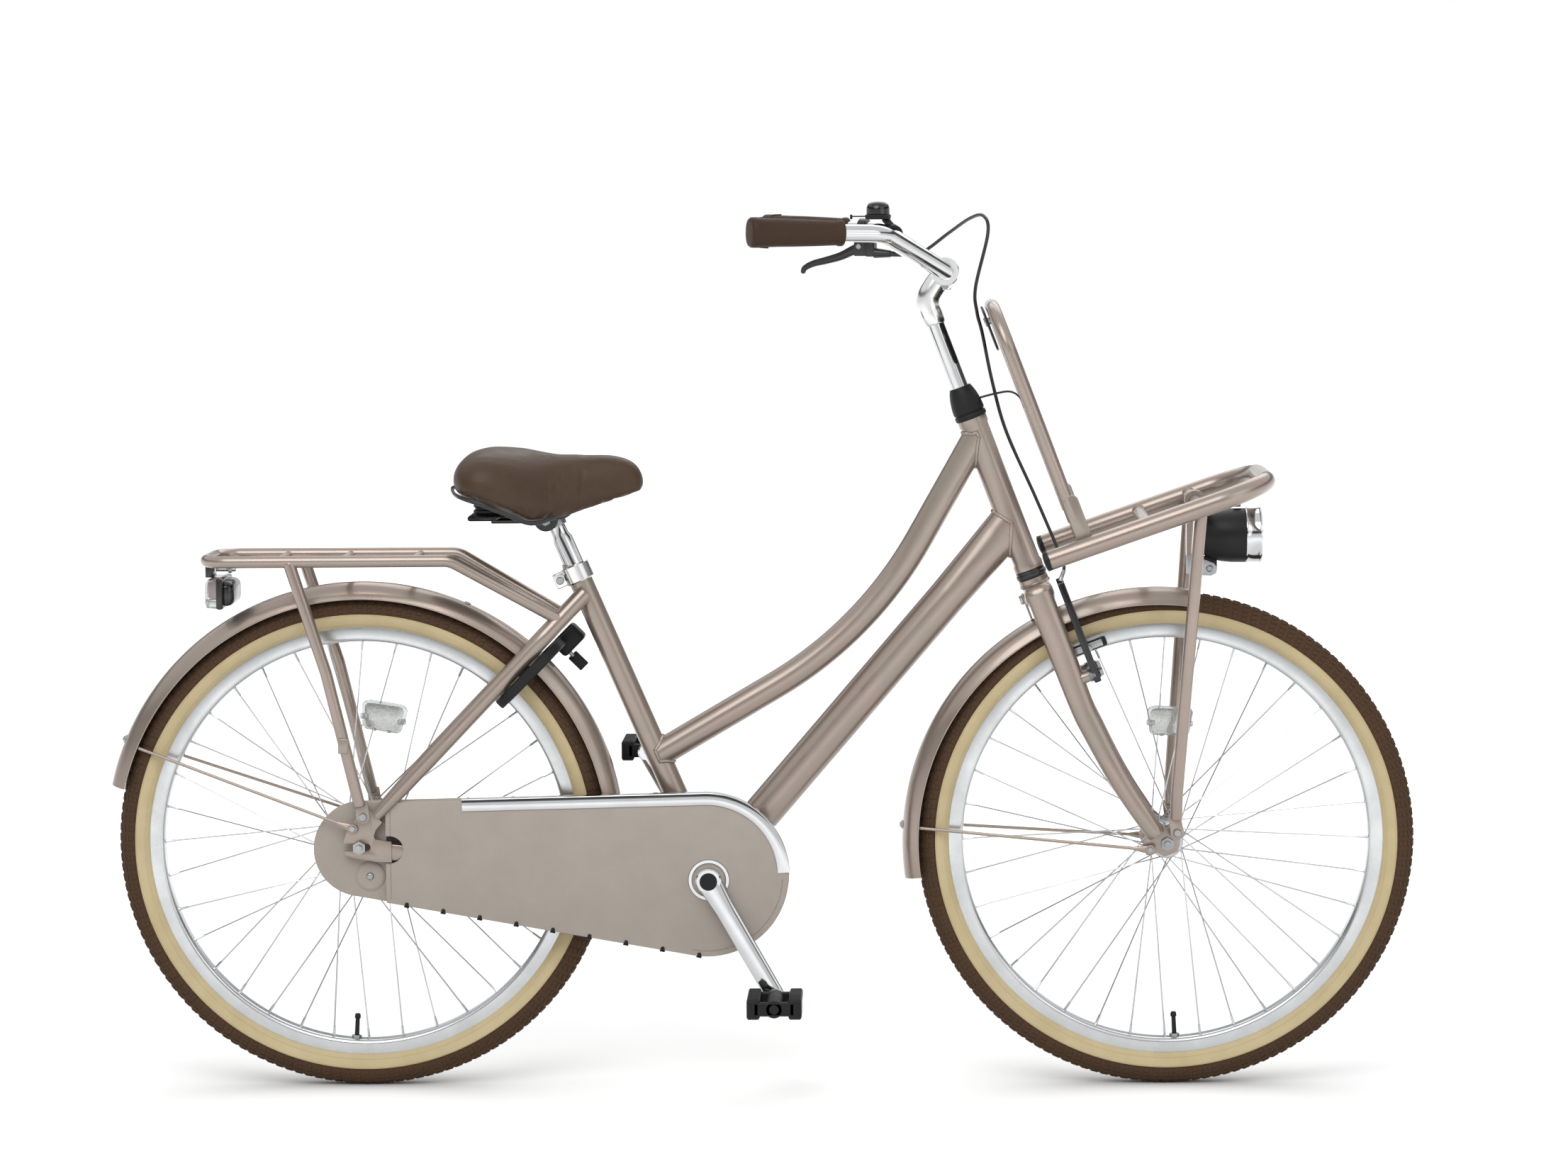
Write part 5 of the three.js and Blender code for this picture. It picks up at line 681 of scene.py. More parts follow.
class Finishes:
    """The bicycle's finishes, named for what they are."""

    # Metallic powder coat, baked: a fine flake under a clear layer with a slight orange peel
    pearl_paint = Finish("pearl_paint", "#a08f86", "#9a9084", metallic=0.6, roughness=0.3, grain=0.9, bump=0.004,
        worn=0.025, coat=0.5)
    # Chromium plate on steel: a mirror with faint haze
    chrome_plate = Finish("chrome_plate", "#c4c5c6", "#bcbdbe", metallic=1.0, roughness=0.07, grain=6, bump=0.004,
        worn=0.01)
    # Anodised aluminium, brushed round its length: streaks across the light
    anodised_alloy = Finish("anodised_alloy", "#b4b6b7", "#adafb0", metallic=1.0, roughness=0.3, grain=1.2,
        stretch=(0.2, 3, 0.2), bump=0.03, worn=0.03)
    # Turned and polished aluminium, bright with a soft edge to its reflections
    polished_alloy = Finish("polished_alloy", "#dedfde", "#d4d5d5", metallic=1.0, roughness=0.2, grain=1.6, bump=0.006,
        worn=0.02)
    # Polished rim: extruded, rolled and anodised
    rim_alloy = Finish("rim_alloy", "#c6c8c9", "#bcbebf", metallic=1.0, roughness=0.26, grain=2.0, bump=0.04, worn=0.04)
    # Zinc plate on drawn steel
    zinc_steel = Finish("zinc_steel", "#a6a8a7", "#94979a", metallic=1.0, roughness=0.36, grain=1.5, bump=0.1, worn=0.1)
    # Painted steel with its zinc-plated bolts
    painted = (pearl_paint, zinc_steel)
    # Polished stainless wire
    spoke_wire = Finish("spoke_wire", "#c2c4c5", "#b2b4b5", metallic=1.0, roughness=0.22, grain=1.0, bump=0.03,
        worn=0.04)
    # Moulded ABS: a spark-eroded grain that dulls the gloss
    moulded_black = Finish("moulded_black", "#121213", "#18181a", roughness=0.5, grain=1.1, bump=0.2, worn=0.12,
        glint=0.3)
    # Glossier moulding, as on the lamp's barrel
    gloss_black = Finish("gloss_black", "#0a0a0b", "#0f0f10", roughness=0.2, grain=2.2, bump=0.04, worn=0.06, coat=0.2)
    # Stoved enamel on forged parts
    black_enamel = Finish("black_enamel", "#0b0b0c", "#111112", roughness=0.3, grain=1.6, bump=0.1, worn=0.1, coat=0.15)
    # Vulcanised rubber: a dry skin with a bloom in its hollows
    tyre_rubber = Finish("tyre_rubber", "#513c2b", "#5b4534", roughness=0.82, grain=1.4, bump=0.4, worn=0.14,
        glint=0.25)
    # Natural-coloured sidewall rubber over the casing's cords
    sidewall_rubber = Finish("sidewall_rubber", "#dcca9f", "#d3c196", roughness=0.72, grain=1.3, bump=0.25, worn=0.06)
    # Soft thermoplastic rubber of the grips
    grip_rubber = Finish("grip_rubber", "#3c2a1e", "#453226", roughness=0.62, grain=1.2, bump=0.22, worn=0.1,
        glint=0.25)
    # Embossed vinyl over foam: leather grain of pebbles about 2 mm across
    saddle_vinyl = Finish("saddle_vinyl", "#443121", "#4e3a2a", roughness=0.5, grain=1.4, bump=0.3, bump_depth=0.2,
        worn=0.08, cells=True, glint=0.35)
    # PVC-coated polyester cloth: threads about 1 mm apart, drawn at 1.6 mm so that they show
    case_cloth = Finish("coated_cloth", "#b4aaa0", "#bab0a6", roughness=0.5, grain=1.6, bump=0.05, worn=0.04, glint=0.3,
        weave=1.0)
    # Polyester sewing thread
    seam_thread = Finish("seam_thread", "#978d83", "#a0968c", roughness=0.8, grain=0.6, bump=0.4, worn=0.15)
    # Polycarbonate lenses
    clear_lens = Finish("clear_lens", "#e9ecec", "#e1e5e6", roughness=0.06, grain=3.0, bump=0.1, worn=0.02, clear=0.7,
        ior=1.58)
    red_lens = Finish("red_lens", "#a3110f", "#8c0d0c", roughness=0.1, grain=2.4, bump=0.3, worn=0.1, cells=True,
        coat=0.4, ior=1.58)
    # Clear prismatic reflector: small corner cubes behind a polished face
    clear_prism = Finish("clear_prism", "#c9cac8", "#b4b6b4", metallic=0.45, roughness=0.16, grain=2.6, bump=0.6,
        worn=0.2, cells=True, coat=0.4)
    # Prismatic reflector: small corner cubes behind an amber face
    amber_prism = Finish("amber_prism", "#d8801a", "#c66f12", roughness=0.14, grain=2.6, bump=0.6, worn=0.15,
        cells=True, coat=0.4, ior=1.58)
    # Vacuum-metallised bowl of the lamp
    mirror_bowl = Finish("mirror_bowl", "#e3e4e4", "#d8d9da", metallic=1.0, roughness=0.06, grain=5, bump=0.05,
        worn=0.02)
    cable_jacket = Finish("cable_jacket", "#0d0d0e", "#131314", roughness=0.4, grain=0.9, bump=0.12, worn=0.08)


class Repeats:
    """Geometry Nodes trees for what repeats round an axis or along a line."""

    @staticmethod
    def _tree(name: str, sockets: Sequence[tuple[str, str]]) -> tuple[NodeTree, Node]:
        """An empty tree with a geometry in and out and named inputs.

        Args:
            name: its name.
            sockets: its inputs, as name and type.

        Returns:
            The tree and the node of its inputs.
        """
        tree = bpy.data.node_groups.new(name, "GeometryNodeTree")
        tree.interface.new_socket("Geometry", in_out="INPUT", socket_type="NodeSocketGeometry")
        for label, kind in sockets:
            tree.interface.new_socket(label, in_out="INPUT", socket_type=kind)
        tree.interface.new_socket("Geometry", in_out="OUTPUT", socket_type="NodeSocketGeometry")
        return tree, node(tree, "NodeGroupInput")

    @staticmethod
    def _finished(tree: NodeTree, copies: Node, given: Node) -> NodeTree:
        """Ends a tree: real copies in the given finish.

        Args:
            tree: the tree.
            copies: the node that gives the instances.
            given: the node of its inputs.

        Returns:
            The tree.
        """
        real = node(tree, "GeometryNodeRealizeInstances", Geometry=copies.outputs[0])
        coloured = node(tree, "GeometryNodeSetMaterial", Geometry=real.outputs[0], Material=given.outputs["Finish"])
        node(tree, "NodeGroupOutput", i0=coloured.outputs[0])
        return tree

    @classmethod
    def round_axis(cls) -> NodeTree:
        """Copies of a pattern piece turned round an axis across the bicycle.

        Returns:
            The tree.
        """
        known = bpy.data.node_groups.get("round_axis")
        if known is not None:
            return known
        tree, given = cls._tree("round_axis", [("Count", "NodeSocketInt"), ("Centre", "NodeSocketVector"),
            ("Sweep", "NodeSocketFloat"), ("Finish", "NodeSocketMaterial")])
        points = node(tree, "GeometryNodePoints", Count=given.outputs["Count"], Position=given.outputs["Centre"])
        number = node(tree, "GeometryNodeInputIndex").outputs[0]
        share = node(tree, "ShaderNodeMath", {"operation": "DIVIDE"}, i0=number, i1=given.outputs["Count"])
        turn = node(tree, "ShaderNodeMath", {"operation": "MULTIPLY"}, i0=share.outputs[0], i1=given.outputs["Sweep"])
        angles = node(tree, "ShaderNodeCombineXYZ", Y=turn.outputs[0])
        copies = node(tree, "GeometryNodeInstanceOnPoints", Points=points.outputs[0],
            Instance=given.outputs["Geometry"], Rotation=angles.outputs[0])
        return cls._finished(tree, copies, given)

    @classmethod
    def along_line(cls) -> NodeTree:
        """Copies of a pattern piece along a line of edges, each turned along it.

        Returns:
            The tree.
        """
        known = bpy.data.node_groups.get("along_line")
        if known is not None:
            return known
        tree, given = cls._tree("along_line", [("Pattern", "NodeSocketObject"), ("Pitch", "NodeSocketFloat"),
            ("Up", "NodeSocketVector"), ("Finish", "NodeSocketMaterial")])
        curve = node(tree, "GeometryNodeMeshToCurve", Mesh=given.outputs["Geometry"])
        spaced = node(tree, "GeometryNodeResampleCurve", {"mode": "LENGTH"}, Curve=curve.outputs[0],
            Length=given.outputs["Pitch"])
        pattern = node(tree, "GeometryNodeObjectInfo", Object=given.outputs["Pattern"])
        tangent = node(tree, "GeometryNodeInputTangent").outputs[0]
        facing = node(tree, "FunctionNodeAxesToRotation", {"primary_axis": "X", "secondary_axis": "Z"}, i0=tangent,
            i1=given.outputs["Up"])
        copies = node(tree, "GeometryNodeInstanceOnPoints", Points=spaced.outputs[0],
            Instance=pattern.outputs["Geometry"], Rotation=facing.outputs[0])
        return cls._finished(tree, copies, given)

    @staticmethod
    def _apply(name: str, carrier: Object, tree: NodeTree, inputs: dict[str, object]) -> Object:
        """Runs a tree on a carrier object and gives the result as a plain mesh object.

        Args:
            name: the result's name.
            carrier: the object that the tree starts from, which is deleted.
            tree: the tree.
            inputs: the values of its sockets, by name.

        Returns:
            The piece.
        """
        modifier = carrier.modifiers.new("repeat", "NODES")
        modifier.node_group = tree
        ids = {item.name: item.identifier for item in tree.interface.items_tree if item.in_out == "INPUT"}
        for label, value in inputs.items():
            modifier[ids[label]] = value
        data = evaluated(carrier)
        bpy.data.objects.remove(carrier)
        data.name = name
        data.materials.clear()
        data.materials.append(inputs["Finish"])
        data.polygons.foreach_set("material_index", [0] * len(data.polygons))
        shaded(data, 40)
        return linked(name, data)

    @classmethod
    def ring(cls, name: str, stock: Stock, centre: Vector, count: int, finish: Finish,
            sweep: float = FULL_TURN) -> Object:
        """A pattern, drawn about the origin of the drawing, repeated round an axis across the bicycle.

        Args:
            name: the piece's name.
            stock: the pattern, in millimetres about its own zero.
            centre: where the axis passes, in the drawing.
            count: how many copies.
            finish: their finish.
            sweep: the turn that they fill.

        Returns:
            The piece.
        """
        pattern = cls._pattern(stock)
        middle = to_frame(centre)
        return cls._apply(name, pattern, cls.round_axis(), {"Count": count, "Centre": tuple(middle), "Sweep": sweep,
            "Finish": finish.made()})

    @classmethod
    def line(cls, name: str, stock: Stock, points: Sequence[Vector], pitch: float, up: Vector,
            finish: Finish) -> Object:
        """A pattern repeated along a line.

        Args:
            name: the piece's name.
            stock: the pattern, in millimetres about its own zero, its length along X.
            points: the line's points, in the drawing.
            pitch: the spacing along it, in millimetres.
            up: where the pattern's Z faces.
            finish: the copies' finish.

        Returns:
            The piece.
        """
        pattern = cls._pattern(stock)
        data = bpy.data.meshes.new("line")
        data.from_pydata([to_frame(p) for p in points], [(i, i + 1) for i in range(len(points) - 1)], [])
        carrier = linked("line", data)
        piece = cls._apply(name, carrier, cls.along_line(), {"Pattern": pattern, "Pitch": pitch * MM, "Up": tuple(up),
            "Finish": finish.made()})
        bpy.data.objects.remove(pattern)
        return piece

    @staticmethod
    def _pattern(stock: Stock) -> Object:
        """A pattern as an object about the origin, in metres.

        Args:
            stock: its shapes, in millimetres.

        Returns:
            The object.
        """
        bmesh.ops.scale(stock.mesh, vec=(MM, MM, MM), verts=stock.mesh.verts[:])
        bmesh.ops.recalc_face_normals(stock.mesh, faces=stock.mesh.faces[:])
        data = bpy.data.meshes.new("pattern")
        stock.mesh.to_mesh(data)
        stock.mesh.free()
        return linked("pattern", data)


def to_frame(point: Vector) -> Vector:
    """A point of the drawing in the frame's metres."""
    return Vector((point.x * MM + REAR_AXLE_X, point.y * MM, point.z * MM))


@dataclass
class Wheel:
    """One wheel: tyre, rim, laced hub, nipples, valve and side reflectors."""

    name: str
    centre: Vector
    flange_diameter: float
    flange_side: float
    hub_half: float
    reflector_radius: float
    reflector_turn: float
    valve_turn: float
    spokes: int = 36
    spoke_diameter: float = 2.0
    crossings: int = 3
    tread_blocks: int = 150
    tread_edge: float = 88

    def build(self) -> None:
        """Builds the wheel's pieces."""
        self._tyre()
        self._rim()
        self._hub()
        self._laced()
        self._reflector()

    def _section(self, turn: float) -> tuple[float, float]:
        """A point of the tyre's outer section."""
        half = SIZES.tyre_width / 2 - 0.4
        return (SIZES.wheel_radius - 0.8 - half + half * cos(turn), half * sin(turn))

    def _tyre(self) -> None:
        """The tyre's casing with its pale sidewalls, its fine side ribs and its tread."""
        half = SIZES.tyre_width / 2
        lip = SIZES.bead_radius + SIZES.rim_flange
        neck = radians(133)
        steps = 30
        profile = [self._section(neck * (2 * i / steps - 1)) for i in range(steps + 1)]
        profile.insert(0, (lip - 2, -SIZES.rim_width / 2 + 2.4))
        profile.append((lip - 2, SIZES.rim_width / 2 - 2.4))
        stock = Stock().lathe(profile, self.centre, v(0, 1, 0), 160)
        middle = SIZES.wheel_radius - 0.8 - (half - 0.4)
        for face in stock.mesh.faces:
            out = face.calc_center_median() - self.centre
            turn = atan2(abs(out.y), hypot(out.x, out.z) - middle)
            face.material_index = int(turn > radians(self.tread_edge))
        for side in Side:
            for turn, slot in ((self.tread_edge - 1.5, 0), (self.tread_edge + 4, 1), (121, 1)):
                stock.use(slot)
                radius, across = self._section(radians(turn) * side)
                ring = [(radius + 0.5 * cos(a), across + 0.5 * sin(a)) for a in (FULL_TURN * k / 6 for k in range(6))]
                stock.lathe(ring, self.centre, v(0, 1, 0), 120, closed=True)
        stock.fit(f"{self.name}_tyre_casing", [Finishes.tyre_rubber, Finishes.sidewall_rubber], 60, self.name,
            "brown_tyre", f"{self.name.split('_')[0]}_tyre")
        # The tread: a row of chevron blocks on the crown and shoulder blocks beside it
        pitch = FULL_TURN / self.tread_blocks * SIZES.wheel_radius
        pattern = Stock()
        for turn, length, lean in ((-76, 0.4, 0.3), (-62, 0.5, 0.35), (-44, 0.62, 0.3), (-23, 0.66, 0.55), (0, 0.72, 0),
                (23, 0.66, -0.55), (44, 0.62, -0.3), (62, 0.5, -0.35), (76, 0.4, -0.3)):
            angle = radians(turn)
            radius, across = self._section(angle)
            turned = Matrix.Rotation(-angle, 3, "X") @ Matrix.Rotation(lean, 3, "Z")
            pattern.block(v(0, across, radius), v(pitch * length, half * 0.22, 1.9), 0.4, turned, 1)
        tread = Repeats.ring(f"{self.name}_tread", pattern, self.centre, self.tread_blocks, Finishes.tyre_rubber)
        place(tread, self.name, "brown_tyre")

    def _rim(self) -> None:
        """The box rim with its rolled edges and its valve."""
        outer = SIZES.bead_radius + SIZES.rim_flange
        inner = outer - SIZES.rim_depth
        side, neck = SIZES.rim_width / 2, SIZES.rim_neck / 2
        arc = [(inner + 6.0 * (1 - cos(t)), neck + (side - neck) * sin(t)) for t in (pi / 2 * k / 8 for k in range(9))]
        half = [(inner, 0), (inner, neck - 1.5), *arc, (outer - 1.2, side), (outer - 0.4, side - 0.3),
            (outer, side - 0.9), (outer - 0.6, side - 1.6), (SIZES.bead_radius, side - 1.6)]
        profile = [*half, *[(r, -y) for r, y in reversed(half)]]
        stock = Stock().lathe(profile, self.centre, v(0, 1, 0), 180)
        out = v(cos(radians(self.valve_turn)), 0, sin(radians(self.valve_turn)))
        stock.use(1).rod(self.centre + out * inner, self.centre + out * (inner - 26), 6.2, 5.6, 14)
        stock.use(2).rod(self.centre + out * (inner + 1), self.centre + out * (inner - 4), 13, None, 6)
        stock.use(1).rod(self.centre + out * (inner - 26), self.centre + out * (inner - 33), 8.2, 7.4, 14, 1.2)
        stock.fit(f"{self.name}_rim", [Finishes.rim_alloy, Finishes.moulded_black, Finishes.zinc_steel], 30, self.name,
            "alloy", f"{self.name.split('_')[0]}_rim")

    def _hub(self) -> None:
        """The turned hub shell."""
        inner, outer = self.flange_side - 3.5, self.flange_side + 3.5
        barrel = self.flange_diameter * 0.34
        half = [(barrel, 0), (barrel, inner - 12), (barrel + 1.5, inner - 6), (barrel + 5, inner - 2),
            (self.flange_diameter / 2 - 5, inner), (self.flange_diameter / 2 - 0.8, inner),
            (self.flange_diameter / 2, inner + 0.8), (self.flange_diameter / 2, outer - 0.8),
            (self.flange_diameter / 2 - 0.8, outer), (barrel + 3, outer), (barrel + 1, outer + 2),
            (barrel, self.hub_half - 2), (barrel - 1.5, self.hub_half), (5.5, self.hub_half)]
        profile = [*[(r, -y) for r, y in reversed(half)], *half[1:]]
        stock = Stock().lathe(profile, self.centre, v(0, 1, 0), 64)
        stock.fit(f"{self.name}_hub_shell", [Finishes.anodised_alloy], 30, self.name, "steel",
            f"{self.name.split('_')[0]}_hub_and_spokes")

    def _laced(self) -> None:
        """The spokes, crossed three times, with their elbows and nipples."""
        per_side = self.spokes // 2
        step = FULL_TURN / per_side
        rim_radius = SIZES.bead_radius + SIZES.rim_flange - SIZES.rim_depth
        hole_radius = self.flange_diameter / 2 - 2.5
        for side in Side:
            for lean in (-1, 1):
                hole = step * (0.5 if side > 0 else 0) + (0 if lean > 0 else step)
                end = hole + lean * self.crossings * step
                start = v(hole_radius * cos(hole), side * self.flange_side + lean * 2.5, hole_radius * sin(hole))
                tip = v(rim_radius * cos(end), side * 3, rim_radius * sin(end))
                way = (tip - start).normalized()
                bend = start + way * 4
                head = start - v(0, lean * 5, 0)
                pattern = Stock()
                pattern.tube([head, start + v(0, -lean * 1, 0), bend, tip - way * 12], self.spoke_diameter, 8)
                pattern.tube([head + v(0, -lean * 0.8, 0), head + v(0, lean * 0.8, 0)], 4.2, 8)
                pattern.tube([tip - way * 13, tip - way * 3, tip + way * 1], [3.2, 3.4, 4.6], 8)
                name = f"{self.name}_spokes_{side.word}_{'ahead' if lean > 0 else 'back'}"
                made = Repeats.ring(name, pattern, self.centre, per_side // 2, Finishes.spoke_wire)
                place(made, self.name, "steel")

    def _reflector(self) -> None:
        """The clear reflector clipped among the spokes, wider toward the rim."""
        turn = radians(self.reflector_turn)
        out = toward(turn)
        along = v(-sin(turn), 0, cos(turn))
        rim_radius = SIZES.bead_radius + SIZES.rim_flange - SIZES.rim_depth
        share = (rim_radius - self.reflector_radius) / (rim_radius - self.flange_diameter / 2)
        side = -(3 + share * (self.flange_side - 3))
        middle = self.centre + out * self.reflector_radius + v(0, side, 0)
        corners = [(-21, -19.5), (21, -19.5), (26, -16), (30.5, 12), (27, 17.5), (20, 19.5), (-20, 19.5), (-27, 17.5),
            (-30.5, 12), (-26, -16)]
        outline = [middle + along * x + out * z for x, z in corners]
        stock = Stock().plate([p + v(0, 4, 0) for p in outline], v(0, -5.4, 0), (), 1.4)
        inner = [middle + (p - middle) * 0.86 + v(0, -1.4, 0) for p in outline]
        stock.use(1).plate(inner, v(0, -1.8, 0), (), 0.6)
        for way in (-1, 1):
            stock.use(0).block(middle + along * (way * 25) - out * 3, v(11, 8, 7), 1.6)
            stock.block(middle + along * (way * 10) - out * 17 + v(0, 3, 0), v(6, 6, 8), 1.4)
        stock.fit(f"{self.name}_reflector", [Finishes.clear_lens, Finishes.clear_prism], 38, self.name, "black_plastic")


@dataclass
class Frame:
    """The welded frame: tubes, shells, dropouts and welds."""

    head_foot: float = 396
    head_length: float = 213
    head_diameter: float = 36
    top_diameter: float = 36.5
    top_radius: float = 525
    seat_diameter: float = 31.8
    seat_length: float = 447
    stay_diameter: float = 18

    def build(self) -> None:
        """Builds the frame's pieces."""
        self._head()
        self._top()
        self._down()
        self._seat()
        self._chainstays()
        self._seat_stays()
        self._clamp()

    def _head(self) -> None:
        """The head tube, flared at both ends, and the cup under it."""
        foot, top = on_steering(self.head_foot), on_steering(self.head_foot + self.head_length)
        way = (top - foot).normalized()
        flare = [foot, foot + way * 0.6, foot + way * 8, foot + way * 12, top - way * 12, top - way * 8,
            top - way * 0.6, top]
        wide = [self.head_diameter + d for d in (2, 3.2, 3.2, 0, 0, 3.2, 3.2, 2)]
        Stock().tube(flare, wide, 48).fit("head_tube_shell", [Finishes.pearl_paint], 25, "frame", "frame_paint",
            "head_tube")
        cup = Stock()
        start = on_steering(385.3)
        cup.lathe([(14, 0), (18.5, 0), (20, 1.2), (20.4, 3), (20.4, 6), (19.4, 7), (19.4, 10), (14, 10.4)], start, way,
            56)
        cup.fit("lower_headset_cup", [Finishes.black_enamel], 30, "frame", "black_metal", "headset_lower_cup")

    def _weld(self, stock: Stock, points: Sequence[Vector]) -> None:
        """A bead along a joint, with the ripple of a hand weld."""
        line = [a.lerp(b, k / 3) for a, b in zip(points, points[1:]) for k in range(3)] + [points[-1]]
        stock.tube(line, [4.4 + 1.0 * (i % 2) for i in range(len(line))], 10)

    def _ring(self, foot: Vector, way: Vector, diameter: float, wall: tuple[Vector, Vector, float],
            width: float | None = None) -> list[Vector]:
        """The curve where a tube leaves the wall of the tube that it is welded to.

        Args:
            foot: a point on the tube's axis, inside the other tube.
            way: the tube's own direction, outwards.
            diameter: its size in the bicycle's plane.
            wall: the other tube as a point on its axis, its direction and its radius.
            width: its size across, where it is flattened.

        Returns:
            The curve's points, the first repeated at the end.
        """
        point, axis, radius = wall
        across = way.cross(axis).normalized()
        other = way.cross(across)
        run = way - axis * way.dot(axis)
        points = []
        for k in range(41):
            t = FULL_TURN * k / 40
            p = foot + across * ((width or diameter) / 2 * cos(t)) + other * (diameter / 2 * sin(t))
            offset = p - point
            offset -= axis * offset.dot(axis)
            inside = run.dot(offset) ** 2 - run.dot(run) * (offset.dot(offset) - radius ** 2)
            points.append(p + way * ((sqrt(max(inside, 0)) - run.dot(offset)) / run.dot(run)))
        return points

    def _top(self) -> None:
        """The curved top tube, with a bead at each end."""
        low, high = on_seat_tube(172.5), on_steering(586)
        rise, sweep = radians(30.4), radians(60.4)
        way = toward(rise)
        across = v(-sin(sweep), 0, cos(sweep))
        corner = low + way * ((high - low).dot(across) / way.dot(across))
        line = bent([low, corner, high], self.top_radius, 1.5)
        stock = Stock().tube(line, self.top_diameter, 44)
        seat_way = (on_seat_tube(1) - on_seat_tube(0)).normalized()
        self._weld(stock, self._ring(low, way, self.top_diameter, (low, seat_way, self.seat_diameter / 2)))
        end_way = toward(sweep)
        self._weld(stock, self._ring(high, -end_way, self.top_diameter, self._head_wall()))
        stock.fit("top_tube_curve", [Finishes.pearl_paint], 40, "frame", "frame_paint", "top_tube")

    def _head_wall(self) -> tuple[Vector, Vector, float]:
        """The head tube's wall, for the beads on it."""
        return on_steering(500), (on_steering(1) - on_steering(0)).normalized(), self.head_diameter / 2

    def _down(self) -> None:
        """The down tube, flattened where it meets the head."""
        foot, high = SIZES.bracket, on_steering(463)
        length = (high - foot).length
        way = (high - foot).normalized()
        stations = [(18, 42, 42), (50, 46.5, 46.5), (90, 50, 50), (length - 130, 50, 50), (length - 70, 52.5, 44),
            (length - 25, 55, 37.5), (length - 4, 56, 36)]
        line, tall, share = [], [], []
        for (a, h1, w1), (b, h2, w2) in zip(stations, stations[1:]):
            for k in range(6):
                t = k / 6
                line.append(foot + way * (a + (b - a) * t))
                tall.append(h1 + (h2 - h1) * t)
                share.append((w1 + (w2 - w1) * t) / tall[-1])
        line.append(foot + way * stations[-1][0])
        tall.append(56.0)
        share.append(36 / 56)
        stock = Stock().tube(line, tall, 44, share)
        self._weld(stock, self._ring(high, -way, 56, self._head_wall(), 36))
        self._weld(stock, self._ring(foot, way, 43, (foot, v(0, 1, 0), 22)))
        stock.fit("down_tube_oval", [Finishes.pearl_paint], 40, "frame", "frame_paint", "down_tube")

    def _seat(self) -> None:
        """The seat tube and the bottom bracket shell."""
        top = on_seat_tube(self.seat_length)
        stock = Stock().tube([SIZES.bracket, top - v(0, 0, 0.4), top], self.seat_diameter, 44)
        half = 34
        stock.lathe([(17.4, -half), (21, -half), (22, -half + 1), (22, half - 1), (21, half), (17.4, half),
            (17.4, -half)], SIZES.bracket, v(0, 1, 0), 64)
        way = (top - SIZES.bracket).normalized()
        self._weld(stock, self._ring(SIZES.bracket, way, self.seat_diameter, (SIZES.bracket, v(0, 1, 0), 22)))
        stock.fit("seat_tube_and_shell", [Finishes.pearl_paint], 30, "frame", "frame_paint", "seat_tube")

    def _chainstays(self) -> None:
        """The chainstays, their bridge, the dropouts and the kickstand's plate."""
        stock = Stock()
        waist_z = SIZES.wheel_radius - 28
        def height(x: float) -> float:
            """The stays' height at x."""
            return waist_z + (SIZES.bracket.z - waist_z) * (x - 300) / (SIZES.bracket.x - 300)

        for side in Side:
            corners = [v(34, side * 58.8, SIZES.wheel_radius - 7), v(72, side * 56, SIZES.wheel_radius - 10.5),
                v(124, side * 50, SIZES.wheel_radius - 14.5), v(300, side * 36.5, waist_z),
                v(440, side * 25.5, height(440))]
            ends = bent(corners, 120, 3)
            line = [a.lerp(b, k / 4) for a, b in zip(ends, ends[1:]) for k in range(4)] + [ends[-1]]
            # The stay's end is pressed flat where it passes through the chaincase to the dropout
            round_share = [min(1.0, 0.15 + 0.85 * max(0.0, (p.x - 52) / 72)) for p in line]
            stock.tube(line, [self.stay_diameter + 4 * (1 - s) for s in round_share], 28, round_share)
            outline = [v(x * 72, side * 58, SIZES.wheel_radius + z * 72) for x,
                z in ((-0.27, 0.2), (-0.24, 0.29), (-0.2, 0.36), (-0.09, 0.49), (-0.03, 0.66), (0.05, 0.7),
                (0.18, 0.69), (0.42, 0.46), (0.3, 0.32), (0.26, 0.21), (0.28, 0.15), (0.58, 0.1), (0.58, -0.28),
                (0.3, -0.27), (-0.1, -0.2), (-0.27, -0.14))]
            slot = [v(-22, side * 58, SIZES.wheel_radius - 5), *circle_arc(v(9, side * 58, SIZES.wheel_radius), 5, -90,
                90, 10), v(-22, side * 58, SIZES.wheel_radius + 5)]
            outline = outline[:1] + list(reversed(slot)) + outline[-1:] + list(reversed(outline[1:-1]))
            stock.plate(outline, v(0, side * 6, 0), (), 0.6)
        stock.cross(352, height(352), -30, 30, 14, 24)
        stock.block(v(380, 0, height(380)), v(38, 48, 6), 1.2)
        stock.block(v(384, 22.7, height(380) - 10), v(22, 10, 32), 1.2)
        stock.use(1).cross(384, height(380) - 26, 18, 54, 11, 20)
        stock.cross(384, height(380) - 26, 48.5, 54.2, 20, 6, 0.8)
        stock.fit("chainstays_and_dropouts", Finishes.painted, 35, "frame", "frame_paint", "chainstays")

    def _seat_stays(self) -> None:
        """The seat stays and their bridge."""
        foot = v(0.3 * 72, 61, SIZES.wheel_radius + 0.575 * 72)
        top = on_seat_tube(408)
        def spot(share: float, side: float) -> Vector:
            """A point at a share of the stays' length."""
            return v(foot.x + (top.x - foot.x) * share, side, foot.z + (top.z - foot.z) * share)

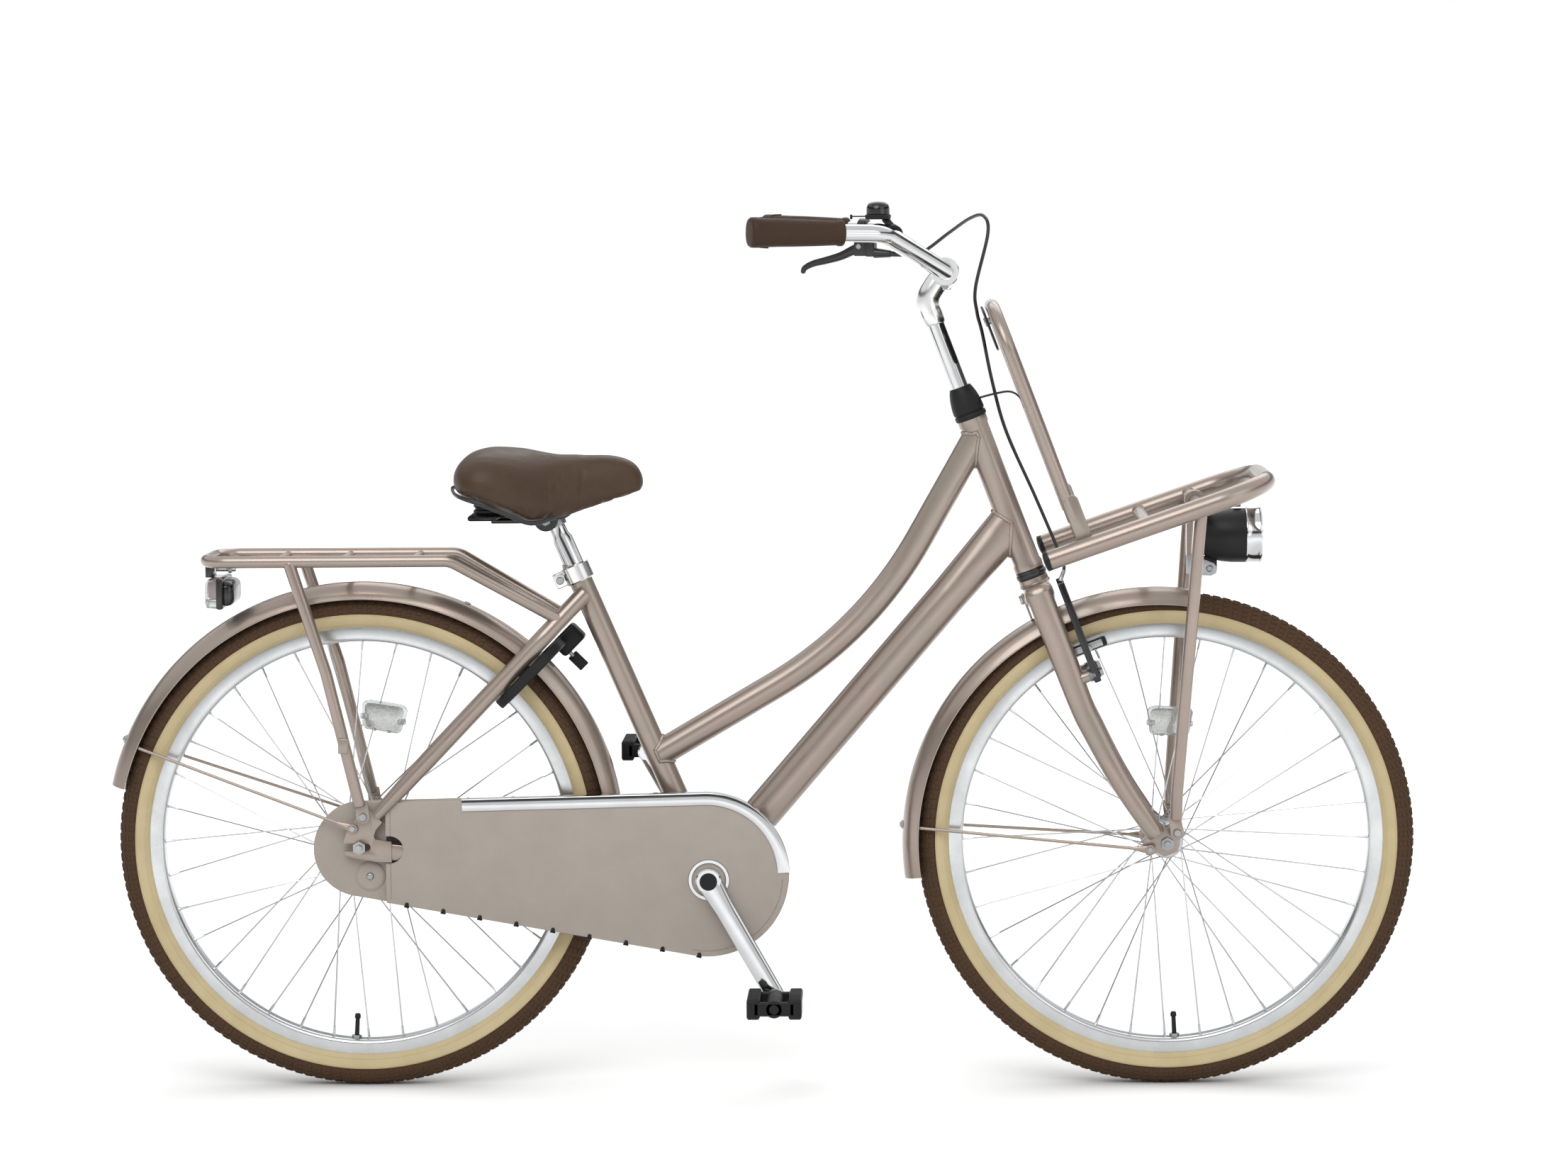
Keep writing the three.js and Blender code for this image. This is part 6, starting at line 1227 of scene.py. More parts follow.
        stock = Stock()
        for side in Side:
            line = bent([spot(0, side * 61), spot(0.8, side * 42), spot(1, side * 22)], 90, 3)
            dense = [a.lerp(b, k / 6) for a, b in zip(line[:2], line[1:2]) for k in range(6)] + line[1:]
            wide = [16 + 6.5 * min(1, (p - line[0]).length / 70) for p in dense]
            stock.tube(dense, wide, 30)
        low = spot(0.785, 0)
        stock.cross(low.x, low.z, -42, 42, 12, 24)
        stock.fit("seat_stays_pair", [Finishes.pearl_paint], 35, "frame", "frame_paint", "seat_stays")

    def _clamp(self) -> None:
        """The seat clamp with its split, bolt and lever head."""
        stock = Stock()
        low, high = on_seat_tube(424), on_seat_tube(447.5)
        way = (high - low).normalized()
        stock.lathe([(16.2, 0), (18.5, 0), (19.5, 1.5), (19.5, 22), (18.5, 23.5), (13.9, 23.5)], low, way, 56)
        turn = leaned(SIZES.seat_lean)
        middle = on_seat_tube(435.5, -24)
        for side in Side:
            stock.block(middle + v(0, side * 4.6, 0), v(16, 7, 20), 1.4, turn)
        stock.use(1).cross(middle.x, middle.z, -14, 14, 6.4, 16)
        stock.cross(middle.x, middle.z, -15.5, -9, 10.5, 18, 1.0).cross(middle.x, middle.z, 9, 15.5, 10.5, 6, 0.8)
        stock.fit("seat_clamp_ring", [Finishes.polished_alloy, Finishes.zinc_steel], 30, "frame", "alloy", "seat_clamp")


def carved(piece: Object, cuts: Sequence[Stock], mode: str = "DIFFERENCE") -> None:
    """Cuts other solids from a piece, or keeps what they have in common.

    Args:
        piece: the piece to cut.
        cuts: the cutting solids.
        mode: DIFFERENCE or INTERSECT.
    """
    tools = [stock.object("cutter", []) for stock in cuts]
    for tool in tools:
        cut = piece.modifiers.new("cut", "BOOLEAN")
        cut.operation = mode
        cut.solver = "EXACT"
        cut.object = tool
    data = evaluated(piece)
    piece.modifiers.clear()
    piece.data = data
    for tool in tools:
        bpy.data.objects.remove(tool)
    shaded(data, 35)


@dataclass
class ChainCase:
    """The cloth chaincase with its rear cap, chrome trim, seam, clips and flap."""

    rear_radius: float = 63
    front_radius: float = 108
    outer: float = 61.2
    cap_outer: float = 50.6
    inner: float = 34.3
    wall: float = 1.6
    seam_x: float = 34
    trim_from: float = 130
    rear: Vector = field(default_factory=lambda: Vector((0, 0, 322)))
    front: Vector = field(default_factory=lambda: Vector((455, 0, 287.3)))

    def outline(self, grow: float, side: float, steps: int = 48) -> list[Vector]:
        """The case's outline as a belt lies on two circles, anticlockwise from below the front.

        Args:
            grow: how far outside the circles.
            side: the place across the bicycle.
            steps: the points round the front.

        Returns:
            The points.
        """
        span = self.front - self.rear
        base = degrees(atan2(span.z, span.x))
        spread = degrees(acos((self.rear_radius - self.front_radius) / span.length))
        return [*circle_arc(self.front + v(0, side, 0), self.front_radius + grow, base - spread, base + spread, steps),
            *circle_arc(self.rear + v(0, side, 0), self.rear_radius + grow, base + spread, base + 360 - spread,
            steps * 2 // 3)]

    def build(self) -> None:
        """Builds the case's pieces."""
        self._shell("chaincase_cloth", self.outer, self.seam_x, 700, "chaincase")
        self._shell("chaincase_cap", self.cap_outer, -200, self.seam_x - 0.3, "chaincase_rear_cap")
        self._trim()
        self._seams()
        self._clips()
        self._flap()

    def _span(self, x: float, grow: float) -> tuple[float, float]:
        """The lowest and the highest point of the outline at x.

        Args:
            x: the place along the case.
            grow: how far outside the circles.

        Returns:
            The two heights.
        """
        line = self.outline(grow, 0)
        heights = [a.z + (b.z - a.z) * (x - a.x) / (b.x - a.x) for a, b in zip(line, line[1:] + line[:1]) if min(a.x,
            b.x) <= x < max(a.x, b.x)]
        return min(heights), max(heights)

    def _shell(self, name: str, outer: float, low: float, high: float, node_name: str) -> None:
        """One part of the case, hollow, with its openings.

        Args:
            name: the piece's name.
            outer: its face's distance from the middle.
            low, high: where it starts and ends along X.
            node_name: the CAD node that it stands for.
        """
        piece = Stock().plate(self.outline(0, -self.inner), v(0, self.inner - outer, 0), (), 3.2).object(name,
            [Finishes.case_cloth])
        hollow = Stock().plate(self.outline(-self.wall, -self.inner - self.wall),
            v(0, self.inner - outer + 2 * self.wall, 0), (), 2.0)
        bracket, axle = SIZES.bracket, SIZES.rear_axle
        cuts = [hollow, Stock().cross(bracket.x, bracket.z, -110, -42, 42.8, 64, 0),
            Stock().cross(bracket.x, bracket.z, -42, 0, 30, 40, 0), Stock().cross(axle.x, axle.z, -42, 0, 44, 40, 0)]
        if node_name == "chaincase":
            notch = [v(0, -110, 304.8), *circle_arc(v(39, -110, 322.8), 18, -90, 90, 24), v(0, -110, 340.8)]
            cuts.append(Stock().plate(notch, v(0, 61, 0), (), 0))
        else:
            cuts.append(Stock().cross(axle.x, axle.z, -110, -42, 28, 48, 0))
        carved(piece, cuts)
        kept = Stock().block(v((low + high) / 2, -48, 320), v(high - low, 60, 400), 0.01)
        carved(piece, [kept], "INTERSECT")
        if node_name == "chaincase":
            self._web()
        place(piece, "frame", "case_cloth", node_name)

    def _web(self) -> None:
        """The step where the deeper front part starts."""
        low, high = self._span(self.seam_x, -1.2)
        stock = Stock()
        for start, end in ((low, 304.8), (340.8, high)):
            stock.block(v(self.seam_x + 0.9, -56.2, (start + end) / 2), v(1.6, 9.6, end - start), 0.6)
        stock.fit("chaincase_step", [Finishes.case_cloth], 38, "frame", "case_cloth")

    def _trim(self) -> None:
        """The chrome trim round the front."""
        section = [(0.3, -46.2), (1.0, -46.0), (1.5, -46.6), (1.5, -61.2), (1.1, -62.2), (0.2, -62.7), (-13.5, -62.7),
            (-14.6, -62.4), (-15, -61.6), (0.3, -61.5)]
        points = []
        line = self.outline(0, 0, 90)
        for a, b in zip(line, line[1:] + line[:1]):
            count = max(1, int((b - a).length / 5))
            points += [a.lerp(b, k / count) for k in range(count)]
        def upper(p: Vector) -> bool:
            """True on the stretch that carries the trim."""
            return p.x > self.trim_from and p.z >= self.front.z

        start = next(i for i in range(len(points)) if upper(points[i]) and not upper(points[i - 1]))
        ordered = [p for p in points[start:] + points[:start] if upper(p)]
        rings = []
        for i, here in enumerate(ordered):
            way = tangent(ordered, i)
            out = v(way.z, 0, -way.x)
            rings.append([here + out * n + v(0, y, 0) for n, y in section])
        Stock().loft(rings).fit("chaincase_chrome_trim", [Finishes.chrome_plate], 50, "frame", "chrome",
            "chaincase_trim")

    def _stitched(self, name: str, line: Sequence[Vector], thread: float = 0.8, pitch: float = 3.6) -> None:
        """A row of stitches on the case's face."""
        stitch = Stock().tube([v(-1.2, 0, -0.1), v(-0.5, 0, 0.3), v(0.5, 0, 0.3), v(1.2, 0, -0.1)], thread, 6)
        place(Repeats.line(name, stitch, line, pitch, v(0, -1, 0), Finishes.seam_thread), "frame", "case_cloth")

    def _seams(self) -> None:
        """The stitching: beside the step, and along the lower edge up to the front."""
        x = self.seam_x + 6
        low, high = self._span(x, -6)
        face = -self.outer - 0.1
        self._stitched("chaincase_stitches_low", [v(x, face, low + 2), v(x, face, 303)])
        self._stitched("chaincase_stitches_high", [v(x, face, 342.5), v(x, face, high - 2)])
        inside = self.outline(-8, face, 90)
        self._stitched("chaincase_stitches_edge", [p for p in inside[-44:] + inside[:46] if p.x > x + 6])
        ring = Stock().lathe([(22.2, 0), (22.2, 1.6), (22.8, 2.2), (26.4, 2.2), (27.4, 1.2), (27.6, 0)],
            v(SIZES.bracket.x, -self.outer, SIZES.bracket.z), v(0, -1, 0), 64)
        ring.fit("chaincase_crank_ring", [Finishes.chrome_plate], 40, "frame", "chrome")

    def _clips(self) -> None:
        """Small black clips that hold the cloth round the case's lower edge."""
        run = [v(x, -58, self._span(x, 0)[0]) for x in range(60, 452, 8)]
        clip = Stock()
        clip.block(v(0, 1, -0.9), v(7, 9, 1.8), 0.8)
        clip.lathe([(0, 4.6), (1.6, 4.4), (2.6, 3.6), (2.8, 2.6)], v(0, 0, 2.8), v(0, -1, 0), 16)
        piece = Repeats.line("chaincase_clips", clip, run, 47, v(0, 0, 1), Finishes.moulded_black)
        place(piece, "frame", "black_plastic")

    def _flap(self) -> None:
        """The inspection flap with its snap stud on the rear cap."""
        middle = v(11.7, -self.cap_outer, 286.5)
        stock = Stock()
        stock.lathe([(0, 1.8), (17, 1.8), (19.2, 1.3), (20, 0.4), (20, -0.5)], middle, v(0, -1, 0), 64)
        stock.use(1).lathe([(0, 4.4), (2.2, 4.3), (4, 3.6), (4.8, 2.4), (5.2, 1.7)], middle, v(0, -1, 0), 32)
        stock.fit("chaincase_flap", [Finishes.case_cloth, Finishes.zinc_steel], 50, "frame", "case_cloth")
        ring = [p + v(0, -1.5, 0) for p in circle_arc(middle, 17, 0, 360, 60)]
        self._stitched("chaincase_flap_stitches", ring, 0.7, 3.2)


@dataclass
class Crankset:
    """The two cranks and the chainring."""

    inner: float = 64
    thickness: float = 13
    flare: float = 9

    def build(self) -> None:
        """Builds the crankset's pieces."""
        for side in Side:
            self._crank(side)

    def _crank(self, side: Side) -> None:
        """One forged arm, its boss, eye, pedal axle and dust cap.

        Args:
            side: its side.
        """
        turn = radians(SIZES.crank_angle + (180 if side > 0 else 0))
        way = toward(turn)
        middle = self.inner + self.thickness / 2
        start = SIZES.bracket + v(0, side * middle, 0)
        end = SIZES.bracket + way * SIZES.crank_length + v(0, side * (middle + self.flare), 0)
        line, tall = [], []
        for k in range(25):
            t = k / 24
            line.append(start.lerp(end, t))
            tall.append(34 - 7 * min(1, t * 4) ** 0.7 - 2 * t)
        stock = Stock()
        self._arm(stock, line, tall)
        far = end.y
        stock.cross(end.x, end.z, far - 6.5, far + 6.5, 25, 40, 2.0)
        boss = (39.2, 77) if side < 0 else (61.2, 77)
        stock.cross(SIZES.bracket.x, SIZES.bracket.z, *sorted((side * boss[0], side * boss[1])), 34, 48, 1.6)
        axle = sorted((far, side * 171.5))
        stock.use(1).cross(end.x, end.z, *axle, 10.4, 24)
        cap = SIZES.bracket + v(0, side * 77, 0)
        stock.use(2).lathe([(11.5, 0), (11.5, 1), (10.6, 1.9), (4, 2.4), (0, 2.5)], cap, v(0, side, 0), 40)
        name = f"{side.word}_crank"
        if side < 0:
            ring = [(15, -1.4), (74, -1.4), (74, 1.4), (15, 1.4)]
            stock.use(1).lathe(ring, SIZES.bracket + v(0, -SIZES.chain_line, 0), v(0, 1, 0), 76, closed=True)
        stock.fit(f"{name}_arm", [Finishes.chrome_plate, Finishes.zinc_steel, Finishes.moulded_black], 32, "crankset",
            "chrome", name)

    def _arm(self, stock: Stock, line: list[Vector], tall: list[float]) -> None:
        """The arm: a rounded bar that narrows toward the pedal.

        Args:
            stock: the crank's mesh.
            line: the arm's middle line.
            tall: its height at each point.
        """
        across = v(0, 1, 0)
        other = (line[-1] - line[0]).normalized().cross(across).normalized()
        rings = []
        for here, high in zip(line, tall):
            ring = []
            for k in range(36):
                t = FULL_TURN * k / 36
                c, s = cos(t), sin(t)
                a = copysign(abs(c) ** 0.55, c) * self.thickness / 2
                b = copysign(abs(s) ** 0.8, s) * high / 2
                ring.append(here + across * a + other * b)
            rings.append(ring)
        stock.loft(rings)


@dataclass
class Pedal:
    """A block pedal: two ribbed rubber treads on a black body, with amber reflectors."""

    side: Side
    width: float = 84
    height: float = 27
    tread: float = 17

    def build(self) -> None:
        """Builds the pedal's pieces."""
        turn = radians(SIZES.crank_angle + (180 if self.side > 0 else 0))
        middle = SIZES.bracket + toward(turn) * SIZES.crank_length
        middle.y = self.side * 131
        name = f"{self.side.word}_pedal"
        stock = Stock()
        for way in (-1, 1):
            stock.block(middle + v(way * 27, 0, 0), v(self.tread, self.width, self.height - 1.6), 2.6)
            stock.block(middle + v(0, way * 37.5, 0), v(54, 9, 18), 2.0)
        stock.lathe([(6.2, -42), (10, -42), (11.5, -40), (11.5, 40), (10, 42), (6.2, 42)], middle, v(0, 1, 0), 40,
            closed=True)
        for way in (-1, 1):
            stock.use(1).block(middle + v(way * 35.2, 0, 0), v(0.9, 52, 15), 0.4)
        stock.fit(f"{name}_body", [Finishes.moulded_black, Finishes.amber_prism], 35, name, "pedal_plastic", name)
        for place_x in (-1, 1):
            for up in (-1, 1):
                line = [middle + v(place_x * 27, y, up * (self.height / 2 - 0.8)) for y in (-38, 38)]
                rib = Stock().block(v(0, 0, 0), v(2.6, self.tread - 3, 1.5), 0.5)
                label = f"{name}_ribs_{'front' if place_x > 0 else 'rear'}_{'top' if up > 0 else 'under'}"
                row = Repeats.line(label, rib, line, 5.4, v(0, 0, up), Finishes.moulded_black)
                place(row, name, "pedal_plastic")


@dataclass
class Guard:
    """A mudguard and its wire stay."""

    name: str
    body: str
    centre: Vector
    radius: float
    start: float
    end: float
    stay_turn: float
    eye: Vector
    eye_side: float
    half_width: float = 29
    rise: float = 21

    def build(self) -> None:
        """Builds the guard and its stay."""
        shares = [(-1, 1), (-0.9, 0.72), (-0.78, 0.47), (-0.62, 0.27), (-0.42, 0.12), (-0.2, 0.03), (0, 0), (0.2, 0.03),
            (0.42, 0.12), (0.62, 0.27), (0.78, 0.47), (0.9, 0.72), (1, 1)]
        outer = [(s * self.half_width, -d * self.rise) for s, d in shares]
        inner = [(s * (self.half_width - 1.2), -d * self.rise - (1 - d) * 1.3) for s, d in reversed(shares)]
        section = [*outer, (self.half_width - 0.2, -self.rise - 0.8), *inner,
            (-self.half_width + 0.2, -self.rise - 0.8)]
        rings = []
        count = int((self.end - self.start) / 1.5)
        for k in range(count + 1):
            turn = radians(self.start + (self.end - self.start) * k / count)
            out = toward(turn)
            rings.append([self.centre + out * (self.radius + d) + v(0, s, 0) for s, d in section])
        stock = Stock().loft(rings)
        for side in Side:
            rim = [self.centre + toward(t) * (self.radius - self.rise + 0.2) + v(0, side * (self.half_width - 0.9),
                0) for t in (radians(self.start + 0.3 + (self.end - self.start - 0.6) * k / 90) for k in range(91))]
            stock.tube(rim, 2.0, 10)
        turn = radians(self.stay_turn)
        out = toward(turn)
        stock.use(1)
        stock.rod(self.centre + out * (self.radius - 4.5), self.centre + out * (self.radius + 1.4), 13, 12, 32, 0.6)
        stock.rod(self.centre + out * (self.radius + 1), self.centre + out * (self.radius + 3.8), 8, 7, 6, 0.6)
        self._extra(stock)
        stock.fit(f"{self.name}_sheet", Finishes.painted, 40, self.body, "frame_paint", self.name)
        self._stay(turn)

    def _extra(self, stock: Stock) -> None:
        """The fixings of this guard to the frame or the fork.

        Args:
            stock: the guard's mesh.
        """
        if self.body == "steering":
            lower, upper = on_steering(332, -20.8), on_steering(369.5, -20.8)
            turn = leaned(SIZES.steering_lean)
            stock.use(0).block((lower + upper) / 2, v(3, 16, 37), 1.0, turn)
            stock.use(1).rod(on_steering(361.5, -22.3), on_steering(361.5, -26.8), 13, 12, 6, 0.8)
            return
        for turn in (-0.9, 66.0):
            out = toward(radians(turn))
            stock.use(1).rod(self.centre + out * (self.radius - 3.4), self.centre + out * (self.radius + 1.2), 10, 9,
                24, 0.6)

    def _stay(self, turn: float) -> None:
        """The painted wire stay from eye to eye over the guard, flattened at its ends.

        Args:
            turn: where it crosses the guard.
        """
        def spot(radius: float, side: float) -> Vector:
            """A point beside the guard, at the stay's turn."""
            return self.centre + v(radius * cos(turn), side, radius * sin(turn))

        line = [v(self.eye.x, -self.eye_side, self.eye.z), spot(self.radius - 24, -26.5), spot(self.radius - 11, -16),
            spot(self.radius - 7, 0), spot(self.radius - 11, 16), spot(self.radius - 24, 26.5),
            v(self.eye.x, self.eye_side, self.eye.z)]
        stock = Stock().tube(bent(line, 9, 12), 4.3, 16)
        for side in Side:
            y = side * self.eye_side
            stock.cross(self.eye.x, self.eye.z, y - 1.7, y + 1.7, 13, 28, 0.7)
            near = v(self.eye.x, y, self.eye.z)
            reach = (spot(self.radius - 24, side * 26.5) - near).normalized()
            stock.tube([near, near + reach * 10, near + reach * 22], [11.5, 9, 4.6], 16, [0.3, 0.35, 0.9])
            stock.use(1).cross(self.eye.x, self.eye.z, *sorted((y + side * 1.6, y + side * 4.6)), 8.6, 6, 0.7)
            stock.use(0)
        stock.fit(f"{self.name}_wire", Finishes.painted, 40, self.body, "frame_paint", f"{self.name}_stay")


@dataclass
class RearCarrier:
    """The tubular rear carrier with its legs, cross rods, hooks and light."""

    height: float = 703
    tube: float = 16

    def build(self) -> None:
        """Builds the carrier's pieces."""
        def side(way: int) -> list[Vector]:
            """The corners of one side rail."""
            return [v(262, way * 37.5, 624), v(124, way * 62, self.height), v(-199, way * 65, self.height)]

        stock = Stock().tube(bent([*side(-1), *reversed(side(1))], 32, 5), self.tube, 24, rounded=3)
        for x in (-104, -20, 73):
            stock.cross(x, self.height, -62, 62, 9, 18)
        for way in (-1, 1):
            leg = [v(-86, way * 65, 700), v(-40, way * 67, 557), v(1, way * 69, 384)]
            stock.tube(bent(leg, 60, 4), self.tube, 24, rounded=4)
            eye = [v(-5, way * 64.6, 389), *circle_arc(v(5.4, way * 64.6, 367), 9, 180, 360, 20),
                v(11, way * 64.6, 389)]
            stock.plate(eye, v(0, way * 3.6, 0), (), 0.5)
            stock.use(1).cross(5.4, 367, *sorted((way * 68.0, way * 73)), 12, 6, 1.0)
            stock.use(0).block(v(-18.2, way * 77, 462), v(13, 5, 20), 1.6)
            foot = v(262, way * 37.5, 624)
            stock.use(1).rod(foot - v(3, 0, -1), foot + v(5, 0, -3), 12, 10, 24, 1.0).use(0)
        stock.fit("rear_carrier", Finishes.painted, 35, "frame", "frame_paint", "rear_rack")
        self._light()

    def _light(self) -> None:
        """The rear light: a clear shell over red at the back, in a black rim, with its mount and bolt."""
        outline = [v(x, -44, z) for x, z in ((-199, 640), (-169, 638.5), (-164, 645), (-163, 672), (-170, 679),
            (-197, 679), (-201, 672), (-201.5, 648))]
        stock = Stock().block(v(-175, 0, 659), v(22, 76, 34), 10)
        stock.block(v(-199, 0, 686.5), v(11, 29, 16), 1.4)
        stock.block(v(-182, 0, 659), v(9, 91, 41), 3.4)
        stock.use(1).block(v(-190, 0, 664), v(13, 82, 21), 3.0)
        stock.use(3).block(v(-190, 0, 647), v(13, 82, 11), 2.0)
        stock.use(2).plate([v(min(p.x, -183), p.y, 659 + (p.z - 659) * 0.96) for p in outline], v(0, 88, 0), (), 2.6)
        stock.use(4).cross(-176, 690, -7, 7, 4, 12)
        stock.rod(v(-192, 0, 688), v(-166, 0, 688), 5, 5, 14).rod(v(-176, 0, 688), v(-171, 0, 688), 9, 9, 6, 0.6)
        stock.fit("rear_lamp", [Finishes.gloss_black, Finishes.red_lens, Finishes.clear_lens, Finishes.mirror_bowl,
            Finishes.zinc_steel], 35, "frame", "black_plastic", "rear_light")


@dataclass
class FrontCarrier:
    """The front carrier, its backrest hoop, shield and strap."""

    rail: float = 25.4
    half: float = 132

    def build(self) -> None:
        """Builds the carrier's pieces."""
        def side(way: int) -> list[Vector]:
            """The corners of one side rail."""
            return [v(24, way * self.half, 409), v(326, way * self.half, 400)]

        line = bent([*side(-1), *reversed(side(1))], 70, 4)
        stock = Stock().tube(steered(line), self.rail, 36)
        rods = [(ahead, 409 - 9 * (ahead - 24) / 302) for ahead in (163.5, 234)]
        for ahead, along in rods:
            stock.tube(steered([v(ahead, -self.half, along), v(ahead, self.half, along)]), 16, 24)
        for way in (-1, 1):
            leg = [v(234, way * 122, 400), v(74, way * 74, 58), v(63, way * 69, 30)]
            stock.tube(steered(bent(leg, 30, 5)), 16, 24, rounded=3)
            eye = [v(54, way * 67, 36), *[v(57 + 9 * cos(t), way * 67, 11 + 9 * sin(t))
                for t in (pi + pi * k / 16 for k in range(17))], v(70, way * 67, 36)]
            stock.plate(steered(eye), v(0, way * 4, 0), (), 0.5)
            stock.use(1).rod(*steered([v(57, way * 71, 11), v(57, way * 76, 11)]), 12, 11, 6, 1.2)
            cap = steered([v(27, way * self.half, 408.9), v(23.4, way * self.half, 409)])
            stock.use(2).lathe([(12.7, -6), (12.9, 0), (11.6, 1.0), (7, 2.2), (0, 2.6)], cap[1], (cap[1] - cap[0]), 32)
            stock.use(0)
            for ahead, along in rods:
                inner = self.half - self.rail / 2 + 1.4
                stock.rod(*steered([v(ahead, way * inner, along), v(ahead, way * (inner - 1.5), along)]), 19, 17, 24,
                    0.8)
        stock.fit("front_carrier", [*Finishes.painted, Finishes.moulded_black], 35, "steering", "frame_paint",
            "front_rack")
        self._backrest()
        self._strap()

    def _backrest(self) -> None:
        """The tall hoop with its plates, bar and the bare shield at its top."""
        def post(way: int) -> list[Vector]:
            """The ends of one upright."""
            return [v(77, way * 110, 445), v(77, way * 110, 735)]

        line = bent([*post(-1), *reversed(post(1))], 60, 4)
        stock = Stock().tube(steered(line), 18, 28, rounded=3)
        stock.tube(steered([v(77, -110, 605), v(77, 110, 605)]), 12, 20)
        for way in (-1, 1):
            outline = [v(x, way * 113.9, s) for x, s in ((71, 398), (91, 398), (91, 470), (89, 474), (85, 477),
                (77, 477), (73, 474), (71, 470))]
            stock.plate(steered(outline), v(0, way * 4.8, 0), (), 1.0)
            for along in (408, 424):
                stock.use(1).rod(*steered([v(81, way * 114.5, along), v(81, way * 109.5, along)]), 10, 9, 6, 1.0).use(0)
            stock.use(1).rod(*steered([v(64, way * 50, 719), v(76, way * 50, 719)]), 6, 6, 16, 0.4)
            stock.rod(*steered([v(62.4, way * 50, 719), v(60.4, way * 50, 719)]), 10, 8, 24, 0.8).use(0)
        shield = []
        for k in range(60):
            t = FULL_TURN * k / 60
            c, s = cos(t), sin(t)
            shield.append(v(62.6, copysign(abs(c) ** 0.35, c) * 74.4, 710 + copysign(abs(s) ** 0.35, s) * 29.5))
        placed = steered(shield)
        stock.use(2).plate(placed, (on_steering(0, 2.8) - on_steering(0, 0)), (), 0.8)
        stock.fit("front_carrier_backrest", [*Finishes.painted, Finishes.moulded_black], 35, "steering", "frame_paint",
            "front_rack_backrest")

    def _strap(self) -> None:
        """The rubber strap from the headset to the backrest."""
        route = [(19.8, 630), (38, 628), (56, 624.5), (65, 618), (69.2, 608), (69.2, 597)]
        rings = []
        line = smooth_route([v(n, 0, s) for n, s in route], 5)
        for i, here in enumerate(line):
            way = tangent(line, i)
            out = v(-way.z, 0, way.x)
            ring = [here + out * a * 1.1 + v(0, b * 7.6, 0) for a, b in ((-1, -0.9), (-1, 0.9), (-0.5, 1), (0.5, 1),
                (1, 0.9), (1, -0.9), (0.5, -1), (-0.5, -1))]
            rings.append(steered(ring))
        Stock().loft(rings).fit("front_carrier_strap", [Finishes.moulded_black], 50, "steering", "black_plastic",
            "front_rack_strap")


@dataclass
class Fork:
    """The fork: blades, crown, steerer, ends and brake studs, with the headset's boot."""

    def build(self) -> None:
        """Builds the fork's pieces."""
        stations = [(366, 0, 41, 34, 20), (330, 0, 41, 34.5, 20.5), (270, 0, 41, 34, 20), (204, 0, 43, 32, 21),
            (166, 3.5, 45, 31, 22), (116, 9.5, 48.5, 29, 22), (76, 16.5, 51, 27, 20), (44, 24, 53, 26, 18),
            (20, 30, 54, 24, 16), (14, 31.5, 54.2, 20, 13)]
        stock = Stock()
        for side in Side:
            line = smooth_route([v(n, side * y, s) for s, n, y, _, _ in stations], 5)
            tall = self._spread([h for *_, h, _ in stations], 5)
            wide = self._spread([w for *_, w in stations], 5)
            rings = []
            for i, (here, h, w) in enumerate(zip(line, tall, wide)):
                way = tangent(line, i)
                across = v(0, 1, 0).cross(way).normalized()
                other = way.cross(across)
                rings.append(steered([here + across * (h / 2 * cos(t)) + other * (w / 2 * sin(t))
                    for t in (FULL_TURN * k / 28 for k in range(28))]))
            stock.loft(rings)
            ends = [(9, -5), (16, -6.5), (24, -7), (30, -15), (50, -15), (54, 0), (62, 2), (66, 7), (66, 12), (58, 19),
                (46, 20), (42, 28), (38, 34), (24, 34), (17, 16), (9, 10)]
            stock.plate(steered([v(x, side * 50, s) for x, s in ends]), v(0, side * 5, 0), (), 0.6)
            base = steered([v(12, side * 41, 241), v(25.6, side * 41, 241), v(41.5, side * 41, 241)])
            stock.rod(base[0], base[1], 16, 15, 28, 0.8)
            stock.use(1).rod(base[1], base[2], 8, 8, 20, 0.6)
            stock.rod(*steered([v(37.0, side * 41, 241), v(42.5, side * 41, 241)]), 12, 11, 6, 1.0).use(0)
        turn = leaned(SIZES.steering_lean)
        stock.block(on_steering(361.5), v(40, 98, 32), 14.0, turn)
        low, high = on_steering(374), on_steering(385)
        stock.rod(low, on_steering(379), 42, 40.5, 44, 1.6).rod(on_steering(378), high, 40, 39, 48, 0.8).use(1)
        stock.rod(on_steering(380), on_steering(644), 25.0, 25.0, 32)
        stock.fit("fork_body", Finishes.painted, 35, "steering", "frame_paint", "fork")
        way = (high - low).normalized()
        boot = Stock().lathe([(13, 0.3), (20.4, 0.3), (21, 1), (21, 5.6), (20.2, 6.6), (19.4, 7), (19.4, 8.2),
            (20.6, 8.8), (20.9, 11), (20.6, 17), (19.8, 24), (18.4, 31), (16.6, 37), (15, 41), (14.4, 42.6),
            (13.4, 43.2), (11.4, 43.2)], on_steering(609), way, 56)
        boot.fit("headset_boot_cover", [Finishes.moulded_black], 40, "steering", "black_plastic", "headset_boot")

    @staticmethod
    def _spread(values: Sequence[float], each: int) -> list[float]:
        """Values between stations, matched to the points of smooth_route.

        Args:
            values: one for each station.
            each: the steps between two of them.

        Returns:
            The values.
        """
        out = []
        for a, b in zip(values, values[1:]):
            out += [a + (b - a) * k / each for k in range(each)]
        return out + [values[-1]]


